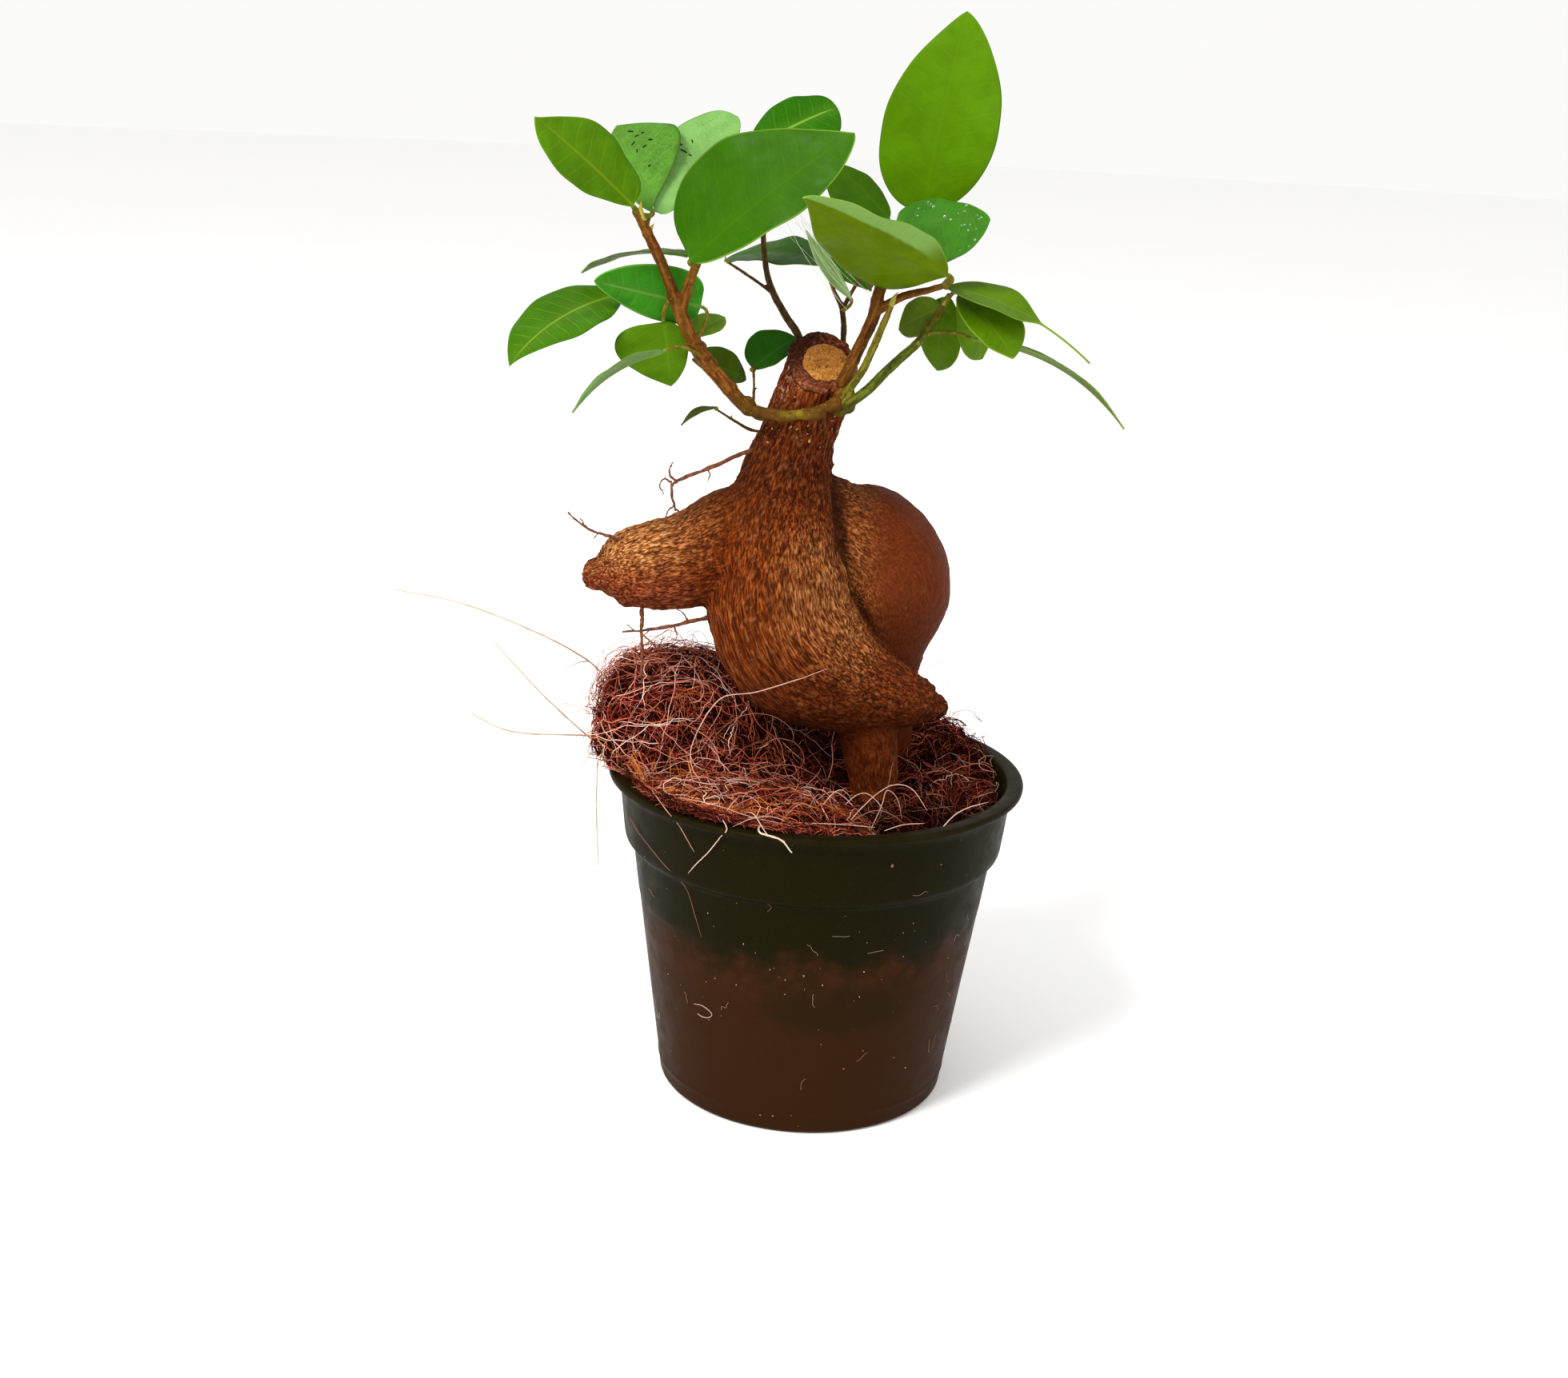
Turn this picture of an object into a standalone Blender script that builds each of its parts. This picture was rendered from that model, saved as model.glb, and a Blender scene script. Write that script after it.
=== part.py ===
"""Ginseng ficus bonsai in its small plastic nursery pot.

Lengths in the tables are millimetres and are scaled once to metres.
The origin is the centre of the pot's base, +Z up; the viewer stands on the
-Y side, so +X is the plant's right.
"""
import bpy
import bmesh
import math
from mathutils import Vector, noise

MM = 0.001
GAP = 0.35                      # clearance between touching pieces

# ---------------------------------------------------------------- pot
RIM_RADIUS = 32.5               # outer edge of the flanged lip
POT_HEIGHT = 52.3
LIP_THICK = 1.2
BAND_TOP_RADIUS = 30.7          # the tall band under the lip
BAND_FOOT_RADIUS = 29.7
BAND_FOOT_Z = 41.2
BODY_TOP_RADIUS = 28.2          # where the tapered body meets the band
BODY_TOP_Z = 39.2
BASE_RADIUS = 23.0
WALL = 0.95
FLOOR = 1.2
POT_SEGMENTS = 40
DRAIN_HOLES = 6
DRAIN_RADIUS = 2.2
DRAIN_CIRCLE = 15.5

# ---------------------------------------------------------------- soil
SOIL_LEVEL = 48.0               # level of the coir away from the mound
SOIL_SEGMENTS = 36
# flat-topped heaps of coir: centre x, centre y, height, spread x, spread y
HEAPS = [
    (-24.5, 9.0, 17.6, 17.5, 16.0),
    (-13.0, -21.0, 4.6, 19.0, 13.0),
    (20.0, 20.0, 6.5, 14.0, 12.0),
    (-4.0, 24.0, 3.0, 14.0, 10.0),
    (20.5, -13.0, -6.4, 13.5, 13.5),
]

# ---------------------------------------------------------------- trunk root
# limbs of the swollen root: lists of (x, y, z, radius)
NECK = [(-1.9, -0.4, 122.0, 4.9), (-2.6, -0.2, 115.2, 5.1), (-3.7, 0.1, 110.8, 5.4),
        (-5.3, 0.3, 105.0, 5.7), (-6.7, 0.2, 98.5, 7.0), (-7.8, 0.0, 91.0, 9.4)]
BODY = [(-7.8, 0.0, 91.0, 9.4), (-7.6, -0.6, 83.5, 11.0), (-6.6, -1.2, 77.0, 11.3),
        (-3.2, -1.2, 71.4, 11.2), (3.0, -0.6, 67.0, 8.9), (10.0, 0.3, 64.6, 6.0),
        (15.4, 0.9, 63.4, 4.0), (18.6, 1.0, 62.8, 2.0)]
LOBE = [(-9.0, 0.4, 91.6, 7.4), (-13.6, -0.2, 88.2, 8.2), (-20.0, -1.0, 85.2, 7.5),
        (-25.8, -2.0, 84.1, 7.0), (-30.0, -3.0, 83.5, 5.9), (-32.8, -3.8, 82.9, 4.4),
        (-34.5, -4.2, 82.6, 2.8)]
BULB = [(-4.5, 2.6, 94.0, 5.6), (1.0, 6.0, 89.0, 8.2), (5.2, 9.0, 85.4, 11.0),
        (8.3, 10.2, 80.0, 11.6), (9.3, 10.4, 74.5, 9.8), (9.8, 10.0, 69.0, 6.8),
        (10.6, 9.8, 63.0, 4.7), (11.4, 10.4, 55.0, 3.8), (12.4, 11.4, 44.0, 3.0),
        (12.0, 12.5, 34.0, 2.0)]
LEG = [(6.2, 0.2, 64.5, 5.5), (7.7, 0.8, 59.8, 5.0), (8.7, 1.4, 53.9, 4.2),
       (9.3, 1.8, 48.4, 3.4), (9.2, 2.0, 40.0, 2.9), (8.2, 1.6, 30.0, 2.0)]
SHOULDER = [(-9.5, 4.0, 91.0, 6.8), (-12.5, 5.4, 84.0, 7.6), (-11.0, 5.2, 77.5, 7.0),
            (-6.0, 5.4, 72.0, 6.4)]
CUT_CENTRE = (-1.8, -0.4, 115.4)        # middle of the sawn top
CUT_NORMAL = (0.16, -0.60, 0.78)
ROOT_VOXEL = 0.95
ROOT_FACES = 2300

# ---------------------------------------------------------------- shoots
# each shoot: name, list of runs; a run is a list of (x, y, z, radius)
SHOOTS = {
    "shoot_left": [
        [(0.1, -6.8, 111.1, 0.80), (-2.6, -6.7, 109.5, 0.90), (-6.4, -6.7, 108.6, 0.95),
         (-10.4, -6.2, 108.7, 1.00), (-13.2, -6.0, 109.5, 1.05), (-16.4, -6.9, 112.9, 1.10),
         (-20.2, -7.8, 117.3, 1.05), (-22.9, -9.4, 122.8, 0.95), (-24.4, -10.6, 126.9, 0.85),
         (-26.2, -12.4, 131.3, 0.78), (-28.0, -13.6, 135.0, 0.70), (-29.1, -14.4, 137.0, 0.55)],
        [(-22.9, -9.4, 122.8, 0.80), (-21.7, -11.2, 127.2, 0.75), (-20.6, -13.0, 130.2, 0.60)],
    ],
    "shoot_back_left": [
        [(-5.0, 6.0, 110.4, 0.58), (-5.9, 6.6, 117.7, 0.62), (-8.3, 6.8, 121.5, 0.58),
         (-10.5, 9.0, 124.8, 0.52), (-11.9, 12.2, 128.6, 0.48), (-12.8, 12.8, 135.6, 0.42),
         (-14.0, 12.9, 143.8, 0.36)],
        [(-10.5, 9.0, 124.6, 0.32), (-14.0, 10.6, 126.6, 0.28), (-17.5, 12.6, 128.4, 0.24)],
    ],
    "shoot_back_middle": [
        [(-0.4, 5.2, 110.9, 0.48), (0.6, 6.0, 117.6, 0.48), (0.2, 6.6, 122.7, 0.44),
         (-1.3, 9.4, 125.5, 0.36), (-2.4, 12.8, 128.0, 0.30)],
        [(0.2, 6.6, 122.7, 0.36), (1.3, 8.4, 125.0, 0.32), (3.2, 9.6, 128.4, 0.28)],
    ],
    "shoot_right_main": [
        [(0.7, -4.6, 113.6, 0.95), (1.7, -4.8, 115.7, 0.95), (3.4, -4.2, 119.7, 0.92),
         (4.8, -3.6, 123.2, 0.95), (5.5, -3.4, 127.1, 0.90), (7.8, -1.6, 132.1, 0.75),
         (12.0, 1.0, 136.5, 0.62)],
        [(5.0, -3.6, 123.9, 0.75), (8.8, -5.0, 126.4, 0.62), (12.3, -6.0, 127.6, 0.50),
         (14.8, -6.6, 128.5, 0.42)],
    ],
    "shoot_right_olive": [
        [(2.1, -6.4, 113.2, 0.60), (3.6, -6.8, 115.7, 0.60), (5.0, -6.9, 119.2, 0.56),
         (6.2, -7.0, 122.5, 0.52), (7.2, -7.6, 125.3, 0.42)],
    ],
    "shoot_right_green": [
        [(1.8, -6.6, 110.6, 0.72), (4.7, -6.4, 113.1, 0.78), (7.1, -5.6, 115.6, 0.74),
         (9.3, -5.2, 117.8, 0.70), (11.4, -4.8, 119.9, 0.66), (13.0, -4.2, 122.4, 0.60),
         (14.7, -3.6, 125.1, 0.50)],
    ],
    "twig_low_left": [
        [(-10.4, -1.0, 108.1, 0.24), (-12.1, -1.2, 108.8, 0.24), (-12.3, -0.4, 111.3, 0.22),
         (-12.5, 0.2, 114.0, 0.20)],
    ],
    "sprout_low_left": [
        [(-10.9, -2.5, 105.2, 0.26), (-12.7, -3.4, 105.7, 0.26), (-15.0, -6.0, 107.4, 0.22),
         (-17.3, -8.4, 109.2, 0.18)],
    ],
}

# ---------------------------------------------------------------- leaves
# name: (stalk start, stem radius there, blade base, blade tip, width,
#        facing, camber, sweep, fold, share of the length that is a drip tip, share of the width on the left,
#        left outline, right outline); an outline is (roundness at the base, at the tip, widest point)
LEAVES = {
    "leaf_top_right":       ((12.0, 1.0, 136.5), 0.29, (11.2, 2.6, 137.9), (15.4, -1.0, 166.0), 17.2,
        (-0.25, -0.96, 0.1), 1.0, 0.0, 0.1, 0.0, 0.49, (0.54, 0.82, 0.38), (0.66, 0.66, 0.46)),
    "leaf_centre_front":    ((-20.6, -13.0, 130.2), 0.23, (-21.3, -14.2, 130.8), (0.5, -19.0, 149.2), 16.6,
        (-0.3, -0.86, 0.42), 1.2, 0.0, 0.06, 0.0, 0.68, (0.46, 0.94, 0.32), (0.42, 0.54, 0.58)),
    "leaf_upper_left":      ((-29.1, -14.4, 137.0), 0.12, (-29.6, -15.2, 137.9), (-42.1, -23.0, 149.3), 10.3,
        (0.3, -0.8, 0.52), 0.5, 0.0, 0.2, 0.0, 0.49, (0.54, 0.7, 0.62), (0.26, 1.1, 0.48)),
    "leaf_pale_left":       ((-28.8, -14.2, 136.6), 0.62, (-27.2, -11.4, 137.1), (-34.0, 3.0, 148.0), 11.3,
        (-0.2, -0.84, 0.5), 0.6, 0.0, 0.06, 0.0, 0.29, (0.46, 0.66, 0.58), (0.98, 0.94, 0.58)),
    "leaf_pale_middle":     ((-27.6, -13.4, 134.2), 0.72, (-27.1, -10.4, 137.1), (-16.5, 4.0, 150.0), 9.0,
        (0.05, -0.8, 0.6), 0.6, 0.0, 0.06, 0.0, 0.62, (0.74, 0.38, 0.58), (0.26, 0.62, 0.5)),
    "leaf_dark_top":        ((-14.0, 12.9, 143.8), 0.12, (-14.7, 13.2, 145.3), (-2.3, 20.0, 151.8), 10.0,
        (-0.15, -0.9, 0.45), 0.8, 0.0, 0.1, 0.0, 0.44, (0.54, 0.3, 0.52), (0.26, 0.58, 0.58)),
    "leaf_dark_behind":     ((3.2, 9.6, 128.4), 0.12, (6.4, 9.6, 136.3), (-2.1, 13.0, 143.6), 8.2,
        (0.3, -0.8, 0.55), 0.5, 0.0, 0.1, 0.0, 0.7, (0.55, 0.5, 0.5), (0.5, 0.6, 0.5)),
    "leaf_olive_front":     ((14.8, -6.6, 128.5), 0.42, (14.7, -10.4, 130.3), (-5.9, -25.0, 140.7), 17.6,
        (0.2, 0.62, 0.76), 0.4, 0.6, 0.06, 0.0, 0.33, (1.02, 0.46, 0.4), (0.4, 1.15, 0.27)),
    "leaf_blue_green":      ((7.2, -2.0, 130.9), 1.75, (7.2, -1.4, 135.8), (20.4, -7.4, 138.0), 11.7,
        (-0.12, -0.76, 0.64), 0.5, -0.2, 0.06, 0.0, 0.34, (0.26, 0.58, 0.26), (0.58, 0.34, 0.56)),
    "leaf_side_back_left":  ((-21.5, -11.6, 127.9), 0.47, (-22.3, -6.6, 130.9), (-38.7, 2.0, 126.8), 8.4,
        (-0.06, 0.0, 1.0), 1.6, 0.0, 0.04, 0.0, 0.5, (0.5, 0.9, 0.45), (0.5, 0.9, 0.45)),
    "leaf_dark_left":       ((-20.9, -8.2, 118.7), 1.25, (-20.3, -6.0, 123.6), (-35.3, -10.5, 126.9), 8.1,
        (-0.32, -0.94, 0.08), -0.3, 0.0, 0.05, 0.0, 0.42, (0.5, 0.66, 0.32), (0.42, 0.54, 0.3)),
    "leaf_far_left":        ((-20.3, -7.0, 117.8), 0.62, (-32.2, -2.5, 124.4), (-45.4, -22.0, 115.9), 11.3,
        (-0.36, -0.84, 0.4), 1.0, 1.5, 0.1, 0.0, 0.53, (1.02, 1.26, 0.42), (0.26, 0.86, 0.4)),
    "leaf_olive_left":      ((-24.0, -9.9, 125.4), 1.4, (-25.4, -8.0, 121.4), (-24.2, -7.4, 112.1), 10.6,
        (0.1, -0.85, 0.52), 0.4, 0.0, 0.05, 0.0, 0.29, (0.5, 0.7, 0.42), (0.46, 0.9, 0.3)),
    "leaf_small_left":      ((-19.4, -7.6, 116.4), 1.6, (-21.4, -5.0, 119.2), (-17.1, 0.0, 121.5), 4.4,
        (0.1, -0.62, 0.78), 0.4, 0.0, 0.08, 0.0, 0.55, (0.5, 0.7, 0.5), (0.5, 0.7, 0.5)),
    "leaf_thin_left":       ((-18.6, -7.4, 115.4), 2.1, (-25.0, -12.0, 117.7), (-37.0, -18.6, 109.3), 6.4,
        (-0.5, 0.1, 0.86), 1.5, 0.0, 0.25, 0.0, 0.5, (0.7, 1.1, 0.45), (0.7, 1.1, 0.45)),
    "leaf_low_olive":       ((-15.6, -6.7, 112.1), 2.1, (-21.2, -3.6, 115.6), (-13.7, 2.0, 112.2), 5.8,
        (0.2, -0.74, 0.64), 0.4, 0.0, 0.08, 0.0, 0.64, (0.45, 0.42, 0.58), (0.5, 0.7, 0.5)),
    "leaf_round_dark":      ((-12.5, 0.2, 114.0), 0.2, (-12.7, 1.0, 114.1), (-6.5, 4.4, 118.5), 6.6,
        (-0.3, -0.8, 0.52), 0.4, 0.0, 0.06, 0.0, 0.68, (0.42, 0.5, 0.46), (0.5, 0.5, 0.5)),
    "leaf_long_back":       ((-2.4, 12.8, 128.0), 0.12, (-1.8, 16.4, 128.5), (-18.8, 24.0, 127.7), 12.0,
        (0.05, -0.3, 0.95), 1.6, 0.0, 0.1, 0.0, 0.5, (0.6, 0.7, 0.5), (0.6, 0.7, 0.5)),
    "leaf_young_pale":      ((0.2, 6.6, 122.7), 0.17, (1.3, 4.0, 125.0), (-5.6, -4.0, 135.0), 3.0,
        (0.6, -0.7, 0.3), -1.0, 0.0, 0.35, 0.0, 0.5, (0.7, 1.1, 0.45), (0.7, 1.1, 0.45)),
    "leaf_dark_middle":     ((3.2, 9.6, 128.4), 0.19, (4.3, 12.0, 125.5), (-3.3, 18.0, 133.8), 8.0,
        (0.1, -0.8, 0.58), 0.8, 0.0, 0.1, 0.0, 0.5, (0.7, 0.7, 0.52), (0.6, 0.7, 0.5)),
    "leaf_drip_tip":        ((14.8, -6.6, 128.5), 0.34, (15.3, -6.8, 128.2), (36.2, -8.0, 118.6), 9.2,
        (0.42, -0.36, 0.83), 1.9, 0.0, 0.14, 0.38, 0.5, (0.52, 1.08, 0.5), (0.52, 1.08, 0.5)),
    "leaf_thin_right":      ((12.2, -4.5, 121.1), 0.63, (19.5, -2.6, 120.6), (43.9, 5.0, 107.3), 4.6,
        (0.4, 0.06, 0.9), 3.0, 0.0, 0.22, 0.0, 0.5, (0.7, 1.2, 0.45), (0.7, 1.2, 0.45)),
    "leaf_hanging_back":    ((13.9, -3.9, 123.7), 1.1, (15.7, -0.8, 126.2), (15.1, 6.0, 114.6), 7.6,
        (-0.2, -0.76, 0.6), 0.8, 0.0, 0.1, 0.0, 0.5, (0.5, 0.75, 0.5), (0.5, 0.75, 0.5)),
    "leaf_hanging_middle":  ((14.7, -3.6, 125.1), 0.5, (17.3, -1.0, 126.8), (21.6, 5.0, 116.8), 8.0,
        (0.15, -0.8, 0.58), 0.8, 0.0, 0.1, 0.0, 0.5, (0.5, 0.75, 0.5), (0.5, 0.75, 0.5)),
    "leaf_hanging_front":   ((14.7, -3.6, 125.1), 0.5, (16.9, -4.6, 127.1), (25.0, -9.6, 118.9), 8.6,
        (0.3, -0.72, 0.6), 1.0, 0.0, 0.12, 0.0, 0.56, (0.5, 0.62, 0.6), (0.6, 0.8, 0.5)),
    "leaf_pale_right":      ((12.8, -4.3, 122.1), 1.7, (14.8, -1.5, 124.6), (8.8, 1.5, 120.9), 6.6,
        (-0.1, -0.75, 0.62), 0.6, 0.0, 0.1, 0.0, 0.5, (0.5, 0.7, 0.5), (0.5, 0.7, 0.5)),
    "leaf_sprout":          ((-17.3, -8.4, 109.2), 0.18, (-17.5, -8.9, 109.5), (-22.0, -13.0, 107.4), 1.7,
        (-0.2, -0.4, 0.9), 0.7, 0.0, 0.3, 0.0, 0.5, (0.8, 1.2, 0.45), (0.8, 1.2, 0.45)),
}
BLADE_THICK = 0.55

# ---------------------------------------------------------------- fine roots and loose fibres
THREADS = {
    "aerial_root_upper": [(-12.3, -2.2, 102.2, .35), (-17.6, -4.4, 100.2, .3), (-22.5, -6.0, 98.0, .28),
                          (-23.7, -6.0, 96.6, .25), (-23.1, -4.4, 93.0, .22)],
    "aerial_root_lobe":  [(-32.0, -5.1, 88.4, .28), (-35.6, -6.6, 89.8, .25), (-38.8, -8.0, 92.7, .2)],
    "aerial_root_drop":  [(-27.8, -3.0, 77.5, .35), (-27.7, -3.4, 73.0, .3), (-27.7, -3.0, 68.0, .25)],
    "aerial_root_side":  [(-17.9, -4.3, 76.7, .35), (-24.0, -6.6, 75.6, .3), (-30.3, -8.0, 74.7, .2)],
    "loose_fibre_long":  [(-34.0, 5.4, 62.8, .25), (-35.3, 4.7, 64.8, .25), (-37.6, 3.4, 67.1, .25), (-43.3, 0.0, 71.2, .25), (-55.2, -3.0, 76.4, .22),
                          (-67.1, -5.0, 78.8, .2)],
    "loose_fibre_upper": [(-35.8, 0.9, 55.0, .25), (-44.0, -3.0, 63.6, .22), (-50.5, -5.0, 71.5, .2)],
    "loose_fibre_lower": [(-35.5, -1.3, 55.8, .25), (-46.9, -8.0, 57.9, .22), (-53.3, -10.0, 61.3, .2)],
    "loose_fibre_down":  [(-33.8, -5.9, 52.7, .25), (-33.6, -8.6, 46.0, .22), (-33.0, -9.0, 37.0, .2)],
    "loose_fibre_front": [(-6.8, -28.4, 51.6, .25), (-7.2, -29.7, 53.1, .25), (-7.5, -31.4, 53.4, .25), (-7.4, -33.0, 53.2, .25), (-4.5, -34.2, 52.8, .22), (-2.7, -34.4, 51.3, .2)],
}


# ================================================================ helpers
def clear_scene():
    for ob in list(bpy.data.objects):
        bpy.data.objects.remove(ob, do_unlink=True)


def material(name, colour, roughness, metallic=0.0):
    mat = bpy.data.materials.new(name)
    mat.use_nodes = True
    shader = mat.node_tree.nodes["Principled BSDF"]
    shader.inputs["Base Color"].default_value = (*colour, 1.0)
    shader.inputs["Roughness"].default_value = roughness
    shader.inputs["Metallic"].default_value = metallic
    mat.diffuse_color = (*colour, 1.0)
    return mat


def add_object(name, bm, mat=None, sharp=40.0):
    bmesh.ops.recalc_face_normals(bm, faces=bm.faces)
    mesh = bpy.data.meshes.new(name)
    bm.to_mesh(mesh)
    bm.free()
    mesh.shade_smooth()
    mesh.set_sharp_from_angle(angle=math.radians(sharp))
    ob = bpy.data.objects.new(name, mesh)
    bpy.context.collection.objects.link(ob)
    if mat:
        mesh.materials.append(mat)
    return ob


def as_helper(ob):
    ob.hide_render = True
    ob.display_type = 'WIRE'
    return ob


def smooth_path(points, per_span):
    """Catmull-Rom curve through (x, y, z, r) points."""
    pts = [tuple(p) for p in points]
    ext = [tuple(2 * a - b for a, b in zip(pts[0], pts[1]))] + pts + \
          [tuple(2 * a - b for a, b in zip(pts[-1], pts[-2]))]
    out = []
    for i in range(1, len(ext) - 2):
        p0, p1, p2, p3 = ext[i - 1:i + 3]
        for k in range(per_span):
            t = k / per_span
            out.append(tuple(
                0.5 * (2 * b + (c - a) * t + (2 * a - 5 * b + 4 * c - d) * t * t
                       + (3 * b - a - 3 * c + d) * t ** 3)
                for a, b, c, d in zip(p0, p1, p2, p3)))
    out.append(pts[-1])
    return out


def loft(bm, rings):
    """Skin a list of equal rings and close both ends."""
    loops = [[bm.verts.new(p) for p in ring] for ring in rings]
    n = len(loops[0])
    for a, b in zip(loops, loops[1:]):
        for i in range(n):
            j = (i + 1) % n
            bm.faces.new((a[i], a[j], b[j], b[i]))
    bm.faces.new(loops[0][::-1])
    bm.faces.new(loops[-1])


def tube(bm, points, sides, per_span=3, domed=False, grow=0.0):
    """Round tube along (x, y, z, r) points in mm, ends flat or domed."""
    path = smooth_path(points, per_span)
    centre = [Vector(p[:3]) for p in path]
    radius = [max(p[3], 0.05) + grow for p in path]
    tangent = []
    for i in range(len(centre)):
        a, b = centre[max(i - 1, 0)], centre[min(i + 1, len(centre) - 1)]
        tangent.append((b - a).normalized())
    side = tangent[0].orthogonal().normalized()
    rings = []

    def ring(c, t, s, r):
        up = t.cross(s)
        return [(c + (s * math.cos(2 * math.pi * k / sides)
                      + up * math.sin(2 * math.pi * k / sides)) * r) * MM
                for k in range(sides)]

    frames = []
    for t in tangent:
        side = (side - t * side.dot(t)).normalized()
        frames.append(side.copy())
    dome = (80, 55, 28) if domed else ()
    for deg in dome:
        a = math.radians(deg)
        rings.append(ring(centre[0] - tangent[0] * radius[0] * math.sin(a), tangent[0],
                          frames[0], radius[0] * math.cos(a)))
    for c, t, s, r in zip(centre, tangent, frames, radius):
        rings.append(ring(c, t, s, r))
    for deg in reversed(dome):
        a = math.radians(deg)
        rings.append(ring(centre[-1] + tangent[-1] * radius[-1] * math.sin(a), tangent[-1],
                          frames[-1], radius[-1] * math.cos(a)))
    loft(bm, rings)


# ================================================================ pot
def pot_profile():
    """Closed wall section, from the outer bottom up, over the lip and down inside."""
    inner_base = BASE_RADIUS - WALL
    inner_body = BODY_TOP_RADIUS - WALL
    inner_foot = BAND_FOOT_RADIUS - WALL
    inner_top = BAND_TOP_RADIUS - WALL
    return [
        (0.0, 0.0), (BASE_RADIUS - 1.0, 0.0), (BASE_RADIUS, 1.0),
        (BODY_TOP_RADIUS, BODY_TOP_Z), (BAND_FOOT_RADIUS, BAND_FOOT_Z),
        (BAND_TOP_RADIUS, POT_HEIGHT - LIP_THICK - 0.6),
        (RIM_RADIUS - 0.5, POT_HEIGHT - LIP_THICK), (RIM_RADIUS, POT_HEIGHT - 1.3),
        (RIM_RADIUS, POT_HEIGHT - 0.6), (RIM_RADIUS - 0.7, POT_HEIGHT),
        (inner_top + 0.5, POT_HEIGHT), (inner_top, POT_HEIGHT - 0.6),
        (inner_foot, BAND_FOOT_Z - 0.2), (inner_body, BODY_TOP_Z - 0.5),
        (inner_base, FLOOR + 0.8), (inner_base - 0.8, FLOOR), (0.0, FLOOR),
    ]


def build_pot():
    bm = bmesh.new()
    profile = [bm.verts.new((r * MM, 0, z * MM)) for r, z in pot_profile()]
    edges = [bm.edges.new(pair) for pair in zip(profile, profile[1:])]
    bmesh.ops.spin(bm, geom=profile + edges, cent=(0, 0, 0), axis=(0, 0, 1),
                   angle=2 * math.pi, steps=POT_SEGMENTS, use_merge=True)
    bmesh.ops.remove_doubles(bm, verts=bm.verts, dist=1e-6)
    pot = add_object("nursery_pot", bm, material("pot_plastic", (.012, .014, .008), .38), 35)
    holes = bmesh.new()
    for k in range(DRAIN_HOLES):
        a = 2 * math.pi * (k + .5) / DRAIN_HOLES
        one = bmesh.ops.create_cone(holes, cap_ends=True, segments=10,
                                    radius1=DRAIN_RADIUS * MM, radius2=DRAIN_RADIUS * MM,
                                    depth=4 * FLOOR * MM)
        bmesh.ops.translate(holes, verts=one["verts"],
                            vec=(DRAIN_CIRCLE * math.cos(a) * MM,
                                 DRAIN_CIRCLE * math.sin(a) * MM, .5 * FLOOR * MM))
    cutter = as_helper(add_object("drain_cutter", holes))
    cut = pot.modifiers.new("drain_holes", 'BOOLEAN')
    cut.operation = 'DIFFERENCE'
    cut.object = cutter
    cut.solver = 'EXACT'
    return pot


# ================================================================ root
def root_body(name, grow, voxel, faces, mat=None):
    """All limbs fused into one skin, rounded and simplified."""
    bm = bmesh.new()
    for limb in (NECK, BODY, LOBE, BULB, LEG, SHOULDER):
        tube(bm, limb, 20, per_span=4, domed=True, grow=grow)
    ob = add_object(name, bm, mat, 180)
    fuse = ob.modifiers.new("fuse", 'REMESH')
    fuse.mode = 'VOXEL'
    fuse.voxel_size = voxel * MM
    fuse.use_smooth_shade = True
    relax = ob.modifiers.new("relax", 'SMOOTH')
    relax.factor = 0.5
    relax.iterations = 5
    thin = ob.modifiers.new("thin", 'DECIMATE')
    thin.ratio = faces
    return ob


def build_root():
    root = root_body("trunk_root", 0.0, ROOT_VOXEL, 0.13, material("root_bark", (.23, .085, .022), .75))
    saw = bmesh.new()
    bmesh.ops.create_cube(saw, size=1.0)
    normal = Vector(CUT_NORMAL).normalized()
    turn = Vector((0, 0, 1)).rotation_difference(normal).to_matrix()
    for v in saw.verts:
        v.co = turn @ Vector((v.co.x * 30 * MM, v.co.y * 30 * MM, (v.co.z + .5) * 24 * MM)) \
            + Vector(CUT_CENTRE) * MM
    cutter = as_helper(add_object("saw_cutter", saw))
    cut = root.modifiers.new("sawn_top", 'BOOLEAN')
    cut.operation = 'DIFFERENCE'
    cut.object = cutter
    cut.solver = 'EXACT'
    return root


# ================================================================ soil
def soil_height(x, y):
    z = SOIL_LEVEL
    for cx, cy, h, sx, sy in HEAPS:
        z += h * math.exp(-(((x - cx) / sx) ** 2 + ((y - cy) / sy) ** 2) ** 2)
    return z


def wall_radius(z):
    """Inside radius of the pot at height z."""
    if z < BODY_TOP_Z:
        return BASE_RADIUS - WALL + (BODY_TOP_RADIUS - BASE_RADIUS) * (z - 1.0) / (BODY_TOP_Z - 1.0)
    if z < BAND_FOOT_Z:
        return BODY_TOP_RADIUS - WALL + (BAND_FOOT_RADIUS - BODY_TOP_RADIUS) * (z - BODY_TOP_Z) / (BAND_FOOT_Z - BODY_TOP_Z)
    return BAND_FOOT_RADIUS - WALL + (BAND_TOP_RADIUS - BAND_FOOT_RADIUS) * \
        (z - BAND_FOOT_Z) / (POT_HEIGHT - 0.6 - BAND_FOOT_Z)


def overhang(theta):
    """How far the heaped coir bulges past the inside of the rim."""
    return 6.8 * math.exp(-((theta - math.radians(168)) / .62) ** 2)


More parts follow.
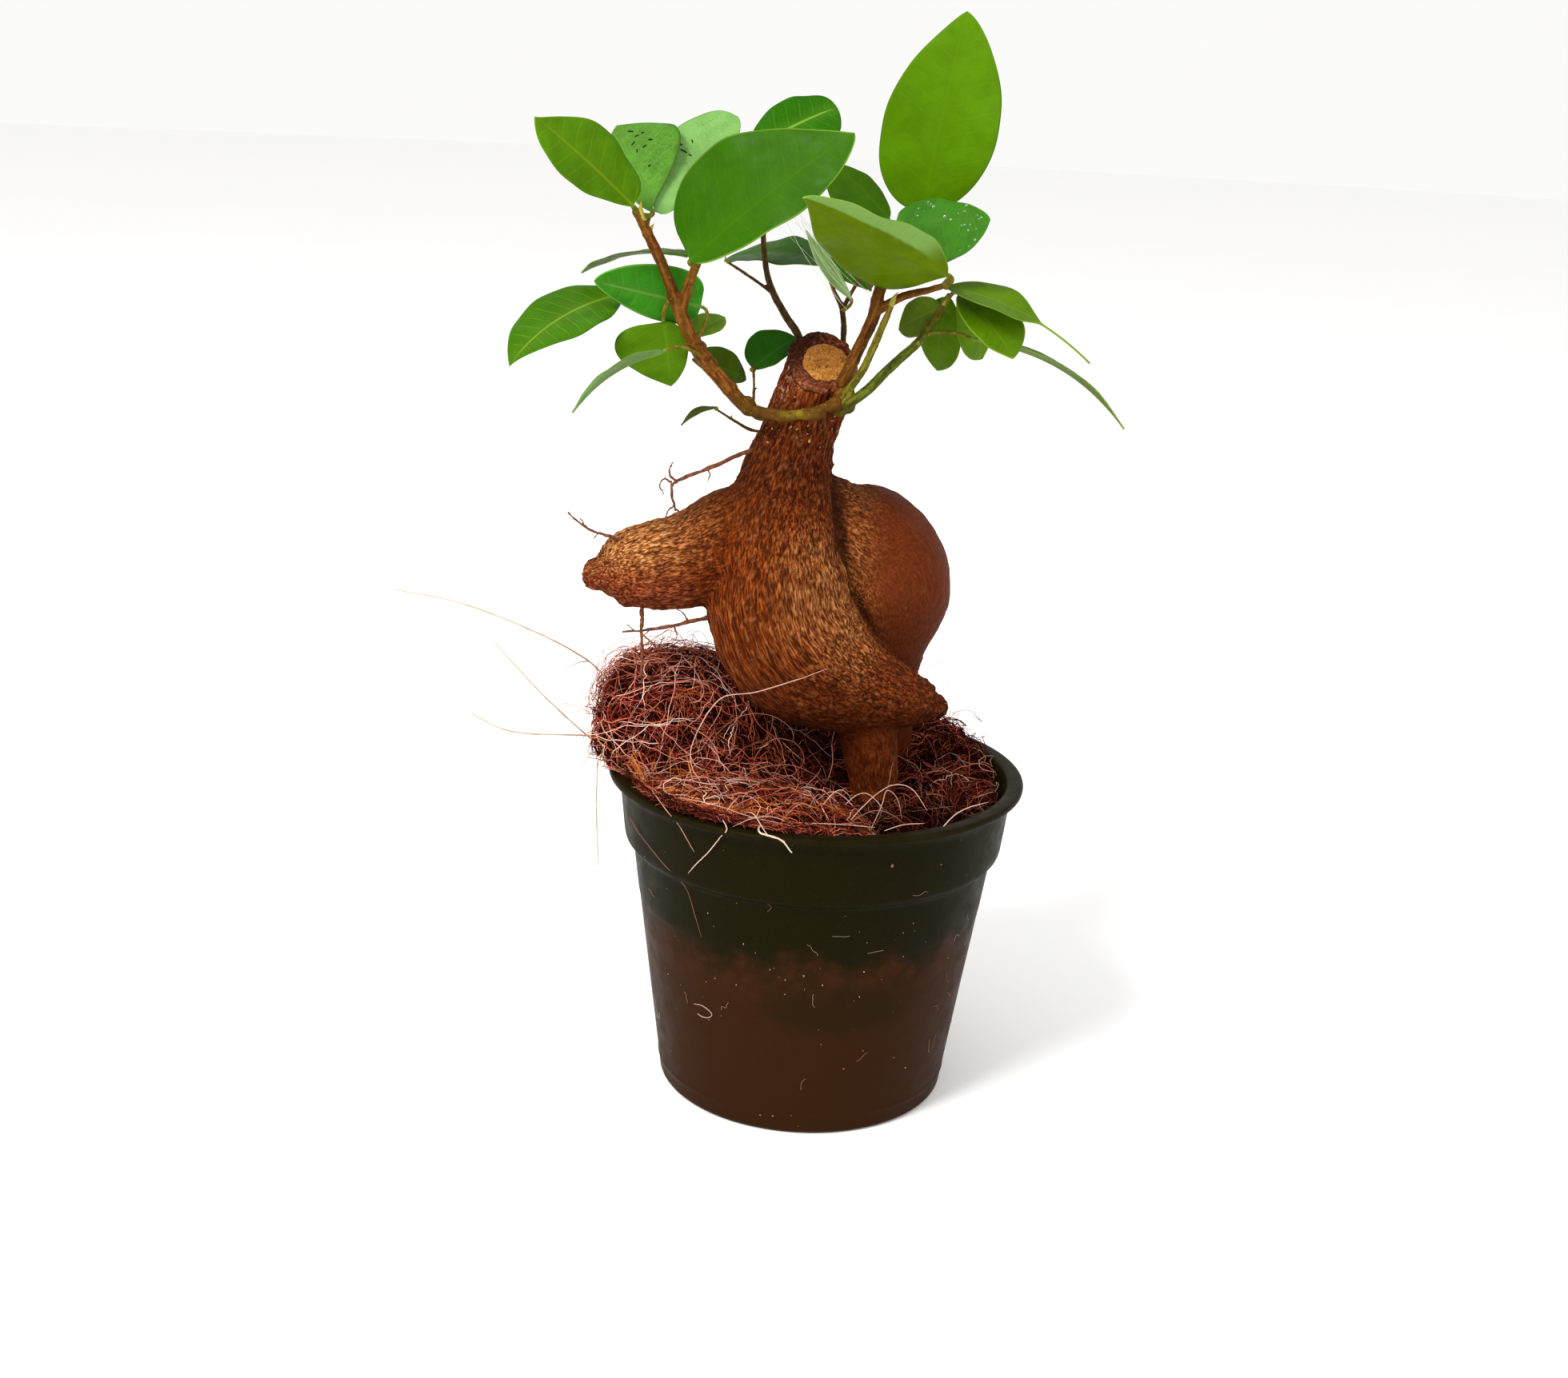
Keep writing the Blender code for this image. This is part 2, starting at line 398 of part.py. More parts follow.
def build_soil():
    bm = bmesh.new()
    rows = []
    low, mid = FLOOR + GAP, BODY_TOP_Z - 1.5
    for k in range(SOIL_SEGMENTS):
        th = 2 * math.pi * k / SOIL_SEGMENTS
        c, s = math.cos(th), math.sin(th)
        rim_in = wall_radius(POT_HEIGHT - .6) - GAP
        edge = soil_height(rim_in * c, rim_in * s)
        over = overhang(th) if edge > POT_HEIGHT + 3 else 0.0
        col = [(wall_radius(low + 1.2) - GAP - 1.0, low), (wall_radius(low + 1.2) - GAP, low + 1.2),
               (wall_radius(mid) - GAP, mid), (BODY_TOP_RADIUS - WALL - GAP, BODY_TOP_Z),
               (BAND_FOOT_RADIUS - WALL - GAP, BAND_FOOT_Z + .8)]
        top_in = min(edge, POT_HEIGHT + .5)
        r_top = wall_radius(min(top_in, POT_HEIGHT - .6)) - GAP
        col.append((r_top, min(top_in, POT_HEIGHT + .4) - 1.0))
        outer = r_top + over
        z_out = max(soil_height(outer * c, outer * s), POT_HEIGHT + 1.4)
        if over > .4:
            col += [(r_top, POT_HEIGHT + GAP + .25), (outer - .8, POT_HEIGHT + GAP + .35),
                    (outer, POT_HEIGHT + 2.0),
                    (outer, z_out - 2.4), (outer - 1.0, z_out - .6)]
        else:
            z_out = max(edge, 0)
            col += [(r_top, top_in - .8), (r_top - .05, top_in - .7),
                    (r_top - .1, top_in - .6), (r_top - .2, z_out - .5 if z_out - .5 > top_in - .6 else top_in - .5),
                    (r_top - .9, max(z_out - .1, top_in - .3))]
        last_r = col[-1][0]
        for f in (.86, .70, .52, .34, .16):
            r = last_r * f
            col.append((r, soil_height(r * c, r * s)))
        rows.append([bm.verts.new((r * c * MM, r * s * MM, z * MM)) for r, z in col])
    bottom = bm.verts.new((0, 0, low * MM))
    top = bm.verts.new((0, 0, soil_height(0, 0) * MM))
    n = SOIL_SEGMENTS
    for k in range(n):
        a, b = rows[k], rows[(k + 1) % n]
        for i in range(len(a) - 1):
            bm.faces.new((a[i], b[i], b[i + 1], a[i + 1]))
        bm.faces.new((bottom, b[0], a[0]))
        bm.faces.new((top, a[-1], b[-1]))
    soil = add_object("coir_soil", bm, material("coir", (.13, .025, .010), .95), 60)
    mould = as_helper(root_body("root_mould", GAP + .25, 1.2, 0.10))
    cut = soil.modifiers.new("root_pocket", 'BOOLEAN')
    cut.operation = 'DIFFERENCE'
    cut.object = mould
    cut.solver = 'EXACT'
    return soil


# ================================================================ shoots
def build_shoots():
    for name, runs in SHOOTS.items():
        colour = (.10, .12, .02) if name in ("shoot_right_green", "shoot_right_olive") else (.20, .07, .02)
        mat = material(name + "_bark", colour, .6)
        bm = bmesh.new()
        tube(bm, runs[0], 7, per_span=2)
        shoot = add_object(name, bm, mat, 60)
        for i, run in enumerate(runs[1:]):
            arm = bmesh.new()
            tube(arm, run, 6, per_span=2)
            fork = as_helper(add_object("%s_fork%d" % (name, i), arm))
            join = shoot.modifiers.new("fork%d" % i, 'BOOLEAN')
            join.operation = 'UNION'
            join.object = fork
            join.solver = 'EXACT'


# ================================================================ leaves
def leaf_rings(spec, stations, lanes, thick):
    stalk, stem_r, base, tip, width, facing, camber, sweep, fold, drip, share, left, right = spec
    stalk, base, tip = Vector(stalk), Vector(base), Vector(tip)
    face = Vector(facing).normalized()
    start = stalk + (base - stalk).normalized() * (stem_r + GAP)
    chord = tip - base
    length = chord.length
    along = chord.normalized()
    face = (face - along * face.dot(along)).normalized()
    across = along.cross(face)

    def spine(u):
        arch = 4 * u * (1 - u)
        return base + chord * u + face * camber * arch + across * sweep * arch

    def half_width(u, side):
        full_base, full_tip, widest = left if side < 0 else right
        u = min(max(u / (1 - drip), 0), 1)
        s = max(math.sin(math.pi * u ** (math.log(.5) / math.log(widest))), 0)
        return width * (share if side < 0 else 1 - share) * s ** (full_base + (full_tip - full_base) * u)

    rings = []
    # the stalk, a thin round stem that flattens into the blade
    stem_dir = (base - start)
    for f, r in ((0.0, .42), (.55, .38)):
        c = start + stem_dir * f
        t = (stem_dir.normalized() * (1 - f) + along * f).normalized()
        up = (face - t * face.dot(t)).normalized()
        sd = t.cross(up)
        rings.append([(c, sd, up, r, r)])
    lane_v = [-1 + 2 * i / lanes for i in range(lanes + 1)]
    out = []
    count = 2 * lanes
    for (c, sd, up, r, _), in rings:
        ring = []
        for k in range(count):
            a = math.pi - 2 * math.pi * k / count
            ring.append((c + sd * math.cos(a) * r + up * math.sin(a) * r) * MM)
        out.append(ring)
    for u in stations:
        c = spine(u)
        t = (spine(min(u + .02, 1)) - spine(max(u - .02, 0))).normalized()
        up = (face - t * face.dot(t)).normalized()
        sd = t.cross(up)
        ring = []
        for k in range(count):
            i = k if k <= lanes else count - k
            v = lane_v[i]
            hw = max(half_width(u, v), .45 if u < .5 else .25)
            lift = fold * abs(v) * hw
            body = thick * (1 - abs(v)) ** .6 * .5
            ring.append((c + sd * v * hw + up * (lift + (body if k <= lanes else -body))) * MM)
        out.append(ring)
    return out


def build_leaves():
    stations = (0.0, .10, .26, .44, .62, .79, .92, 1.0)
    for name, spec in LEAVES.items():
        tone = (.10, .23, .015)
        bm = bmesh.new()
        loft(bm, leaf_rings(spec, stations, 4, BLADE_THICK))
        add_object(name, bm, material(name + "_green", tone, .42), 50)


# ================================================================ threads
def build_threads():
    for name, pts in THREADS.items():
        colour = (.20, .07, .03) if name.startswith("aerial") else (.62, .40, .33)
        bm = bmesh.new()
        tube(bm, pts, 5, per_span=3)
        add_object(name, bm, material(name + "_skin", colour, .7), 70)


clear_scene()
build_pot()
build_soil()
build_root()
build_shoots()
build_leaves()
build_threads()
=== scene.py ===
"""Looks of the ginseng ficus bonsai: bark, coir, leaves, shoots and the small plastic pot.

Tables are in millimetres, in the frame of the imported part: origin at the middle
of the pot's base, +Z up, the viewer on the -Y side.
"""
import math
import random

import bmesh
import bpy
import numpy as np
from mathutils import Matrix, Vector
from mathutils.bvhtree import BVHTree


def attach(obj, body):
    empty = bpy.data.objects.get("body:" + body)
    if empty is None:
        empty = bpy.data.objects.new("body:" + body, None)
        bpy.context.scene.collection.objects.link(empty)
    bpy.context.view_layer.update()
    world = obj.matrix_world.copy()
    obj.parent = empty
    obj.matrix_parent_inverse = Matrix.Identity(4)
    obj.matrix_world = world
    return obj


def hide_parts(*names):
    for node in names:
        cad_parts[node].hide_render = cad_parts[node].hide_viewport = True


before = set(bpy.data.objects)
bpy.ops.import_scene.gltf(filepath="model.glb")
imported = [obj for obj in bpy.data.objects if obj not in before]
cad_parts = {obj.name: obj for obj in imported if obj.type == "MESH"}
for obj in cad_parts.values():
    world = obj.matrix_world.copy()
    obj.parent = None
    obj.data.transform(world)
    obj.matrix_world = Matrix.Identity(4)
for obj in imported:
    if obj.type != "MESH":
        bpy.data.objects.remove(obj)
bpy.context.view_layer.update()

MM = 0.001
BODY_NAME = "root"

# ---------------------------------------------------------------- the part's own tables
RIM_RADIUS, POT_HEIGHT, LIP_THICK = 32.5, 52.3, 1.2
BAND_TOP_RADIUS, BAND_FOOT_RADIUS, BAND_FOOT_Z = 30.7, 29.7, 41.2
BODY_TOP_RADIUS, BODY_TOP_Z, BASE_RADIUS = 28.2, 39.2, 23.0
WALL, FLOOR = .95, 1.2
DRAIN_HOLES, DRAIN_RADIUS, DRAIN_CIRCLE = 6, 2.2, 15.5
SOIL_LEVEL = 48.0
HEAPS = [(-24.5, 9.0, 17.6, 17.5, 16.0), (-13.0, -21.0, 4.6, 19.0, 13.0),
         (20.0, 20.0, 6.5, 14.0, 12.0), (-4.0, 24.0, 3.0, 14.0, 10.0),
         (20.5, -13.0, -6.4, 13.5, 13.5)]
NECK = [(-1.9, -0.4, 122.0, 4.9), (-2.6, -0.2, 115.2, 5.1), (-3.7, 0.1, 110.8, 5.4),
        (-5.3, 0.3, 105.0, 5.7), (-6.7, 0.2, 98.5, 7.0), (-7.8, 0.0, 91.0, 9.4)]
BODY = [(-7.8, 0.0, 91.0, 9.4), (-7.6, -0.6, 83.5, 11.0), (-6.6, -1.2, 77.0, 11.3),
        (-3.2, -1.2, 71.4, 11.2), (3.0, -0.6, 67.0, 8.9), (10.0, 0.3, 64.6, 6.0),
        (15.4, 0.9, 63.4, 4.0), (18.6, 1.0, 62.8, 2.0)]
LOBE = [(-9.0, 0.4, 91.6, 7.4), (-13.6, -0.2, 88.2, 8.2), (-20.0, -1.0, 85.2, 7.5),
        (-25.8, -2.0, 84.1, 7.0), (-30.0, -3.0, 83.5, 5.9), (-32.8, -3.8, 82.9, 4.4),
        (-34.5, -4.2, 82.6, 2.8)]
BULB = [(-4.5, 2.6, 94.0, 5.6), (1.0, 6.0, 89.0, 8.2), (5.2, 9.0, 85.4, 11.0),
        (8.3, 10.2, 80.0, 11.6), (9.3, 10.4, 74.5, 9.8), (9.8, 10.0, 69.0, 6.8),
        (10.6, 9.8, 63.0, 4.7), (11.4, 10.4, 55.0, 3.8), (12.4, 11.4, 44.0, 3.0),
        (12.0, 12.5, 34.0, 2.0)]
LEG = [(6.2, 0.2, 64.5, 5.5), (7.7, 0.8, 59.8, 5.0), (8.7, 1.4, 53.9, 4.2),
       (9.3, 1.8, 48.4, 3.4), (9.2, 2.0, 40.0, 2.9), (8.2, 1.6, 30.0, 2.0)]
SHOULDER = [(-9.5, 4.0, 91.0, 6.8), (-12.5, 5.4, 84.0, 7.6), (-11.0, 5.2, 77.5, 7.0),
            (-6.0, 5.4, 72.0, 6.4)]
CUT_CENTRE, CUT_NORMAL = (-1.8, -0.4, 115.4), (0.16, -0.60, 0.78)
SHOOTS = {
    "shoot_left": [
        [(0.1, -6.8, 111.1, 0.80), (-2.6, -6.7, 109.5, 0.90), (-6.4, -6.7, 108.6, 0.95),
         (-10.4, -6.2, 108.7, 1.00), (-13.2, -6.0, 109.5, 1.05), (-16.4, -6.9, 112.9, 1.10),
         (-20.2, -7.8, 117.3, 1.05), (-22.9, -9.4, 122.8, 0.95), (-24.4, -10.6, 126.9, 0.85),
         (-26.2, -12.4, 131.3, 0.78), (-28.0, -13.6, 135.0, 0.70), (-29.1, -14.4, 137.0, 0.55)],
        [(-22.9, -9.4, 122.8, 0.80), (-21.7, -11.2, 127.2, 0.75), (-20.6, -13.0, 130.2, 0.60)],
    ],
    "shoot_back_left": [
        [(-5.0, 6.0, 110.4, 0.58), (-5.9, 6.6, 117.7, 0.62), (-8.3, 6.8, 121.5, 0.58),
         (-10.5, 9.0, 124.8, 0.52), (-11.9, 12.2, 128.6, 0.48), (-12.8, 12.8, 135.6, 0.42),
         (-14.0, 12.9, 143.8, 0.36)],
        [(-10.5, 9.0, 124.6, 0.32), (-14.0, 10.6, 126.6, 0.28), (-17.5, 12.6, 128.4, 0.24)],
    ],
    "shoot_back_middle": [
        [(-0.4, 5.2, 110.9, 0.48), (0.6, 6.0, 117.6, 0.48), (0.2, 6.6, 122.7, 0.44),
         (-1.3, 9.4, 125.5, 0.36), (-2.4, 12.8, 128.0, 0.30)],
        [(0.2, 6.6, 122.7, 0.36), (1.3, 8.4, 125.0, 0.32), (3.2, 9.6, 128.4, 0.28)],
    ],
    "shoot_right_main": [
        [(0.7, -4.6, 113.6, 0.95), (1.7, -4.8, 115.7, 0.95), (3.4, -4.2, 119.7, 0.92),
         (4.8, -3.6, 123.2, 0.95), (5.5, -3.4, 127.1, 0.90), (7.8, -1.6, 132.1, 0.75),
         (12.0, 1.0, 136.5, 0.62)],
        [(5.0, -3.6, 123.9, 0.75), (8.8, -5.0, 126.4, 0.62), (12.3, -6.0, 127.6, 0.50),
         (14.8, -6.6, 128.5, 0.42)],
    ],
    "shoot_right_olive": [
        [(2.1, -6.4, 113.2, 0.60), (3.6, -6.8, 115.7, 0.60), (5.0, -6.9, 119.2, 0.56),
         (6.2, -7.0, 122.5, 0.52), (7.2, -7.6, 125.3, 0.42)],
    ],
    "shoot_right_green": [
        [(1.8, -6.6, 110.6, 0.72), (4.7, -6.4, 113.1, 0.78), (7.1, -5.6, 115.6, 0.74),
         (9.3, -5.2, 117.8, 0.70), (11.4, -4.8, 119.9, 0.66), (13.0, -4.2, 122.4, 0.60),
         (14.7, -3.6, 125.1, 0.50)],
    ],
    "twig_low_left": [
        [(-10.4, -1.0, 108.1, 0.24), (-12.1, -1.2, 108.8, 0.24), (-12.3, -0.4, 111.3, 0.22),
         (-12.5, 0.2, 114.0, 0.20)],
    ],
    "sprout_low_left": [
        [(-10.9, -2.5, 105.2, 0.26), (-12.7, -3.4, 105.7, 0.26), (-15.0, -6.0, 107.4, 0.22),
         (-17.3, -8.4, 109.2, 0.18)],
    ],
}
# name: (stalk start, stem radius there, blade base, blade tip, width,
#        facing, camber, sweep, fold, share of the length that is a drip tip, share of the width on the left,
#        left outline, right outline); an outline is (roundness at the base, at the tip, widest point)
LEAVES = {
    "leaf_top_right":       ((12.0, 1.0, 136.5), 0.29, (11.2, 2.6, 137.9), (15.4, -1.0, 166.0), 17.2,
        (-0.25, -0.96, 0.1), 1.0, 0.0, 0.1, 0.0, 0.49, (0.54, 0.82, 0.38), (0.66, 0.66, 0.46)),
    "leaf_centre_front":    ((-20.6, -13.0, 130.2), 0.23, (-21.3, -14.2, 130.8), (0.5, -19.0, 149.2), 16.6,
        (-0.3, -0.86, 0.42), 1.2, 0.0, 0.06, 0.0, 0.68, (0.46, 0.94, 0.32), (0.42, 0.54, 0.58)),
    "leaf_upper_left":      ((-29.1, -14.4, 137.0), 0.12, (-29.6, -15.2, 137.9), (-42.1, -23.0, 149.3), 10.3,
        (0.3, -0.8, 0.52), 0.5, 0.0, 0.2, 0.0, 0.49, (0.54, 0.7, 0.62), (0.26, 1.1, 0.48)),
    "leaf_pale_left":       ((-28.8, -14.2, 136.6), 0.62, (-27.2, -11.4, 137.1), (-34.0, 3.0, 148.0), 11.3,
        (-0.2, -0.84, 0.5), 0.6, 0.0, 0.06, 0.0, 0.29, (0.46, 0.66, 0.58), (0.98, 0.94, 0.58)),
    "leaf_pale_middle":     ((-27.6, -13.4, 134.2), 0.72, (-27.1, -10.4, 137.1), (-16.5, 4.0, 150.0), 9.0,
        (0.05, -0.8, 0.6), 0.6, 0.0, 0.06, 0.0, 0.62, (0.74, 0.38, 0.58), (0.26, 0.62, 0.5)),
    "leaf_dark_top":        ((-14.0, 12.9, 143.8), 0.12, (-14.7, 13.2, 145.3), (-2.3, 20.0, 151.8), 10.0,
        (-0.15, -0.9, 0.45), 0.8, 0.0, 0.1, 0.0, 0.44, (0.54, 0.3, 0.52), (0.26, 0.58, 0.58)),
    "leaf_dark_behind":     ((3.2, 9.6, 128.4), 0.12, (6.4, 9.6, 136.3), (-2.1, 13.0, 143.6), 8.2,
        (0.3, -0.8, 0.55), 0.5, 0.0, 0.1, 0.0, 0.7, (0.55, 0.5, 0.5), (0.5, 0.6, 0.5)),
    "leaf_olive_front":     ((14.8, -6.6, 128.5), 0.42, (14.7, -10.4, 130.3), (-5.9, -25.0, 140.7), 17.6,
        (0.2, 0.62, 0.76), 0.4, 0.6, 0.06, 0.0, 0.33, (1.02, 0.46, 0.4), (0.4, 1.15, 0.27)),
    "leaf_blue_green":      ((7.2, -2.0, 130.9), 1.75, (7.2, -1.4, 135.8), (20.4, -7.4, 138.0), 11.7,
        (-0.12, -0.76, 0.64), 0.5, -0.2, 0.06, 0.0, 0.34, (0.26, 0.58, 0.26), (0.58, 0.34, 0.56)),
    "leaf_side_back_left":  ((-21.5, -11.6, 127.9), 0.47, (-22.3, -6.6, 130.9), (-38.7, 2.0, 126.8), 8.4,
        (-0.06, 0.0, 1.0), 1.6, 0.0, 0.04, 0.0, 0.5, (0.5, 0.9, 0.45), (0.5, 0.9, 0.45)),
    "leaf_dark_left":       ((-20.9, -8.2, 118.7), 1.25, (-20.3, -6.0, 123.6), (-35.3, -10.5, 126.9), 8.1,
        (-0.32, -0.94, 0.08), -0.3, 0.0, 0.05, 0.0, 0.42, (0.5, 0.66, 0.32), (0.42, 0.54, 0.3)),
    "leaf_far_left":        ((-20.3, -7.0, 117.8), 0.62, (-32.2, -2.5, 124.4), (-45.4, -22.0, 115.9), 11.3,
        (-0.36, -0.84, 0.4), 1.0, 1.5, 0.1, 0.0, 0.53, (1.02, 1.26, 0.42), (0.26, 0.86, 0.4)),
    "leaf_olive_left":      ((-24.0, -9.9, 125.4), 1.4, (-25.4, -8.0, 121.4), (-24.2, -7.4, 112.1), 10.6,
        (0.1, -0.85, 0.52), 0.4, 0.0, 0.05, 0.0, 0.29, (0.5, 0.7, 0.42), (0.46, 0.9, 0.3)),
    "leaf_small_left":      ((-19.4, -7.6, 116.4), 1.6, (-21.4, -5.0, 119.2), (-17.1, 0.0, 121.5), 4.4,
        (0.1, -0.62, 0.78), 0.4, 0.0, 0.08, 0.0, 0.55, (0.5, 0.7, 0.5), (0.5, 0.7, 0.5)),
    "leaf_thin_left":       ((-18.6, -7.4, 115.4), 2.1, (-25.0, -12.0, 117.7), (-37.0, -18.6, 109.3), 6.4,
        (-0.5, 0.1, 0.86), 1.5, 0.0, 0.25, 0.0, 0.5, (0.7, 1.1, 0.45), (0.7, 1.1, 0.45)),
    "leaf_low_olive":       ((-15.6, -6.7, 112.1), 2.1, (-21.2, -3.6, 115.6), (-13.7, 2.0, 112.2), 5.8,
        (0.2, -0.74, 0.64), 0.4, 0.0, 0.08, 0.0, 0.64, (0.45, 0.42, 0.58), (0.5, 0.7, 0.5)),
    "leaf_round_dark":      ((-12.5, 0.2, 114.0), 0.2, (-12.7, 1.0, 114.1), (-6.5, 4.4, 118.5), 6.6,
        (-0.3, -0.8, 0.52), 0.4, 0.0, 0.06, 0.0, 0.68, (0.42, 0.5, 0.46), (0.5, 0.5, 0.5)),
    "leaf_long_back":       ((-2.4, 12.8, 128.0), 0.12, (-1.8, 16.4, 128.5), (-18.8, 24.0, 127.7), 12.0,
        (0.05, -0.3, 0.95), 1.6, 0.0, 0.1, 0.0, 0.5, (0.6, 0.7, 0.5), (0.6, 0.7, 0.5)),
    "leaf_young_pale":      ((0.2, 6.6, 122.7), 0.17, (1.3, 4.0, 125.0), (-5.6, -4.0, 135.0), 3.0,
        (0.6, -0.7, 0.3), -1.0, 0.0, 0.35, 0.0, 0.5, (0.7, 1.1, 0.45), (0.7, 1.1, 0.45)),
    "leaf_dark_middle":     ((3.2, 9.6, 128.4), 0.19, (4.3, 12.0, 125.5), (-3.3, 18.0, 133.8), 8.0,
        (0.1, -0.8, 0.58), 0.8, 0.0, 0.1, 0.0, 0.5, (0.7, 0.7, 0.52), (0.6, 0.7, 0.5)),
    "leaf_drip_tip":        ((14.8, -6.6, 128.5), 0.34, (15.3, -6.8, 128.2), (36.2, -8.0, 118.6), 9.2,
        (0.42, -0.36, 0.83), 1.9, 0.0, 0.14, 0.38, 0.5, (0.52, 1.08, 0.5), (0.52, 1.08, 0.5)),
    "leaf_thin_right":      ((12.2, -4.5, 121.1), 0.63, (19.5, -2.6, 120.6), (43.9, 5.0, 107.3), 4.6,
        (0.4, 0.06, 0.9), 3.0, 0.0, 0.22, 0.0, 0.5, (0.7, 1.2, 0.45), (0.7, 1.2, 0.45)),
    "leaf_hanging_back":    ((13.9, -3.9, 123.7), 1.1, (15.7, -0.8, 126.2), (15.1, 6.0, 114.6), 7.6,
        (-0.2, -0.76, 0.6), 0.8, 0.0, 0.1, 0.0, 0.5, (0.5, 0.75, 0.5), (0.5, 0.75, 0.5)),
    "leaf_hanging_middle":  ((14.7, -3.6, 125.1), 0.5, (17.3, -1.0, 126.8), (21.6, 5.0, 116.8), 8.0,
        (0.15, -0.8, 0.58), 0.8, 0.0, 0.1, 0.0, 0.5, (0.5, 0.75, 0.5), (0.5, 0.75, 0.5)),
    "leaf_hanging_front":   ((14.7, -3.6, 125.1), 0.5, (16.9, -4.6, 127.1), (25.0, -9.6, 118.9), 8.6,
        (0.3, -0.72, 0.6), 1.0, 0.0, 0.12, 0.0, 0.56, (0.5, 0.62, 0.6), (0.6, 0.8, 0.5)),
    "leaf_pale_right":      ((12.8, -4.3, 122.1), 1.7, (14.8, -1.5, 124.6), (8.8, 1.5, 120.9), 6.6,
        (-0.1, -0.75, 0.62), 0.6, 0.0, 0.1, 0.0, 0.5, (0.5, 0.7, 0.5), (0.5, 0.7, 0.5)),
    "leaf_sprout":          ((-17.3, -8.4, 109.2), 0.18, (-17.5, -8.9, 109.5), (-22.0, -13.0, 107.4), 1.7,
        (-0.2, -0.4, 0.9), 0.7, 0.0, 0.3, 0.0, 0.5, (0.8, 1.2, 0.45), (0.8, 1.2, 0.45)),
}
THREADS = {
    "aerial_root_upper": [(-11.0, -1.8, 101.8, .42), (-12.3, -2.2, 102.2, .36), (-17.6, -4.4, 100.2, .31),
                          (-22.5, -6.0, 98.0, .27), (-23.7, -6.0, 96.6, .22), (-23.1, -4.4, 93.0, .17)],
    "aerial_root_lobe":  [(-31.0, -4.8, 88.0, .26), (-32.2, -5.2, 88.7, .24), (-35.6, -6.6, 89.8, .2), (-38.8, -8.0, 92.7, .12)],
    "aerial_root_drop":  [(-27.8, -3.0, 78.0, .42), (-27.8, -3.0, 77.2, .34), (-27.7, -3.4, 73.0, .27), (-27.7, -3.0, 66.0, .22)],
    "aerial_root_side":  [(-17.4, -4.0, 76.8, .42), (-18.3, -4.4, 76.6, .36), (-24.0, -6.6, 75.6, .28), (-30.3, -8.0, 74.7, .13)],
    "loose_fibre_long":  [(-33.6, 5.6, 62.4, .14), (-35.3, 4.7, 64.8, .14), (-37.6, 3.4, 67.1, .14), (-43.3, 0.0, 71.2, .13), (-55.2, -3.0, 76.4, .12),
                          (-67.0, -5.0, 78.8, .08)],
    "loose_fibre_upper": [(-35.0, 1.8, 53.6, .13), (-37.0, 0.6, 55.6, .13), (-44.0, -3.0, 63.6, .12), (-50.5, -5.0, 71.5, .08)],
    "loose_fibre_lower": [(-35.0, -.8, 55.4, .13), (-37.2, -1.8, 55.9, .13), (-46.9, -8.0, 57.9, .12), (-53.3, -10.0, 61.3, .08)],
    "loose_fibre_down":  [(-33.4, -5.0, 54.0, .13), (-33.9, -6.0, 52.6, .13), (-33.6, -8.6, 46.0, .12), (-33.0, -9.0, 37.0, .08)],
    "loose_fibre_front": [(-6.8, -28.0, 51.6, .14), (-7.4, -30.2, 53.3, .14), (-7.4, -33.0, 53.2, .14), (-4.5, -34.2, 52.8, .13), (-2.7, -34.4, 51.0, .1)],
}


# ================================================================ numbers
def hash3(ix, iy, iz, seed):
    n = (ix * 374761393 + iy * 668265263 + iz * 1442695041 + seed * 974634777) & 0xffffffff
    n = ((n ^ (n >> 13)) * 1274126177) & 0xffffffff
    n = ((n ^ (n >> 16)) * 2246822519) & 0xffffffff
    n = n ^ (n >> 15)
    return (n & 0xffffff) / float(0xffffff)


def vnoise(p, seed=0):
    """Smooth value noise, 0 to 1, at each row of p."""
    p = np.asarray(p, float)
    i = np.floor(p).astype(np.int64)
    f = p - i
    u = f * f * f * (f * (f * 6 - 15) + 10)
    out = np.zeros(len(p))
    for dx in (0, 1):
        for dy in (0, 1):
            for dz in (0, 1):
                w = ((u[:, 0] if dx else 1 - u[:, 0]) * (u[:, 1] if dy else 1 - u[:, 1])
                     * (u[:, 2] if dz else 1 - u[:, 2]))
                out += w * hash3(i[:, 0] + dx, i[:, 1] + dy, i[:, 2] + dz, seed)
    return out


def fbm(p, octaves=3, seed=0):
    total, amp, norm = 0, 1.0, 0.0
    for o in range(octaves):
        total = total + amp * vnoise(p * 2.03 ** o, seed + 17 * o)
        norm += amp
        amp *= .5
    return total / norm


def spread(v, gain=.22):
    """Centre a noise on 0.5 with a known contrast, clipped to 0..1."""
    return np.clip(.5 + gain * (v - v.mean()) / max(v.std(), 1e-9), 0, 1)


def smooth_path(points, per_span):
    """Catmull-Rom curve through the points."""
    pts = [tuple(p) for p in points]
    ext = [tuple(2 * a - b for a, b in zip(pts[0], pts[1]))] + pts + \
          [tuple(2 * a - b for a, b in zip(pts[-1], pts[-2]))]
    out = []
    for i in range(1, len(ext) - 2):
        p0, p1, p2, p3 = ext[i - 1:i + 3]
        for k in range(per_span):
            t = k / per_span
            out.append(tuple(
                0.5 * (2 * b + (c - a) * t + (2 * a - 5 * b + 4 * c - d) * t * t
                       + (3 * b - a - 3 * c + d) * t ** 3)
                for a, b, c, d in zip(p0, p1, p2, p3)))
    out.append(pts[-1])
    return np.array(out, float)


def unit(a):
    return a / np.maximum(np.linalg.norm(a, axis=-1, keepdims=True), 1e-12)


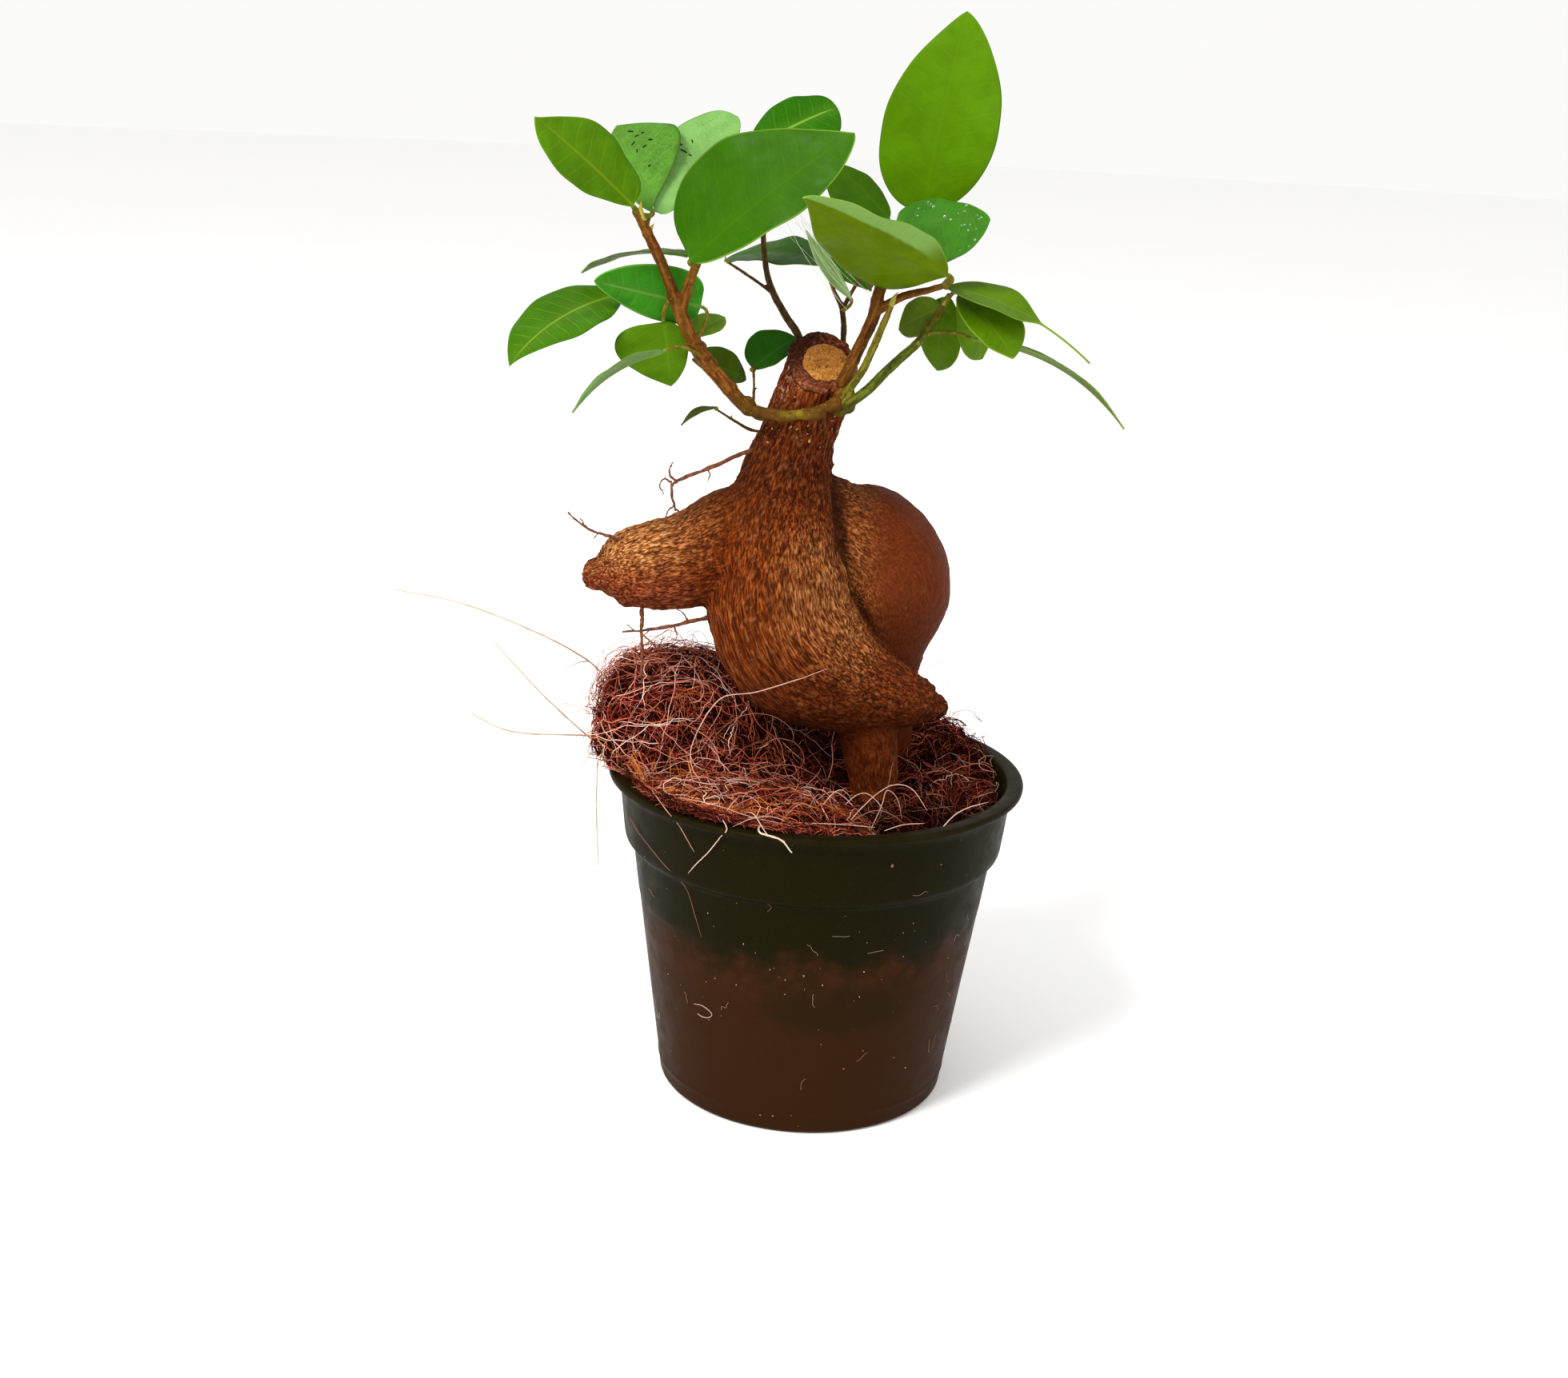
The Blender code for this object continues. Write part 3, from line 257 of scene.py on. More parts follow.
# ================================================================ meshes
def piece(name, verts, quads=None, tris=None, mats=(), attrs=None, face_mat=None, smooth=True):
    """A mesh object from millimetre arrays, linked into the scene."""
    me = bpy.data.meshes.new(name)
    quads = np.zeros((0, 4), int) if quads is None else np.asarray(quads, int).reshape(-1, 4)
    tris = np.zeros((0, 3), int) if tris is None else np.asarray(tris, int).reshape(-1, 3)
    me.vertices.add(len(verts))
    me.vertices.foreach_set("co", (np.asarray(verts, float) * MM).astype(np.float32).ravel())
    loops = np.concatenate([quads.ravel(), tris.ravel()]).astype(np.int32)
    me.loops.add(len(loops))
    me.loops.foreach_set("vertex_index", loops)
    starts = np.concatenate([np.arange(len(quads)) * 4,
                             len(quads) * 4 + np.arange(len(tris)) * 3]).astype(np.int32)
    me.polygons.add(len(starts))
    me.polygons.foreach_set("loop_start", starts)
    me.update(calc_edges=True)
    for key, values in (attrs or {}).items():
        layer = me.attributes.new(key, 'FLOAT', 'POINT')
        layer.data.foreach_set("value", np.asarray(values, np.float32))
    for m in mats:
        me.materials.append(m)
    if face_mat is not None:
        me.polygons.foreach_set("material_index", np.asarray(face_mat, np.int32))
    me.polygons.foreach_set("use_smooth", np.full(len(starts), smooth))
    me.validate()
    ob = bpy.data.objects.new(name, me)
    bpy.context.scene.collection.objects.link(ob)
    return ob


def place(ob, slot, *nodes):
    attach(ob, BODY_NAME)
    if nodes:
        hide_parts(*nodes)
    return ob


def coords(me):
    co = np.zeros(len(me.vertices) * 3, np.float32)
    me.vertices.foreach_get("co", co)
    return co.reshape(-1, 3).astype(float) / MM


def normals(me):
    n = np.zeros(len(me.vertices) * 3, np.float32)
    me.vertex_normals.foreach_get("vector", n)
    return n.reshape(-1, 3).astype(float)


def tubes(centres, radii, sides, hint=None):
    """Closed tubes. centres (n, k, 3), radii (n, k). Returns verts, quads, tris, owner of each vertex."""
    centres, radii = np.asarray(centres, float), np.asarray(radii, float)
    n, k, _ = centres.shape
    tan = unit(np.gradient(centres, axis=1))
    if hint is None:
        side = np.zeros_like(tan)
        first = np.cross(tan[:, 0], np.array([.31, .87, .38]))
        side[:, 0] = unit(first)
        for j in range(1, k):
            s = side[:, j - 1]
            side[:, j] = unit(s - tan[:, j] * (s * tan[:, j]).sum(-1, keepdims=True))
    else:
        side = unit(np.cross(tan, hint))
    up = np.cross(tan, side)
    ang = 2 * np.pi * np.arange(sides) / sides
    ring = (side[:, :, None, :] * np.cos(ang)[None, None, :, None]
            + up[:, :, None, :] * np.sin(ang)[None, None, :, None])
    verts = centres[:, :, None, :] + ring * radii[:, :, None, None]
    base = (np.arange(n) * k * sides)[:, None, None]
    row = (np.arange(k - 1) * sides)[None, :, None]
    a = np.arange(sides)[None, None, :]
    b = (np.arange(sides) + 1) % sides
    b = b[None, None, :]
    quads = np.stack([base + row + a, base + row + b, base + row + sides + b,
                      base + row + sides + a], -1).reshape(-1, 4)
    fan = np.array([[0, i + 1, i] for i in range(1, sides - 1)])
    back = np.array([[0, i, i + 1] for i in range(1, sides - 1)])
    start = (np.arange(n) * k * sides)[:, None, None]
    tris = np.concatenate([(start + fan[None]).reshape(-1, 3),
                           (start + (k - 1) * sides + back[None]).reshape(-1, 3)])
    owner = np.repeat(np.arange(n), k * sides)
    return verts.reshape(-1, 3), quads, tris, owner


def merge(parts):
    """Join (verts, quads, tris, {attr: values}) groups."""
    vs, qs, ts, at, base = [], [], [], {}, 0
    for v, q, t, a in parts:
        vs.append(v); qs.append(np.asarray(q, int).reshape(-1, 4) + base)
        ts.append(np.asarray(t, int).reshape(-1, 3) + base)
        for key, val in a.items():
            at.setdefault(key, []).append(np.broadcast_to(val, (len(v),)))
        base += len(v)
    return (np.concatenate(vs), np.concatenate(qs), np.concatenate(ts),
            {key: np.concatenate(val) for key, val in at.items()})


def remeshed(name, limbs, sides, voxel, relax, per_span=6, lumps=()):
    """Tubes with domed ends and ball lumps fused into one skin by a voxel remesh."""
    bm = bmesh.new()
    for limb in limbs:
        path = smooth_path(limb, per_span)
        c, r = path[:, :3], np.maximum(path[:, 3], .05)
        tan = unit(np.gradient(c, axis=0))
        s = unit(np.cross(tan[0], np.array([.31, .87, .38])))
        rows = []
        frames = []
        for t in tan:
            s = unit(s - t * (s @ t))
            frames.append((s, np.cross(t, s)))
        for deg in (80, 55, 28):
            a = math.radians(deg)
            rows.append((c[0] - tan[0] * r[0] * math.sin(a), frames[0], r[0] * math.cos(a)))
        rows += [(c[i], frames[i], r[i]) for i in range(len(c))]
        for deg in (28, 55, 80):
            a = math.radians(deg)
            rows.append((c[-1] + tan[-1] * r[-1] * math.sin(a), frames[-1], r[-1] * math.cos(a)))
        rings = []
        for centre, (x, y), rad in rows:
            rings.append([bm.verts.new(Vector(centre + (x * math.cos(2 * math.pi * k / sides)
                          + y * math.sin(2 * math.pi * k / sides)) * rad) * MM) for k in range(sides)])
        for a, b in zip(rings, rings[1:]):
            for i in range(sides):
                j = (i + 1) % sides
                bm.faces.new((a[i], a[j], b[j], b[i]))
        bm.faces.new(rings[0][::-1])
        bm.faces.new(rings[-1])
    for x, y, z, sx, sy, sz in lumps:
        m = Matrix.Translation(Vector((x, y, z)) * MM) @ Matrix.Diagonal((sx * MM, sy * MM, sz * MM, 1))
        bmesh.ops.create_icosphere(bm, subdivisions=3, radius=1.0, matrix=m)
    bmesh.ops.recalc_face_normals(bm, faces=bm.faces)
    me = bpy.data.meshes.new(name)
    bm.to_mesh(me)
    bm.free()
    ob = bpy.data.objects.new(name + "_raw", me)
    bpy.context.scene.collection.objects.link(ob)
    mod = ob.modifiers.new("fuse", 'REMESH')
    mod.mode = 'VOXEL'
    mod.voxel_size = voxel * MM
    sm = ob.modifiers.new("relax", 'SMOOTH')
    sm.factor = .5
    sm.iterations = relax
    dg = bpy.context.evaluated_depsgraph_get()
    out = bpy.data.meshes.new_from_object(ob.evaluated_get(dg))
    out.name = name
    bpy.data.objects.remove(ob, do_unlink=True)
    bpy.data.meshes.remove(me)
    return out


def flow(co, limbs, power=9):
    """Grain direction at each point, and each limb's share of it."""
    n = len(co)
    total = np.zeros((n, 3))
    shares = []
    for limb in limbs:
        path = smooth_path(limb, 3)
        tan = unit(np.gradient(path[:, :3], axis=0))
        w_limb = np.zeros(n)
        for q, t in zip(path, tan):
            d = np.linalg.norm(co - q[:3], axis=1) / max(q[3], .3)
            w = 1.0 / np.maximum(d, .25) ** power
            total += w[:, None] * t
            w_limb += w
        shares.append(w_limb)
    shares = np.array(shares)
    return unit(total), shares / shares.sum(0)


def streaks(co, direction, cell, reach, steps, seed):
    """Noise drawn out along a direction, as grain or wrinkles."""
    acc = vnoise(co / cell, seed)
    for s in (1, -1):
        for k in range(1, steps + 1):
            acc = acc + vnoise((co + direction * (s * reach * k / steps)) / cell, seed)
    return acc / (2 * steps + 1)


# ================================================================ materials
class Look:
    """A Principled material and short calls for its nodes."""

    def __init__(self, name, rough=.6, specular=.3, **sockets):
        self.mat = bpy.data.materials.new(name)
        self.mat.use_nodes = True
        self.nt = self.mat.node_tree
        self.bsdf = self.nt.nodes["Principled BSDF"]
        self.bsdf.inputs["Roughness"].default_value = rough
        self.bsdf.inputs["Specular IOR Level"].default_value = specular
        for key, value in sockets.items():
            self.bsdf.inputs[key.replace("_", " ")].default_value = value
        self.pos = self.nt.nodes.new("ShaderNodeTexCoord").outputs["Object"]

    def put(self, socket, value):
        if isinstance(value, bpy.types.NodeSocket):
            self.nt.links.new(value, socket)
        elif isinstance(value, (tuple, list)) and len(value) == 3 and socket.type == 'RGBA':
            socket.default_value = (*value, 1.0)
        else:
            socket.default_value = value

    def attr(self, name):
        n = self.nt.nodes.new("ShaderNodeAttribute")
        n.attribute_name = name
        return n.outputs["Fac"]

    def stretched(self, scale):
        n = self.nt.nodes.new("ShaderNodeMapping")
        self.nt.links.new(self.pos, n.inputs["Vector"])
        n.inputs["Scale"].default_value = scale
        return n.outputs["Vector"]

    def noise(self, size, detail=3, rough=.55, warp=0.0, vector=None, offset=0.0):
        """size is the feature size in mm."""
        n = self.nt.nodes.new("ShaderNodeTexNoise")
        if offset:
            n.noise_dimensions = '4D'
            n.inputs["W"].default_value = offset
        self.nt.links.new(vector or self.pos, n.inputs["Vector"])
        n.inputs["Scale"].default_value = 1 / (size * MM)
        n.inputs["Detail"].default_value = detail
        n.inputs["Roughness"].default_value = rough
        n.inputs["Distortion"].default_value = warp
        return n.outputs["Fac"]

    def grain(self, name, size, stretch, detail=2, rough=.5, warp=0.0):
        """Noise drawn out along the third number of a straightened-limb attribute."""
        a = self.nt.nodes.new("ShaderNodeAttribute")
        a.attribute_name = name
        m = self.nt.nodes.new("ShaderNodeMapping")
        self.nt.links.new(a.outputs["Vector"], m.inputs["Vector"])
        m.inputs["Scale"].default_value = (1.0, 1.0, 1.0 / stretch)
        n = self.nt.nodes.new("ShaderNodeTexNoise")
        self.nt.links.new(m.outputs["Vector"], n.inputs["Vector"])
        n.inputs["Scale"].default_value = 1 / size
        n.inputs["Detail"].default_value = detail
        n.inputs["Roughness"].default_value = rough
        n.inputs["Distortion"].default_value = warp
        return n.outputs["Fac"]

    def blend(self, fac, a, b):
        n = self.nt.nodes.new("ShaderNodeMix")
        n.data_type = 'FLOAT'
        self.put(n.inputs[0], fac)
        self.put(n.inputs[2], a)
        self.put(n.inputs[3], b)
        return n.outputs[0]

    def cells(self, size, feature='F1', randomness=1.0, vector=None):
        n = self.nt.nodes.new("ShaderNodeTexVoronoi")
        n.feature = feature
        self.nt.links.new(vector or self.pos, n.inputs["Vector"])
        n.inputs["Scale"].default_value = 1 / (size * MM)
        n.inputs["Randomness"].default_value = randomness
        return n.outputs["Distance"]

    def axis(self, which):
        n = self.nt.nodes.new("ShaderNodeSeparateXYZ")
        self.nt.links.new(self.pos, n.inputs[0])
        return n.outputs[which]

    def math(self, op, a, b=0.0, c=0.0, clamp=False):
        n = self.nt.nodes.new("ShaderNodeMath")
        n.operation = op
        n.use_clamp = clamp
        self.put(n.inputs[0], a)
        self.put(n.inputs[1], b)
        if len(n.inputs) > 2:
            self.put(n.inputs[2], c)
        return n.outputs[0]

    def span(self, value, lo, hi, out_lo=0.0, out_hi=1.0, soft=True):
        n = self.nt.nodes.new("ShaderNodeMapRange")
        n.interpolation_type = 'SMOOTHSTEP' if soft else 'LINEAR'
        self.put(n.inputs["Value"], value)
        n.inputs["From Min"].default_value = lo
        n.inputs["From Max"].default_value = hi
        n.inputs["To Min"].default_value = out_lo
        n.inputs["To Max"].default_value = out_hi
        return n.outputs["Result"]

    def ramp(self, fac, *stops):
        n = self.nt.nodes.new("ShaderNodeValToRGB")
        el = n.color_ramp.elements
        while len(el) < len(stops):
            el.new(.5)
        for e, (at, colour) in zip(el, stops):
            e.position = at
            e.color = (*colour, 1.0)
        self.put(n.inputs["Fac"], fac)
        return n.outputs["Color"]

    def mix(self, fac, a, b, how='MIX'):
        n = self.nt.nodes.new("ShaderNodeMix")
        n.data_type = 'RGBA'
        n.blend_type = how
        self.put(n.inputs[0], fac)
        self.put(n.inputs[6], a)
        self.put(n.inputs[7], b)
        return n.outputs[2]

    def times(self, colour, fac):
        """Brighten or darken a colour by a number socket."""
        n = self.nt.nodes.new("ShaderNodeVectorMath")
        n.operation = 'SCALE'
        self.put(n.inputs[0], colour)
        self.put(n.inputs["Scale"], fac)
        return n.outputs[0]

    def base(self, colour):
        self.put(self.bsdf.inputs["Base Color"], colour)

    def rough(self, value):
        self.put(self.bsdf.inputs["Roughness"], value)

    def bump(self, height, strength=.5, depth=.1):
        """depth is in mm."""
        n = self.nt.nodes.new("ShaderNodeBump")
        n.inputs["Strength"].default_value = strength
        n.inputs["Distance"].default_value = depth * MM
        self.put(n.inputs["Height"], height)
        self.nt.links.new(n.outputs["Normal"], self.bsdf.inputs["Normal"])


# ================================================================ camera and light
def studio():
    scene = bpy.context.scene
    yaw, pitch, roll, f = -.0187, .2952, .0497, 2512.63
    cy, sy, cp, sp = math.cos(yaw), math.sin(yaw), math.cos(pitch), math.sin(pitch)
    ahead = Vector((sy * cp, cy * cp, -sp))
    r0 = Vector((cy, -sy, 0))
    u0 = r0.cross(ahead)
    right = r0 * math.cos(roll) + u0 * math.sin(roll)
    up = u0 * math.cos(roll) - r0 * math.sin(roll)
    cam_data = bpy.data.cameras.new("camera")
    cam = bpy.data.objects.new("camera", cam_data)
    scene.collection.objects.link(cam)
    cam.matrix_world = Matrix(((right.x, up.x, -ahead.x, 0.0),
                               (right.y, up.y, -ahead.y, -.300),
                               (right.z, up.z, -ahead.z, .1559254),
                               (0, 0, 0, 1)))
    cam_data.sensor_fit = 'HORIZONTAL'
    cam_data.sensor_width = 36.0
    cam_data.lens = f / 1960 * 36.0
    cam_data.clip_start, cam_data.clip_end = .01, 20.0
    scene.camera = cam

    world = bpy.data.worlds.new("studio")
    scene.world = world
    world.use_nodes = True
    back = world.node_tree.nodes["Background"]
    back.inputs["Color"].default_value = (1.0, .995, .985, 1)
    back.inputs["Strength"].default_value = .97
    scene.view_settings.view_transform = 'Standard'

    def lamp(name, at, size, power, colour=(1, 1, 1)):
        data = bpy.data.lights.new(name, 'AREA')
        data.shape = 'DISK'
        data.size = size
        data.energy = power
        data.color = colour
        ob = bpy.data.objects.new(name, data)
        scene.collection.objects.link(ob)
        ob.location = at
        ob.rotation_mode = 'QUATERNION'
        ob.rotation_quaternion = (Vector((0, 0, .08)) - Vector(at)).to_track_quat("-Z", "Y")

    lamp("key", (-.50, -.60, .80), .34, 11.0, (1.0, .97, .92))
    lamp("fill", (.80, -.50, .45), .60, 2.0, (1.0, .98, .95))

    me = bpy.data.meshes.new("floor")
    bm = bmesh.new()
    bmesh.ops.create_circle(bm, cap_ends=True, segments=96, radius=4.0)
    bm.to_mesh(me)
    bm.free()
    floor = bpy.data.objects.new("floor", me)
    scene.collection.objects.link(floor)
    paint = Look("floor_paint", .9, .05)
    paint.base(paint.ramp(paint.noise(60, 2), (0, (.955, .955, .95)), (1, (.97, .97, .965))))
    me.materials.append(paint.mat)


# ================================================================ pot
def pot_outer(z):
    """Outside radius of the wall at height z, with the moulded steps rounded."""
    if z < 1.0:
        return BASE_RADIUS - 1.0 + math.sqrt(max(0, 1 - (1 - z) ** 2))
    r = BASE_RADIUS + (BODY_TOP_RADIUS - BASE_RADIUS) * (z - 1.0) / (BODY_TOP_Z - 1.0)
    r += .10 / (1 + math.exp(-(z - 31.2) / .22))              # faint moulded step under the band
    r += .10 * math.exp(-((z - 3.2) / .35) ** 2)              # thin ring near the foot
    band = BAND_FOOT_RADIUS + (BAND_TOP_RADIUS - BAND_FOOT_RADIUS) * (z - BAND_FOOT_Z) / \
        (POT_HEIGHT - LIP_THICK - .6 - BAND_FOOT_Z)
    s = 1 / (1 + math.exp(-(z - (BODY_TOP_Z + 1.2)) / .24))
    return r * (1 - s) + band * s


def build_pot():
    prof = [(0.0, .35), (6, .35), (BASE_RADIUS - 4.2, .35), (BASE_RADIUS - 3.6, .12),
            (BASE_RADIUS - 3.2, 0.0), (BASE_RADIUS - 1.6, 0.0)]
    for z in (0.02, .12, .3, .55, .8, 1.0, 1.6, 2.2, 2.7, 3.0, 3.2, 3.4, 3.8, 4.6):
        prof.append((pot_outer(z), z))
    prof += [(pot_outer(z), z) for z in np.arange(6.4, 30.1, 2.4)]
    prof += [(pot_outer(z), z) for z in (30.4, 30.8, 31.0, 31.2, 31.4, 31.7, 32.2, 33.4, 34.8, 35.8,
                                         37.4, 38.6, 39.3, 39.6, 39.9, 40.15, 40.4, 40.65, 40.9, 41.2,
                                         41.7, 42.4, 44.6, 46.8, 48.6, 49.4)]
    lip_z = POT_HEIGHT - LIP_THICK
    prof += [(BAND_TOP_RADIUS + .12, lip_z - .35), (BAND_TOP_RADIUS + .45, lip_z - .12),
             (RIM_RADIUS - .75, lip_z), (RIM_RADIUS - .24, lip_z + .08), (RIM_RADIUS - .05, lip_z + .26),
             (RIM_RADIUS, lip_z + .48), (RIM_RADIUS, lip_z + .74), (RIM_RADIUS - .08, lip_z + .96),
             (RIM_RADIUS - .26, lip_z + 1.12), (RIM_RADIUS - .52, POT_HEIGHT - .02),
             (RIM_RADIUS - .9, POT_HEIGHT), (RIM_RADIUS - 1.7, POT_HEIGHT - .06)]
    inner = BAND_TOP_RADIUS - WALL
    prof += [(inner + .42, POT_HEIGHT - .12), (inner + .14, POT_HEIGHT - .36), (inner, POT_HEIGHT - .8)]
    for z in (50.0, 47.5, 45, 43.5, 42.2, 41.4, 40.9):
        prof.append((BAND_FOOT_RADIUS - WALL + (BAND_TOP_RADIUS - BAND_FOOT_RADIUS) * (z - BAND_FOOT_Z) / 10.5, z))
    prof += [(BODY_TOP_RADIUS - WALL + .8, 40.4), (BODY_TOP_RADIUS - WALL + .1, 39.2)]
    for z in (34, 28, 20, 12, 5, 2.0):
        prof.append((BASE_RADIUS - WALL + (BODY_TOP_RADIUS - BASE_RADIUS) * (z - 1) / 38.2, z))
    prof += [(BASE_RADIUS - WALL - .8, FLOOR), (10, FLOOR), (0, FLOOR)]
    prof = np.array(prof, float)
    n = 176
    th = 2 * np.pi * np.arange(n) / n
    rows = len(prof)
    ring = np.zeros((rows - 2, n, 3))
    for i in range(1, rows - 1):
        r, z = prof[i]
        grow = (z / POT_HEIGHT)
        wob = (.16 * grow * np.cos(2 * th + .7) + .07 * grow * np.cos(3 * th - 1.1)
               + .10 * (vnoise(np.stack([np.cos(th) * 4, np.sin(th) * 4, np.full(n, z / 9.0)], 1), 5) - .5)
               * (1 if 4 < z < 50 else .3))
        rr = r + (wob if r > 12 else 0)
        zz = z + (.10 * np.cos(th * 2 + 2.0) * grow if z > 45 else 0)
        ring[i - 1] = np.stack([rr * np.cos(th), rr * np.sin(th), np.broadcast_to(zz, (n,))], 1)
    verts = np.concatenate([[[0, 0, prof[0][1]]], ring.reshape(-1, 3), [[0, 0, prof[-1][1]]]])
    a = np.arange(n)
    b = (a + 1) % n
    quads = []
    for i in range(rows - 3):
        o = 1 + i * n
        quads.append(np.stack([o + a, o + b, o + n + b, o + n + a], 1))
    tris = [np.stack([np.zeros(n, int), 1 + b, 1 + a], 1),
            np.stack([np.full(n, len(verts) - 1), 1 + (rows - 3) * n + a, 1 + (rows - 3) * n + b], 1)]
    look = Look("pot_plastic", .42, .024)
    x, z = look.axis(0), look.axis(2)
    cloud = look.noise(7, 4, .6, .4)
    edge = look.math('ADD', z, look.math('MULTIPLY', look.math('SUBTRACT', cloud, .5), .010))
    lower = look.span(edge, .0330, .0240)
    tint = look.mix(lower, (.0070, .0056, .0007), (.0250, .0084, .0019))
    # reddish bloom along the line where damp coir stands against the wall
    line = look.math('MULTIPLY', look.span(edge, .0225, .0262), look.span(edge, .0325, .0280))
    speck = look.span(look.noise(3.0, 4, .6), .36, .70)
    tint = look.mix(look.math('MULTIPLY', look.math('MULTIPLY', line, speck), .58), tint, (.046, .0125, .0042))
    # a darker damp patch under it, towards the right of the front
    dx = look.math('DIVIDE', look.math('SUBTRACT', x, .0055), .0095)
    dz = look.math('DIVIDE', look.math('SUBTRACT', z, .0228), .0042)
    far = look.math('ADD', look.math('MULTIPLY', dx, dx), look.math('MULTIPLY', dz, dz))
    far = look.math('ADD', far, look.math('MULTIPLY', look.math('SUBTRACT', look.noise(5, 3), .5), 1.6))
    tint = look.mix(look.math('MULTIPLY', look.span(far, 2.2, .3), .50), tint, (.0070, .0062, .0009))
    film = look.span(look.noise(.55, 5, .7), .54, .82)
    tint = look.mix(look.math('MULTIPLY', film, .22), tint, (.040, .024, .014))
    lip = look.math('MULTIPLY', look.span(z, .0508, .0516), look.span(look.noise(5, 3), .25, .75))
    tint = look.mix(look.math('MULTIPLY', lip, .30), tint, (.022, .014, .004))
    # fine upright rub marks
    rub = look.span(look.noise(1.0, 2, .5, vector=look.stretched((7.0, 7.0, .45))), .66, .80)
    tint = look.mix(look.math('MULTIPLY', rub, .12), tint, (.045, .030, .018))
    look.base(tint)
    look.rough(look.span(look.noise(3.5, 4, .6), .25, .75, .32, .50))
    look.bump(look.math('ADD', look.noise(.28, 3, .6), look.math('MULTIPLY', look.noise(4.0, 2), 2.0)), .18, .05)
    ob = piece("nursery_pot_shell", verts, np.concatenate(quads), np.concatenate(tris), [look.mat])
    # drain holes
    bm = bmesh.new()
    for k in range(DRAIN_HOLES):
        ang = 2 * math.pi * (k + .5) / DRAIN_HOLES
        bmesh.ops.create_cone(bm, cap_ends=True, segments=28, radius1=DRAIN_RADIUS * MM, radius2=DRAIN_RADIUS * MM,
                              depth=.006, matrix=Matrix.Translation((DRAIN_CIRCLE * math.cos(ang) * MM,
                                                                     DRAIN_CIRCLE * math.sin(ang) * MM, .0008)))
    cut_me = bpy.data.meshes.new("drains")
    bm.to_mesh(cut_me)
    bm.free()
    cutter = bpy.data.objects.new("drains", cut_me)
    bpy.context.scene.collection.objects.link(cutter)
    mod = ob.modifiers.new("drains", 'BOOLEAN')
    mod.operation = 'DIFFERENCE'
    mod.object = cutter
    dg = bpy.context.evaluated_depsgraph_get()
    cut = bpy.data.meshes.new_from_object(ob.evaluated_get(dg))
    ob.modifiers.clear()
    ob.data = cut
    bpy.data.objects.remove(cutter, do_unlink=True)
    cut.set_sharp_from_angle(angle=math.radians(50))
    place(ob, "pot_plastic", "nursery_pot")
    build_dust()


def on_pot(deg, z, off=.08):
    a = math.radians(deg)
    r = (RIM_RADIUS if z > POT_HEIGHT - LIP_THICK else pot_outer(z)) + off
    return np.array([r * math.cos(a), r * math.sin(a), z])


def build_dust():
    """Grains of dust, coir crumbs and short hairs clinging to the wall."""
    rng = random.Random(41)
    spots = [(-67.1, 47.3, .24), (-90.1, 28.5, .20), (-70.7, 29.1, .16), (-122, 36.4, .12), (-47.3, 9.8, .14),
             (-109.7, 32.7, .10), (-96, 27.6, .14), (-84, 27.0, .12), (-101, 29.0, .10), (-99, 3.0, .16),
             (-92, 3.4, .13), (-104, 2.8, .12), (-74, 12.0, .12)]
    for _ in range(150):
        spots.append((rng.uniform(0, 360), min(49.5, max(1.5, rng.gauss(27, 11))), rng.uniform(.05, .12)))
    parts = []
    ico = bmesh.new()
    bmesh.ops.create_icosphere(ico, subdivisions=1, radius=1.0)
    ico.verts.ensure_lookup_table()
    unit_v = np.array([v.co for v in ico.verts])
    unit_t = np.array([[v.index for v in f.verts] for f in ico.faces])
    ico.free()
    for deg, z, r in spots:
        c = on_pot(deg, z, r * .3)
        jig = np.array([[rng.uniform(.6, 1.3)] * 3 for _ in unit_v])
        v = c + unit_v * jig * np.array([r, r, r * rng.uniform(.6, 1.4)])
        parts.append((v, np.zeros((0, 4)), unit_t, {"tone": rng.random()}))
    hairs = [[(-130.4, 19.4), (-127, 19.7), (-124.2, 19.4), (-122.5, 18.8), (-124, 18.0), (-126.9, 17.7), (-129.1, 17.9)]]
    for _ in range(26):
        d, z0 = rng.uniform(-180, 0), rng.uniform(6, 44)
        t = rng.uniform(0, 6.28)
        run = []
        for k in range(5):
            run.append((d, z0))
            t += rng.gauss(0, .5)
            d += math.cos(t) * rng.uniform(.8, 1.8)
            z0 += math.sin(t) * rng.uniform(.3, .9)
        hairs.append(run)
    for i, run in enumerate(hairs):
        pts = smooth_path([tuple(on_pot(d, z, .10)) for d, z in run], 4)
        rad = np.full(len(pts), .075 if i == 0 else .032)
        v, q, t, _ = tubes(pts[None], rad[None], 4)
        parts.append((v, q, t, {"tone": .9 if i == 0 else rng.uniform(.3, .9)}))
    v, q, t, a = merge(parts)
    look = Look("dust", .9, .1)
    look.base(look.mix(look.noise(.2, 2), look.ramp(look.attr("tone"), (0, (.10, .035, .016)), (.55, (.30, .16, .10)),
                                                    (1, (.62, .47, .40))), (.22, .12, .08)))
    place(piece("pot_dust", v, q, t, [look.mat], a), "coir")


# ================================================================ trunk
LIMBS = (NECK, BODY, LOBE, BULB, LEG, SHOULDER)
GRAIN_PATHS = (NECK + BODY[1:], LOBE, BULB, LEG)


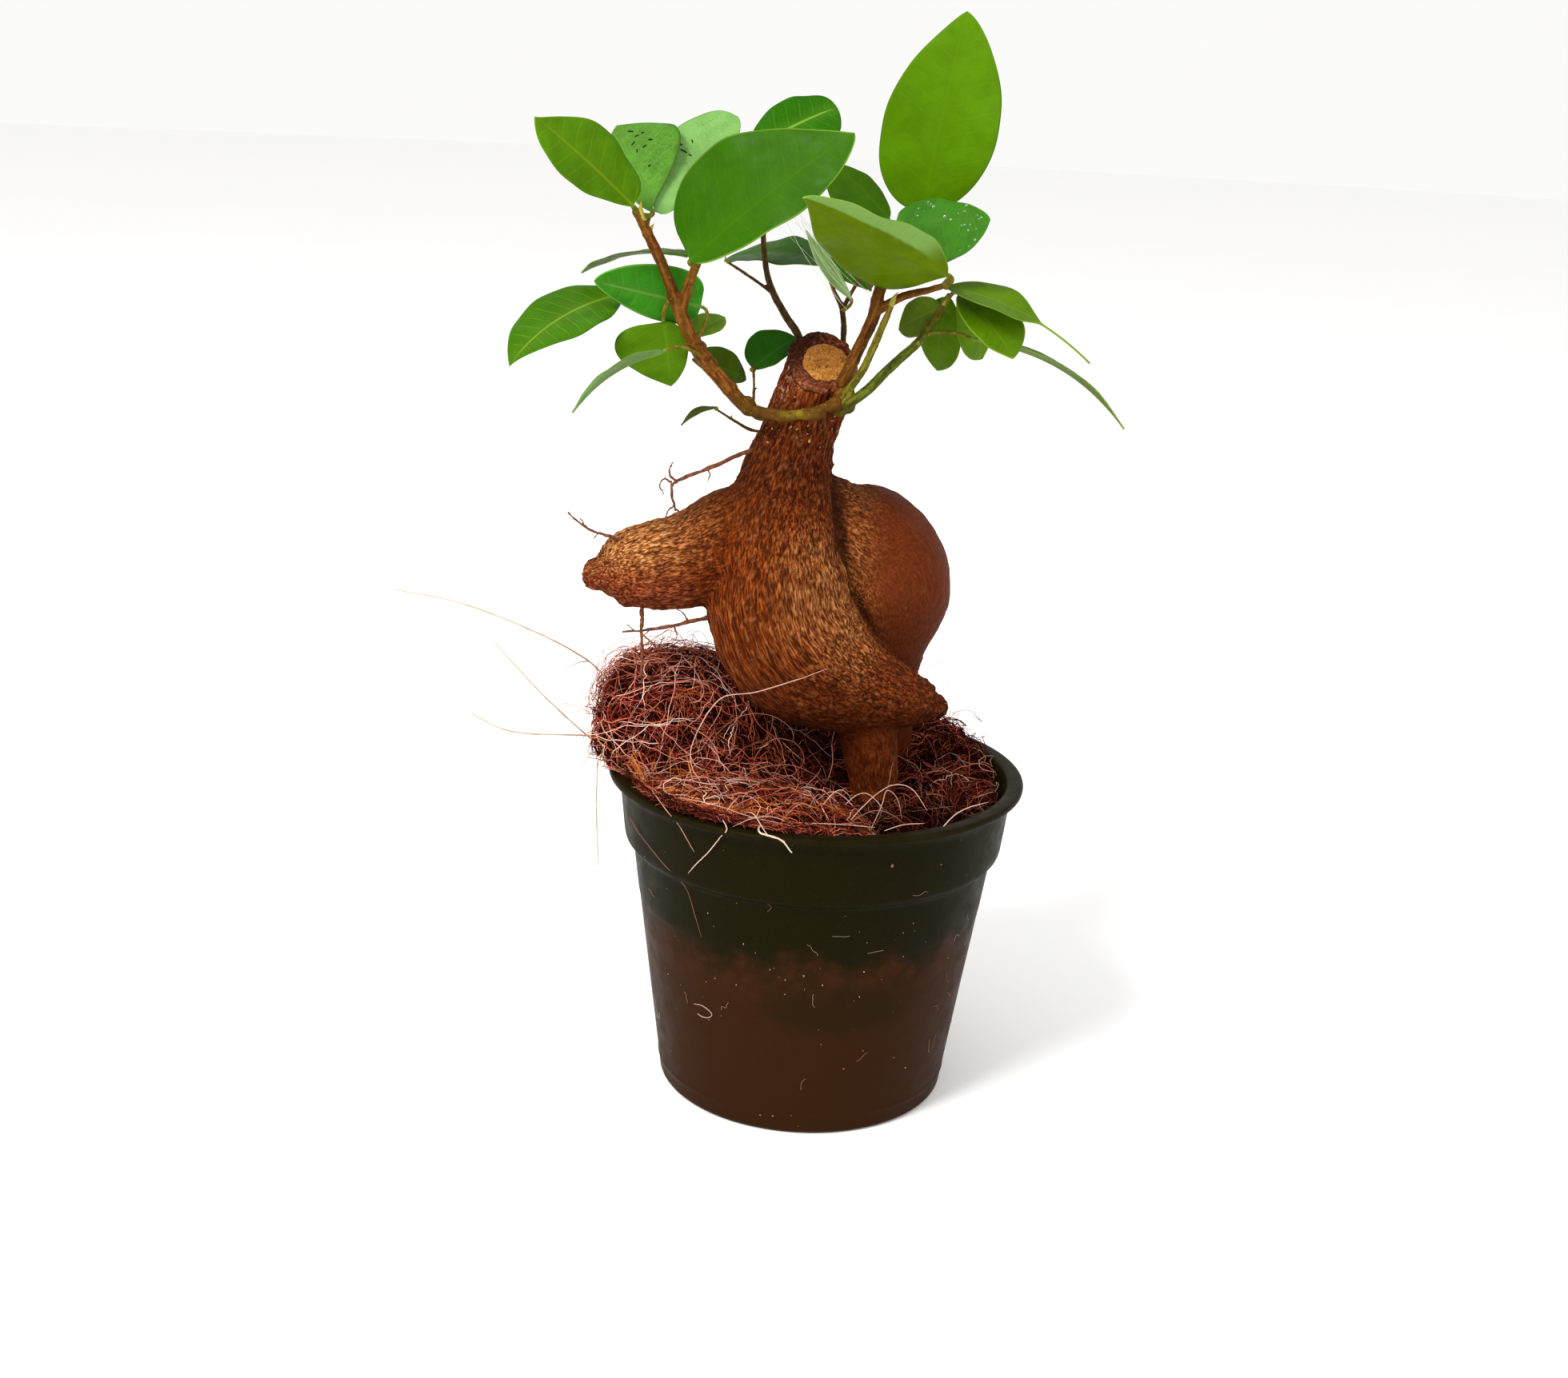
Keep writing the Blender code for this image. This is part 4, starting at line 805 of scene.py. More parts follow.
def straightened(co, limb, blur=2.2):
    """Position in a limb's own frame: across, across, along."""
    path = smooth_path(limb, 8)[:, :3]
    tan = unit(np.gradient(path, axis=0))
    s = unit(np.cross(tan[0], np.array([.31, .87, .38])))
    sides = []
    for t in tan:
        s = unit(s - t * (s @ t))
        sides.append(s)
    sides = np.array(sides)
    ups = np.cross(tan, sides)
    run = np.concatenate([[0], np.cumsum(np.linalg.norm(np.diff(path, axis=0), axis=1))])
    d2 = ((co[:, None, :] - path[None]) ** 2).sum(2)
    w = np.exp(-(d2 - d2.min(1, keepdims=True)) / (2 * blur * blur) / 3)
    w /= w.sum(1, keepdims=True)
    c, a, b = w @ path, w @ sides, w @ ups
    rel = co - c
    return np.stack([(rel * a).sum(1), (rel * b).sum(1), w @ run + (rel * (w @ tan)).sum(1) * .5], 1)


def build_trunk():
    lumps = [(-35.6, -4.3, 82.9, 1.3, .8, .8), (-36.4, -4.2, 83.4, .7, .5, .55), (-36.3, -4.6, 82.2, .55, .5, .5),
             (-25.6, -2.4, 79.2, 2.6, 3.0, 1.6), (-30.4, -3.4, 78.6, 1.5, 1.8, 1.2), (-20.6, -1.6, 78.6, 2.2, 2.8, 1.3),
             (0.05, 0.0, 102.4, .55, .6, .5), (0.45, -.2, 100.5, .55, .6, .45), (0.35, .1, 98.8, .45, .5, .45),
             (-.5, -.4, 104.0, .5, .5, .5), (3.6, -4.6, 72.2, 4.2, 3.6, 3.6),
             (18.9, .4, 64.4, .9, .8, .7), (19.5, .8, 62.9, .9, .9, .7), (18.6, 1.4, 61.2, .9, .8, .8),
             (17.2, -1.2, 65.6, .9, .8, .6), (16.2, .6, 66.6, 1.0, .9, .6), (14.2, 1.4, 67.6, .9, .8, .6),
             (17.9, -1.4, 62.4, .9, .8, .9)]
    me = remeshed("trunk_root_bark", LIMBS, 40, .335, 25, per_span=8, lumps=lumps)
    co, nor = coords(me), normals(me)
    _, share = flow(co, LIMBS)
    neck, body, lobe, bulb, leg, shoulder = share
    main = neck + body + shoulder
    frames = [straightened(co, limb) for limb in GRAIN_PATHS]
    weights = (main, lobe, bulb, leg)

    def along_grain(cell, stretch, seed, sway=0.0):
        total = 0
        for f, w in zip(frames, weights):
            q = f.copy()
            if sway:
                q[:, 0] += (vnoise(f / 3.0, seed + 5) - .5) * sway
                q[:, 1] += (vnoise(f / 3.0, seed + 6) - .5) * sway
            total = total + w * vnoise(q / np.array([cell, cell, cell * stretch]), seed)
        return total

    fine = spread(along_grain(.36, 3.6, 11, 1.2), .25)
    mid = spread(along_grain(.72, 3.2, 12, 1.4), .24)
    lines = spread(along_grain(.48, 6.0, 13, 1.4), .24)
    ringed = spread(sum(w * vnoise(f / np.array([3.2, 3.2, .62]), 14) for f, w in zip(frames, weights)), .24)
    grit = vnoise(co / .38, 15)
    lump = fbm(co / 6.5, 3, 16)
    broad = fbm(co / 14.0, 2, 18)

    # the seam where two limbs press together: dented, and darkened in colour as painted shade in the crease
    def skin(limb):
        path = smooth_path(limb, 6)
        best = np.full(len(co), 99.0)
        for q in path:
            best = np.minimum(best, np.linalg.norm(co - q[:3], axis=1) - q[3])
        return best
    x, y, z = co.T
    d_bulb = skin(BULB)
    d_rest = np.minimum(np.minimum(skin(BODY), skin(NECK)), np.minimum(skin(LEG), skin(SHOULDER)))
    seam_dent_and_shade = np.exp(-((np.abs(d_bulb) + np.abs(d_rest)) / 1.15) ** 2)
    seam_dent_and_shade *= np.clip((z - 50) / 6, 0, 1)
    # slit: the gap between neck and bulb, dented and darkened in colour as painted shade
    slit = np.exp(-((x - 1.6) / 1.0) ** 2 - ((z - 90.5) / 4.2) ** 2) * np.clip((6 - y) / 4, 0, 1)
    smooth_part = np.clip((bulb - .45) * 2.2, 0, 1) * np.clip(.25 + (x - 4) / 7, 0, 1)
    low = np.clip((66 - z) / 7, 0, 1)
    calm = np.clip(1 - .80 * smooth_part - .45 * low, .10, 1)
    knob = np.exp(-((x - 17.5) / 4.0) ** 2 - ((z - 64) / 4.5) ** 2)
    tip = np.clip((-31.5 - x) / 4, 0, 1)
    top = np.clip((z - 104) / 5, 0, 1)
    fold_zone = np.exp(-((z - 76) / 3.2) ** 2) * np.clip((x + 14) / 6, 0, 1) * main

    d = (fine - .5) * .22 * calm + (mid - .5) * .30 * calm + (lump - .5) * .8 + (broad - .5) * .7
    d += -.26 * np.clip(lines - .60, 0, 1) * calm
    d += (grit - .5) * .10 * (.35 + knob + top * .8 + tip + .5 * lobe)
    d += (ringed - .5) * (.05 + .20 * fold_zone + .06 * lobe) * calm
    d += knob * (fbm(co / 1.1, 3, 21) - .5) * .9 + tip * (fbm(co / .9, 2, 22) - .5) * .9
    d += top * (fbm(co / .8, 3, 23) - .5) * .55
    d -= seam_dent_and_shade * .35 + slit * .5
    # pits: small dents, also darkened in colour as painted shade
    pits = [(0.1, -8.4, 92.4, .75), (-1.5, -11.2, 76.2, .5), (-19, -8.6, 83, .45), (4.4, -8.6, 71.4, .5)]
    pit = np.zeros(len(co))
    for px, py, pz, r in pits:
        pit = np.maximum(pit, np.exp(-(np.linalg.norm(co - np.array([px, py, pz]), axis=1) / r) ** 2))
    d -= pit * .45
    co = co + nor * d[:, None]

    up_n, front = nor[:, 2], np.clip(-nor[:, 1], 0, 1)
    fleck = np.clip((spread(along_grain(.30, 2.4, 31), .25) - .76) * 6, 0, 1) * (.2 + .8 * vnoise(co / 4.0, 32))
    # golden bark on the lobe's top and in patches on the body, bulb and front; partly painted sheen, as the lobe's
    # share follows skin facing up and the front patch follows skin facing the viewer
    gold_and_painted_sheen = lobe * np.clip((-14 - x) / 10, 0, 1) * np.clip((up_n + .25) * 1.2, 0, 1) \
        * (.55 + .45 * np.clip((-20 - x) / 6, 0, 1))
    gold_and_painted_sheen = gold_and_painted_sheen + main * .42 * np.clip((x + 9) / 7, 0, 1) * np.clip((94 - z) / 6, 0, 1) * np.clip((z - 71) / 7, 0, 1)
    gold_and_painted_sheen = gold_and_painted_sheen + bulb * .40 * np.clip((9 - x) / 6, 0, 1) * np.clip((z - 78) / 5, 0, 1)
    gold_and_painted_sheen = gold_and_painted_sheen + .35 * np.exp(-((x - 5) / 4) ** 2 - ((z - 72) / 3.5) ** 2) * front
    gold_and_painted_sheen = np.clip(gold_and_painted_sheen * (.65 + .9 * (broad - .25)), 0, 1)
    # under marks downward-facing skin; through red it makes that skin redder and darker as painted shade, on top of the
    # real red of the bulb, the lower body and the neck
    under = np.clip(-up_n * 1.3, 0, 1)
    red = np.clip(smooth_part * .95 + under * .55 + np.clip((73 - z) / 9, 0, .85) + .55 * np.clip((z - 93) / 8, 0, 1)
                  + .5 * lobe * np.clip((-8 - x) / 5, 0, 1) * np.clip(.5 - up_n, 0, 1), 0, 1)
    shade = 1 - .40 * np.exp(-((z - 100) / 6.5) ** 2) - .10 * bulb * np.clip((80 - z) / 9, 0, 1) \
        + .22 * leg * np.clip((64 - z) / 4, 0, 1) - .16 * under - .10 * np.clip((70 - z) / 6, 0, 1)
    crumbs = np.clip((vnoise(co / .40, 41) - .74) * 7, 0, 1) * np.clip((z - 108) / 4, 0, 1) \
        * np.clip((-4.5 - x) / 3, 0, 1) * .7
    me.vertices.foreach_set("co", (co * MM).astype(np.float32).ravel())
    for key, val in {"fine": fine, "mid": mid, "lines": lines, "fleck": fleck, "gold_and_painted_sheen": gold_and_painted_sheen, "red": red,
                     "seam_dent_and_shade": np.clip(seam_dent_and_shade + pit + slit, 0, 1), "knob": np.clip(knob + tip, 0, 1), "crumbs": crumbs,
                     "cut": np.zeros(len(co)), "calm": calm, "shade": np.clip(shade, .3, 1.8),
                     "w_lobe": lobe / np.maximum(main + lobe, 1e-6), "w_bulb": bulb,
                     "w_leg": leg}.items():
        me.attributes.new(key, 'FLOAT', 'POINT').data.foreach_set("value", val.astype(np.float32))
    for i, f in enumerate(frames):
        me.attributes.new("limb%d" % i, 'FLOAT_VECTOR', 'POINT').data.foreach_set(
            "vector", (f + 40.0 * (i + 1)).astype(np.float32).ravel())

    bark = bark_look()
    wood = wood_look()
    me.materials.clear()
    me.materials.append(bark.mat)
    me.materials.append(wood.mat)
    saw_top(me)
    ob = bpy.data.objects.new("trunk_root_bark", me)
    bpy.context.scene.collection.objects.link(ob)
    place(ob, "root_bark", "trunk_root")
    build_flakes(me)
    return ob


def saw_top(me):
    """Cut the neck off along the saw plane: a chipped bark edge, then the wood a little below it."""
    bm = bmesh.new()
    bm.from_mesh(me)
    centre, normal = Vector(CUT_CENTRE) * MM, Vector(CUT_NORMAL).normalized()
    res = bmesh.ops.bisect_plane(bm, geom=bm.verts[:] + bm.edges[:] + bm.faces[:], dist=2e-6, plane_co=centre,
                                 plane_no=normal, clear_outer=True, clear_inner=False)
    loop = [g for g in res["geom_cut"] if isinstance(g, bmesh.types.BMVert)]
    loop = [v for v in loop if v.is_valid and v.is_boundary]
    ax = normal.orthogonal().normalized()
    ay = normal.cross(ax)
    mid_pt = sum((v.co for v in loop), Vector()) / len(loop)
    loop.sort(key=lambda v: math.atan2((v.co - mid_pt).dot(ay), (v.co - mid_pt).dot(ax)))
    lay = bm.verts.layers.float["cut"]
    profile = [(.985, .10), (.955, .26), (.92, .38), (.88, .44), (.845, .42), (.815, .32), (.79, .14), (.77, -.06),
               (.755, -.20), (.73, -.26), (.68, -.25), (.61, -.24), (.54, -.24), (.47, -.24), (.41, -.24), (.34, -.24),
               (.27, -.24), (.20, -.24), (.13, -.24), (.07, -.24)]
    prev = loop
    n = len(loop)
    pol = [((v.co - mid_pt).dot(ax), (v.co - mid_pt).dot(ay)) for v in loop]
    aside = (Vector((1, 0, 0)) - normal * normal.x).normalized()      # the wood sits off the middle of the stump
    beyond = normal.cross(aside)
    beyond = beyond if beyond.y > 0 else -beyond
    drift = aside * (.75 * MM) + beyond * (.35 * MM)
    steep = (Vector((0, 0, 1)) - normal * normal.z).normalized()
    for f, h in profile:
        ring = []
        for i, (px, py) in enumerate(pol):
            ang = math.atan2(py, px)
            chip = vnoise(np.array([[math.cos(ang) * 3.2, math.sin(ang) * 3.2, 7.0]]), 51)[0]
            chip2 = vnoise(np.array([[math.cos(ang) * 9, math.sin(ang) * 9, f * 16]]), 52)[0]
            rr = math.hypot(px, py)
            if f > .765:
                ff = f + (chip - .5) * .10 * (1 - f) * 4
                hh = h * (.45 + 1.2 * chip) + (chip2 - .5) * .20
            else:
                ff = f + (chip - .5) * .07 * min(1, f / .5)
                hh = h + (chip2 - .5) * .09 + .05 * math.sin(rr / MM * f * 7.0)
            even = (5.0 * MM * .30 + rr * .70) if f < .9 else rr
            if f < .80:
                even *= .90 - .08 * (ax * math.cos(ang) + ay * math.sin(ang)).dot(steep) ** 2
            p = mid_pt + (ax * math.cos(ang) + ay * math.sin(ang)) * even * ff + normal * hh * MM \
                + drift * min(1, (1 - f) / .22) * (1 if f > .5 else f / .5)
            v = bm.verts.new(p)
            v[lay] = 1 - f + .001
            ring.append(v)
        for i in range(n):
            j = (i + 1) % n
            face = bm.faces.new((prev[i], prev[j], ring[j], ring[i]))
            face.material_index = 1 if f < .765 else 0
            face.smooth = True
        prev = ring
    hub = bm.verts.new(mid_pt + normal * (-.24 * MM) + drift * .1)
    hub[lay] = 1.0
    for i in range(n):
        face = bm.faces.new((prev[i], prev[(i + 1) % n], hub))
        face.material_index = 1
        face.smooth = True
    bmesh.ops.recalc_face_normals(bm, faces=bm.faces)
    bm.to_mesh(me)
    bm.free()
    me.polygons.foreach_set("use_smooth", np.ones(len(me.polygons), bool))


def bark_look():
    bark = Look("root_bark", .74, .05)

    def limbwise(size, stretch, detail, warp):
        a = bark.grain("limb0", size, stretch, detail, .55, warp)
        a = bark.blend(bark.attr("w_lobe"), a, bark.grain("limb1", size, stretch * .62, detail, .55, warp))
        a = bark.blend(bark.attr("w_bulb"), a, bark.grain("limb2", size, stretch * .6, detail, .55, warp))
        return bark.blend(bark.attr("w_leg"), a, bark.grain("limb3", size, stretch, detail, .55, warp))

    strokes = limbwise(.27, 6.5, 2, .45)
    stroke_c = bark.span(strokes, .30, .70)
    ridges = bark.span(limbwise(.70, 3.0, 2, .5), .28, .72)
    calm = bark.attr("calm")
    tone = bark.math('MULTIPLY', stroke_c, .66)
    tone = bark.math('ADD', tone, bark.math('MULTIPLY', bark.attr("fine"), .16))
    tone = bark.math('ADD', tone, bark.math('MULTIPLY', bark.attr("mid"), .09))
    tone = bark.math('ADD', tone, bark.math('MULTIPLY', ridges, .09))
    tone = bark.math('ADD', tone, bark.math('MULTIPLY', bark.math('SUBTRACT', bark.noise(.26, 3, .6), .5), .12))
    # smooth skin shows less of the grain
    tone = bark.math('ADD', .5, bark.math('MULTIPLY', bark.math('SUBTRACT', tone, .5), bark.span(calm, 0, 1, .26, 1.0)))
    skin_col = bark.ramp(tone, (.20, (.027, .0036, .0004)), (.38, (.061, .0080, .0006)), (.52, (.102, .0158, .0014)),
                         (.68, (.160, .0300, .0030)), (.88, (.262, .0650, .0100)))
    olive = bark.span(bark.noise(8, 3, .55), .42, .68)
    skin_col = bark.mix(bark.math('MULTIPLY', olive, .18), skin_col, (.100, .0300, .0030))
    # redder, darker skin: the real red of the bulb, lower body and neck, plus painted shade on downward-facing skin
    red_col = bark.ramp(tone, (.2, (.034, .0048, .0007)), (.5, (.088, .0148, .0020)), (.85, (.160, .0330, .0060)))
    skin_col = bark.mix(bark.math('MULTIPLY', bark.attr("red"), .88), skin_col, red_col)
    # golden bark, partly painted sheen on skin facing up and towards the viewer
    gold_col = bark.ramp(tone, (.20, (.072, .0165, .0022)), (.42, (.225, .0700, .0140)), (.62, (.430, .1680, .0470)),
                         (.85, (.740, .4000, .1700)))
    skin_col = bark.mix(bark.math('MULTIPLY', bark.attr("gold_and_painted_sheen"), .92), skin_col, gold_col)
    skin_col = bark.mix(bark.math('MULTIPLY', bark.span(bark.attr("lines"), .60, .86), bark.math(
        'MULTIPLY', calm, .45)), skin_col, (.026, .0045, .0009))
    skin_col = bark.mix(bark.math('MULTIPLY', bark.attr("fleck"), bark.math('MULTIPLY', calm, .36)), skin_col,
                        (.38, .150, .052))
    skin_col = bark.mix(bark.math('MULTIPLY', bark.attr("knob"), bark.span(bark.noise(.8, 4), .42, .62)), skin_col,
                        (.034, .0080, .0020))
    # the dried tip of the side lobe, and the redder skin under it
    end = bark.math('MULTIPLY', bark.span(bark.axis(0), -.0343, -.0364), bark.span(bark.noise(.7, 4), .34, .56))
    skin_col = bark.mix(bark.math('MULTIPLY', end, .80), skin_col, (.040, .0060, .0018))
    under = bark.math('MULTIPLY', bark.span(bark.axis(0), -.0170, -.0240), bark.span(bark.axis(2), .0870, .0815))
    skin_col = bark.mix(bark.math('MULTIPLY', under, .55), skin_col, bark.ramp(
        tone, (.25, (.075, .0090, .0022)), (.5, (.215, .0380, .0120)), (.8, (.430, .1250, .0480))))
    skin_col = bark.times(skin_col, bark.attr("shade"))
    # painted shade: dark in the crease between the limbs, in the slit and in the pits
    skin_col = bark.mix(bark.math('MULTIPLY', bark.attr("seam_dent_and_shade"), .80), skin_col, (.0150, .0030, .0010))
    skin_col = bark.mix(bark.attr("crumbs"), skin_col, (.46, .27, .17))
    rim = bark.span(bark.attr("cut"), .004, .03)
    # edge of the cut: darker on the far side; the near side redder, with pale pink flecks as a painted highlight
    near_side = bark.span(bark.math('ADD', bark.axis(0), bark.math('MULTIPLY', bark.axis(2), -1.0)), -.1235, -.1180)
    edge_col = bark.mix(near_side, bark.ramp(bark.noise(.5, 4), (.35, (.014, .0028, .0014)),
                                             (.60, (.055, .0110, .0040)), (.82, (.22, .090, .045))),
                        bark.ramp(bark.noise(.5, 4), (.32, (.040, .0080, .0026)), (.50, (.125, .0300, .0095)),
                                  (.66, (.260, .0850, .0380)), (.82, (.52, .270, .170))))
    skin_col = bark.mix(rim, skin_col, edge_col)
    bark.base(skin_col)
    bark.rough(bark.span(calm, .1, 1, .62, .88))
    relief = bark.math('MULTIPLY', stroke_c, bark.span(calm, 0, 1, .10, 1.0))
    relief = bark.math('ADD', relief, bark.math('MULTIPLY', bark.noise(.20, 3, .6), .45))
    bark.bump(relief, .75, .12)
    return bark


def wood_look():
    wood = Look("cut_wood", .80, .06)
    r = wood.attr("cut")
    grain_w = wood.math('ADD', wood.noise(.42, 5, .7, .5), wood.math('MULTIPLY', wood.noise(1.8, 2), .5))
    face = wood.ramp(grain_w, (.45, (.230, .062, .0085)), (.60, (.420, .145, .0230)), (.78, (.570, .225, .0440)),
                     (.98, (.74, .36, .10)))
    fibre = wood.span(wood.cells(.5), .10, .24)
    face = wood.mix(wood.math('MULTIPLY', wood.math('SUBTRACT', 1.0, fibre), .75), face, (.140, .040, .007))
    pith = wood.math('MULTIPLY', wood.span(r, .62, .9), wood.span(wood.noise(.6, 4, .7), .46, .60))
    face = wood.mix(wood.math('MULTIPLY', pith, .75), face, (.120, .036, .006))
    squiggle = wood.math('ABSOLUTE', wood.math('SUBTRACT', wood.noise(1.3, 3, .6, .8), .5))
    face = wood.mix(wood.math('MULTIPLY', wood.span(squiggle, .030, .008), .60), face, (.085, .022, .0035))
    ring = wood.span(r, .27, .23)
    face = wood.mix(wood.math('MULTIPLY', ring, .60), face, (.40, .17, .10))
    wood.base(face)
    wood.bump(wood.noise(.25, 5, .7), .7, .10)
    return wood


def build_flakes(me):
    """Loose crumbs and scales of bark on the neck, the knob and the lobe's tip."""
    rng = np.random.default_rng(5)
    co, nor = coords(me), normals(me)
    cut = np.zeros(len(co), np.float32)
    me.attributes["cut"].data.foreach_get("value", cut)
    on_bark = cut < .0005
    zone = [((co[:, 2] > 103) & (co[:, 2] < 117) & on_bark, 330, .85),
            ((co[:, 0] > 14) & (co[:, 2] > 58) & (co[:, 2] < 69), 120, .8),
            ((co[:, 0] < -33.5), 60, .65), ((co[:, 2] > 62) & (co[:, 2] < 100), 90, .5)]
    parts = []
    base = np.array([[1, 0, 0], [.2, .9, 0], [-.8, .5, 0], [-.7, -.6, 0], [.3, -.8, 0], [0, 0, .55], [0, 0, -.3]])
    faces = [[0, 1, 5], [1, 2, 5], [2, 3, 5], [3, 4, 5], [4, 0, 5], [1, 0, 6], [2, 1, 6], [3, 2, 6], [4, 3, 6], [0, 4, 6]]
    for mask, count, size in zone:
        idx = np.nonzero(mask)[0]
        for i in rng.choice(idx, count):
            n = nor[i]
            t = unit(np.cross(n, rng.normal(size=3)))
            b = np.cross(n, t)
            s = size * rng.uniform(.14, .34)
            v = base * rng.uniform(.6, 1.25, (7, 1)) * np.array([s, s * rng.uniform(.4, .9), s * .6])
            tilt = rng.uniform(-.5, .5)
            n2 = unit(n + t * tilt)
            pale = rng.random() * (.95 if co[i, 2] > 103 else .6)
            parts.append((co[i] + n * .02 + v[:, :1] * t + v[:, 1:2] * b + v[:, 2:] * n2, np.zeros((0, 4)), faces,
                          {"tone": pale}))
    v, q, t, a = merge(parts)
    look = Look("bark_scale", .9, .04)
    look.base(look.ramp(look.attr("tone"), (0, (.032, .0070, .0018)), (.45, (.130, .036, .010)), (.78, (.33, .155, .075)),
                        (1, (.50, .33, .23))))
    look.bump(look.noise(.15, 3), .4, .03)
    place(piece("bark_scales", v, q, t, [look.mat], a, smooth=False), "root_bark")


# ================================================================ coir
def soil_height(x, y):
    z = SOIL_LEVEL
    for cx, cy, h, sx, sy in HEAPS:
        z = z + h * np.exp(-(((x - cx) / sx) ** 2 + ((y - cy) / sy) ** 2) ** 2)
    return z


def wall_radius(z):
    if z < BODY_TOP_Z:
        return BASE_RADIUS - WALL + (BODY_TOP_RADIUS - BASE_RADIUS) * (z - 1.0) / (BODY_TOP_Z - 1.0)
    if z < BAND_FOOT_Z:
        return BODY_TOP_RADIUS - WALL + (BAND_FOOT_RADIUS - BODY_TOP_RADIUS) * (z - BODY_TOP_Z) / (BAND_FOOT_Z - BODY_TOP_Z)
    return BAND_FOOT_RADIUS - WALL + (BAND_TOP_RADIUS - BAND_FOOT_RADIUS) * \
        (z - BAND_FOOT_Z) / (POT_HEIGHT - 0.6 - BAND_FOOT_Z)


def overhang(theta):
    return 4.9 * math.exp(-((theta - math.radians(170)) / .62) ** 2)


def build_core():
    """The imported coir: a lumpy body that the fibres lie on."""
    n = 220
    rows = []
    for k in range(n):
        th = 2 * math.pi * k / n
        c, s = math.cos(th), math.sin(th)
        rim_in = wall_radius(POT_HEIGHT - .6) - .3
        edge = max(float(soil_height(rim_in * c, rim_in * s)), 45.4)
        over = overhang(th) if edge > POT_HEIGHT + 3 else 0.0
        rough = (vnoise(np.array([[c * 9, s * 9, 2.0]]), 61)[0] - .5)
        col = [(0.0, FLOOR + .3), (14, FLOOR + .3), (21, FLOOR + .4), (25.6, 34.5), (26.2, 38.4), (27.6, 41.8)]
        top_in = min(edge, POT_HEIGHT + .4)
        r_top = wall_radius(min(top_in, POT_HEIGHT - .6)) - .3
        col += [(r_top, top_in - 3.0), (r_top, top_in - 1.0)]
        if over > .4:
            outer = r_top + over + rough * 1.2
            z_out = max(float(soil_height(outer * c, outer * s)), POT_HEIGHT + 1.6) + rough * 1.2
            col += [(r_top, POT_HEIGHT + .4), (r_top + (outer - r_top) * .6, POT_HEIGHT + .5),
                    (outer - .4, POT_HEIGHT + .8), (outer, POT_HEIGHT + 1.8)]
            for f in (.15, .3, .45, .6, .75, .88):
                col.append((outer + .35 * math.sin(f * 9 + th * 30), POT_HEIGHT + 1.8 + (z_out - 1.4 - POT_HEIGHT - 1.8) * f))
            col += [(outer - .35, z_out - 1.0), (outer - 1.3, z_out - .3)]
        else:
            for f in (0, .1, .2, .3, .4, .5, .6, .7, .8, .9, 1.0, 1.0):
                col.append((r_top - .1 - f * .25, top_in - .9 + f * max(edge - top_in, 0) + f * .4))
        r_last = col[-1][0]
        for f in np.linspace(.97, .03, 34):
            r = r_last * f
            col.append((r, float(soil_height(r * c, r * s))))
        rows.append([(r * c, r * s, z) for r, z in col])
    size = max(len(r) for r in rows)
    full = []
    for r in rows:
        while len(r) < size:
            a, b = r[8], r[9]
            r = r[:9] + [tuple((p + q) / 2 for p, q in zip(a, b))] + r[9:]
        full.append(r)
    grid = np.array(full)                      # (n, rows, 3)
    flat = grid.reshape(-1, 3)
    up = np.clip((flat[:, 2] - 42) / 4, 0, 1)
    rad = np.linalg.norm(flat[:, :2], axis=1)
    inside = (flat[:, 2] < POT_HEIGHT + .8) & (rad > 24)
    lump = (fbm(flat / 2.2, 3, 62) - .5) * 2.6 + (fbm(flat / .9, 2, 63) - .5) * 1.2
    # a hollow in front of the trunk's foot (the fibres over it carry painted shade), a rough clump at the right
    hollow = np.exp(-((flat[:, 0] - 1.0) / 7.5) ** 2 - ((flat[:, 1] + 6) / 7.0) ** 2) * 2.4
    out = unit(np.stack([flat[:, 0], flat[:, 1], np.full(len(flat), 24.0)], 1))
    move = np.where(inside, np.minimum(lump, 0) * .6 - .1, lump) - hollow
    flat = flat + out * (move * up)[:, None]
    k = size
    idx = np.arange(n * k).reshape(n, k)
    nxt = np.roll(idx, -1, axis=0)
    quads = np.stack([idx[:, :-1], nxt[:, :-1], nxt[:, 1:], idx[:, 1:]], -1).reshape(-1, 4)
    quads = quads.reshape(n, k - 1, 4)[:, 1:].reshape(-1, 4)
    base_c, top_c = len(flat), len(flat) + 1
    flat = np.concatenate([flat, [[0, 0, FLOOR + .3]], [[0, 0, float(soil_height(0, 0)) - 1.5]]])
    tris = np.concatenate([np.stack([np.full(n, base_c), nxt[:, 1], idx[:, 1]], 1),
                           np.stack([np.full(n, top_c), idx[:, -1], nxt[:, -1]], 1)])
    used = np.unique(np.concatenate([quads.ravel(), tris.ravel()]))
    remap = np.full(len(flat), -1)
    remap[used] = np.arange(len(used))
    flat, quads, tris = flat[used], remap[quads], remap[tris]
    # near-black: the coir's dark colour, darkened further as painted shade for the gaps between fibres
    look = Look("coir_core", .95, .02)
    t = look.math('ADD', look.noise(.55, 5, .7), look.math('MULTIPLY', look.noise(2.4, 3), .5))
    look.base(look.ramp(t, (.45, (.0030, .0006, .0004)), (.68, (.0120, .0020, .0012)), (.88, (.0420, .0075, .0040)),
                        (1.0, (.095, .022, .011))))
    look.bump(look.noise(.5, 5, .7), .9, .35)
    ob = piece("coir_core", flat, quads, tris, [look.mat])
    place(ob, "coir", "coir_soil")
    # the part that fibres can lie on
    cen = flat[quads].mean(1)
    r = np.linalg.norm(cen[:, :2], axis=1)
    keep = ((cen[:, 2] > POT_HEIGHT + .2) | ((cen[:, 2] > 42.0) & (r < 28.6)))
    bvh = BVHTree.FromPolygons([Vector(p) for p in flat], [tuple(q) for q in quads[keep]])
    q = quads[keep]
    area = np.linalg.norm(np.cross(flat[q[:, 2]] - flat[q[:, 0]], flat[q[:, 3]] - flat[q[:, 1]]), axis=1) / 2
    return bvh, cen[keep], area


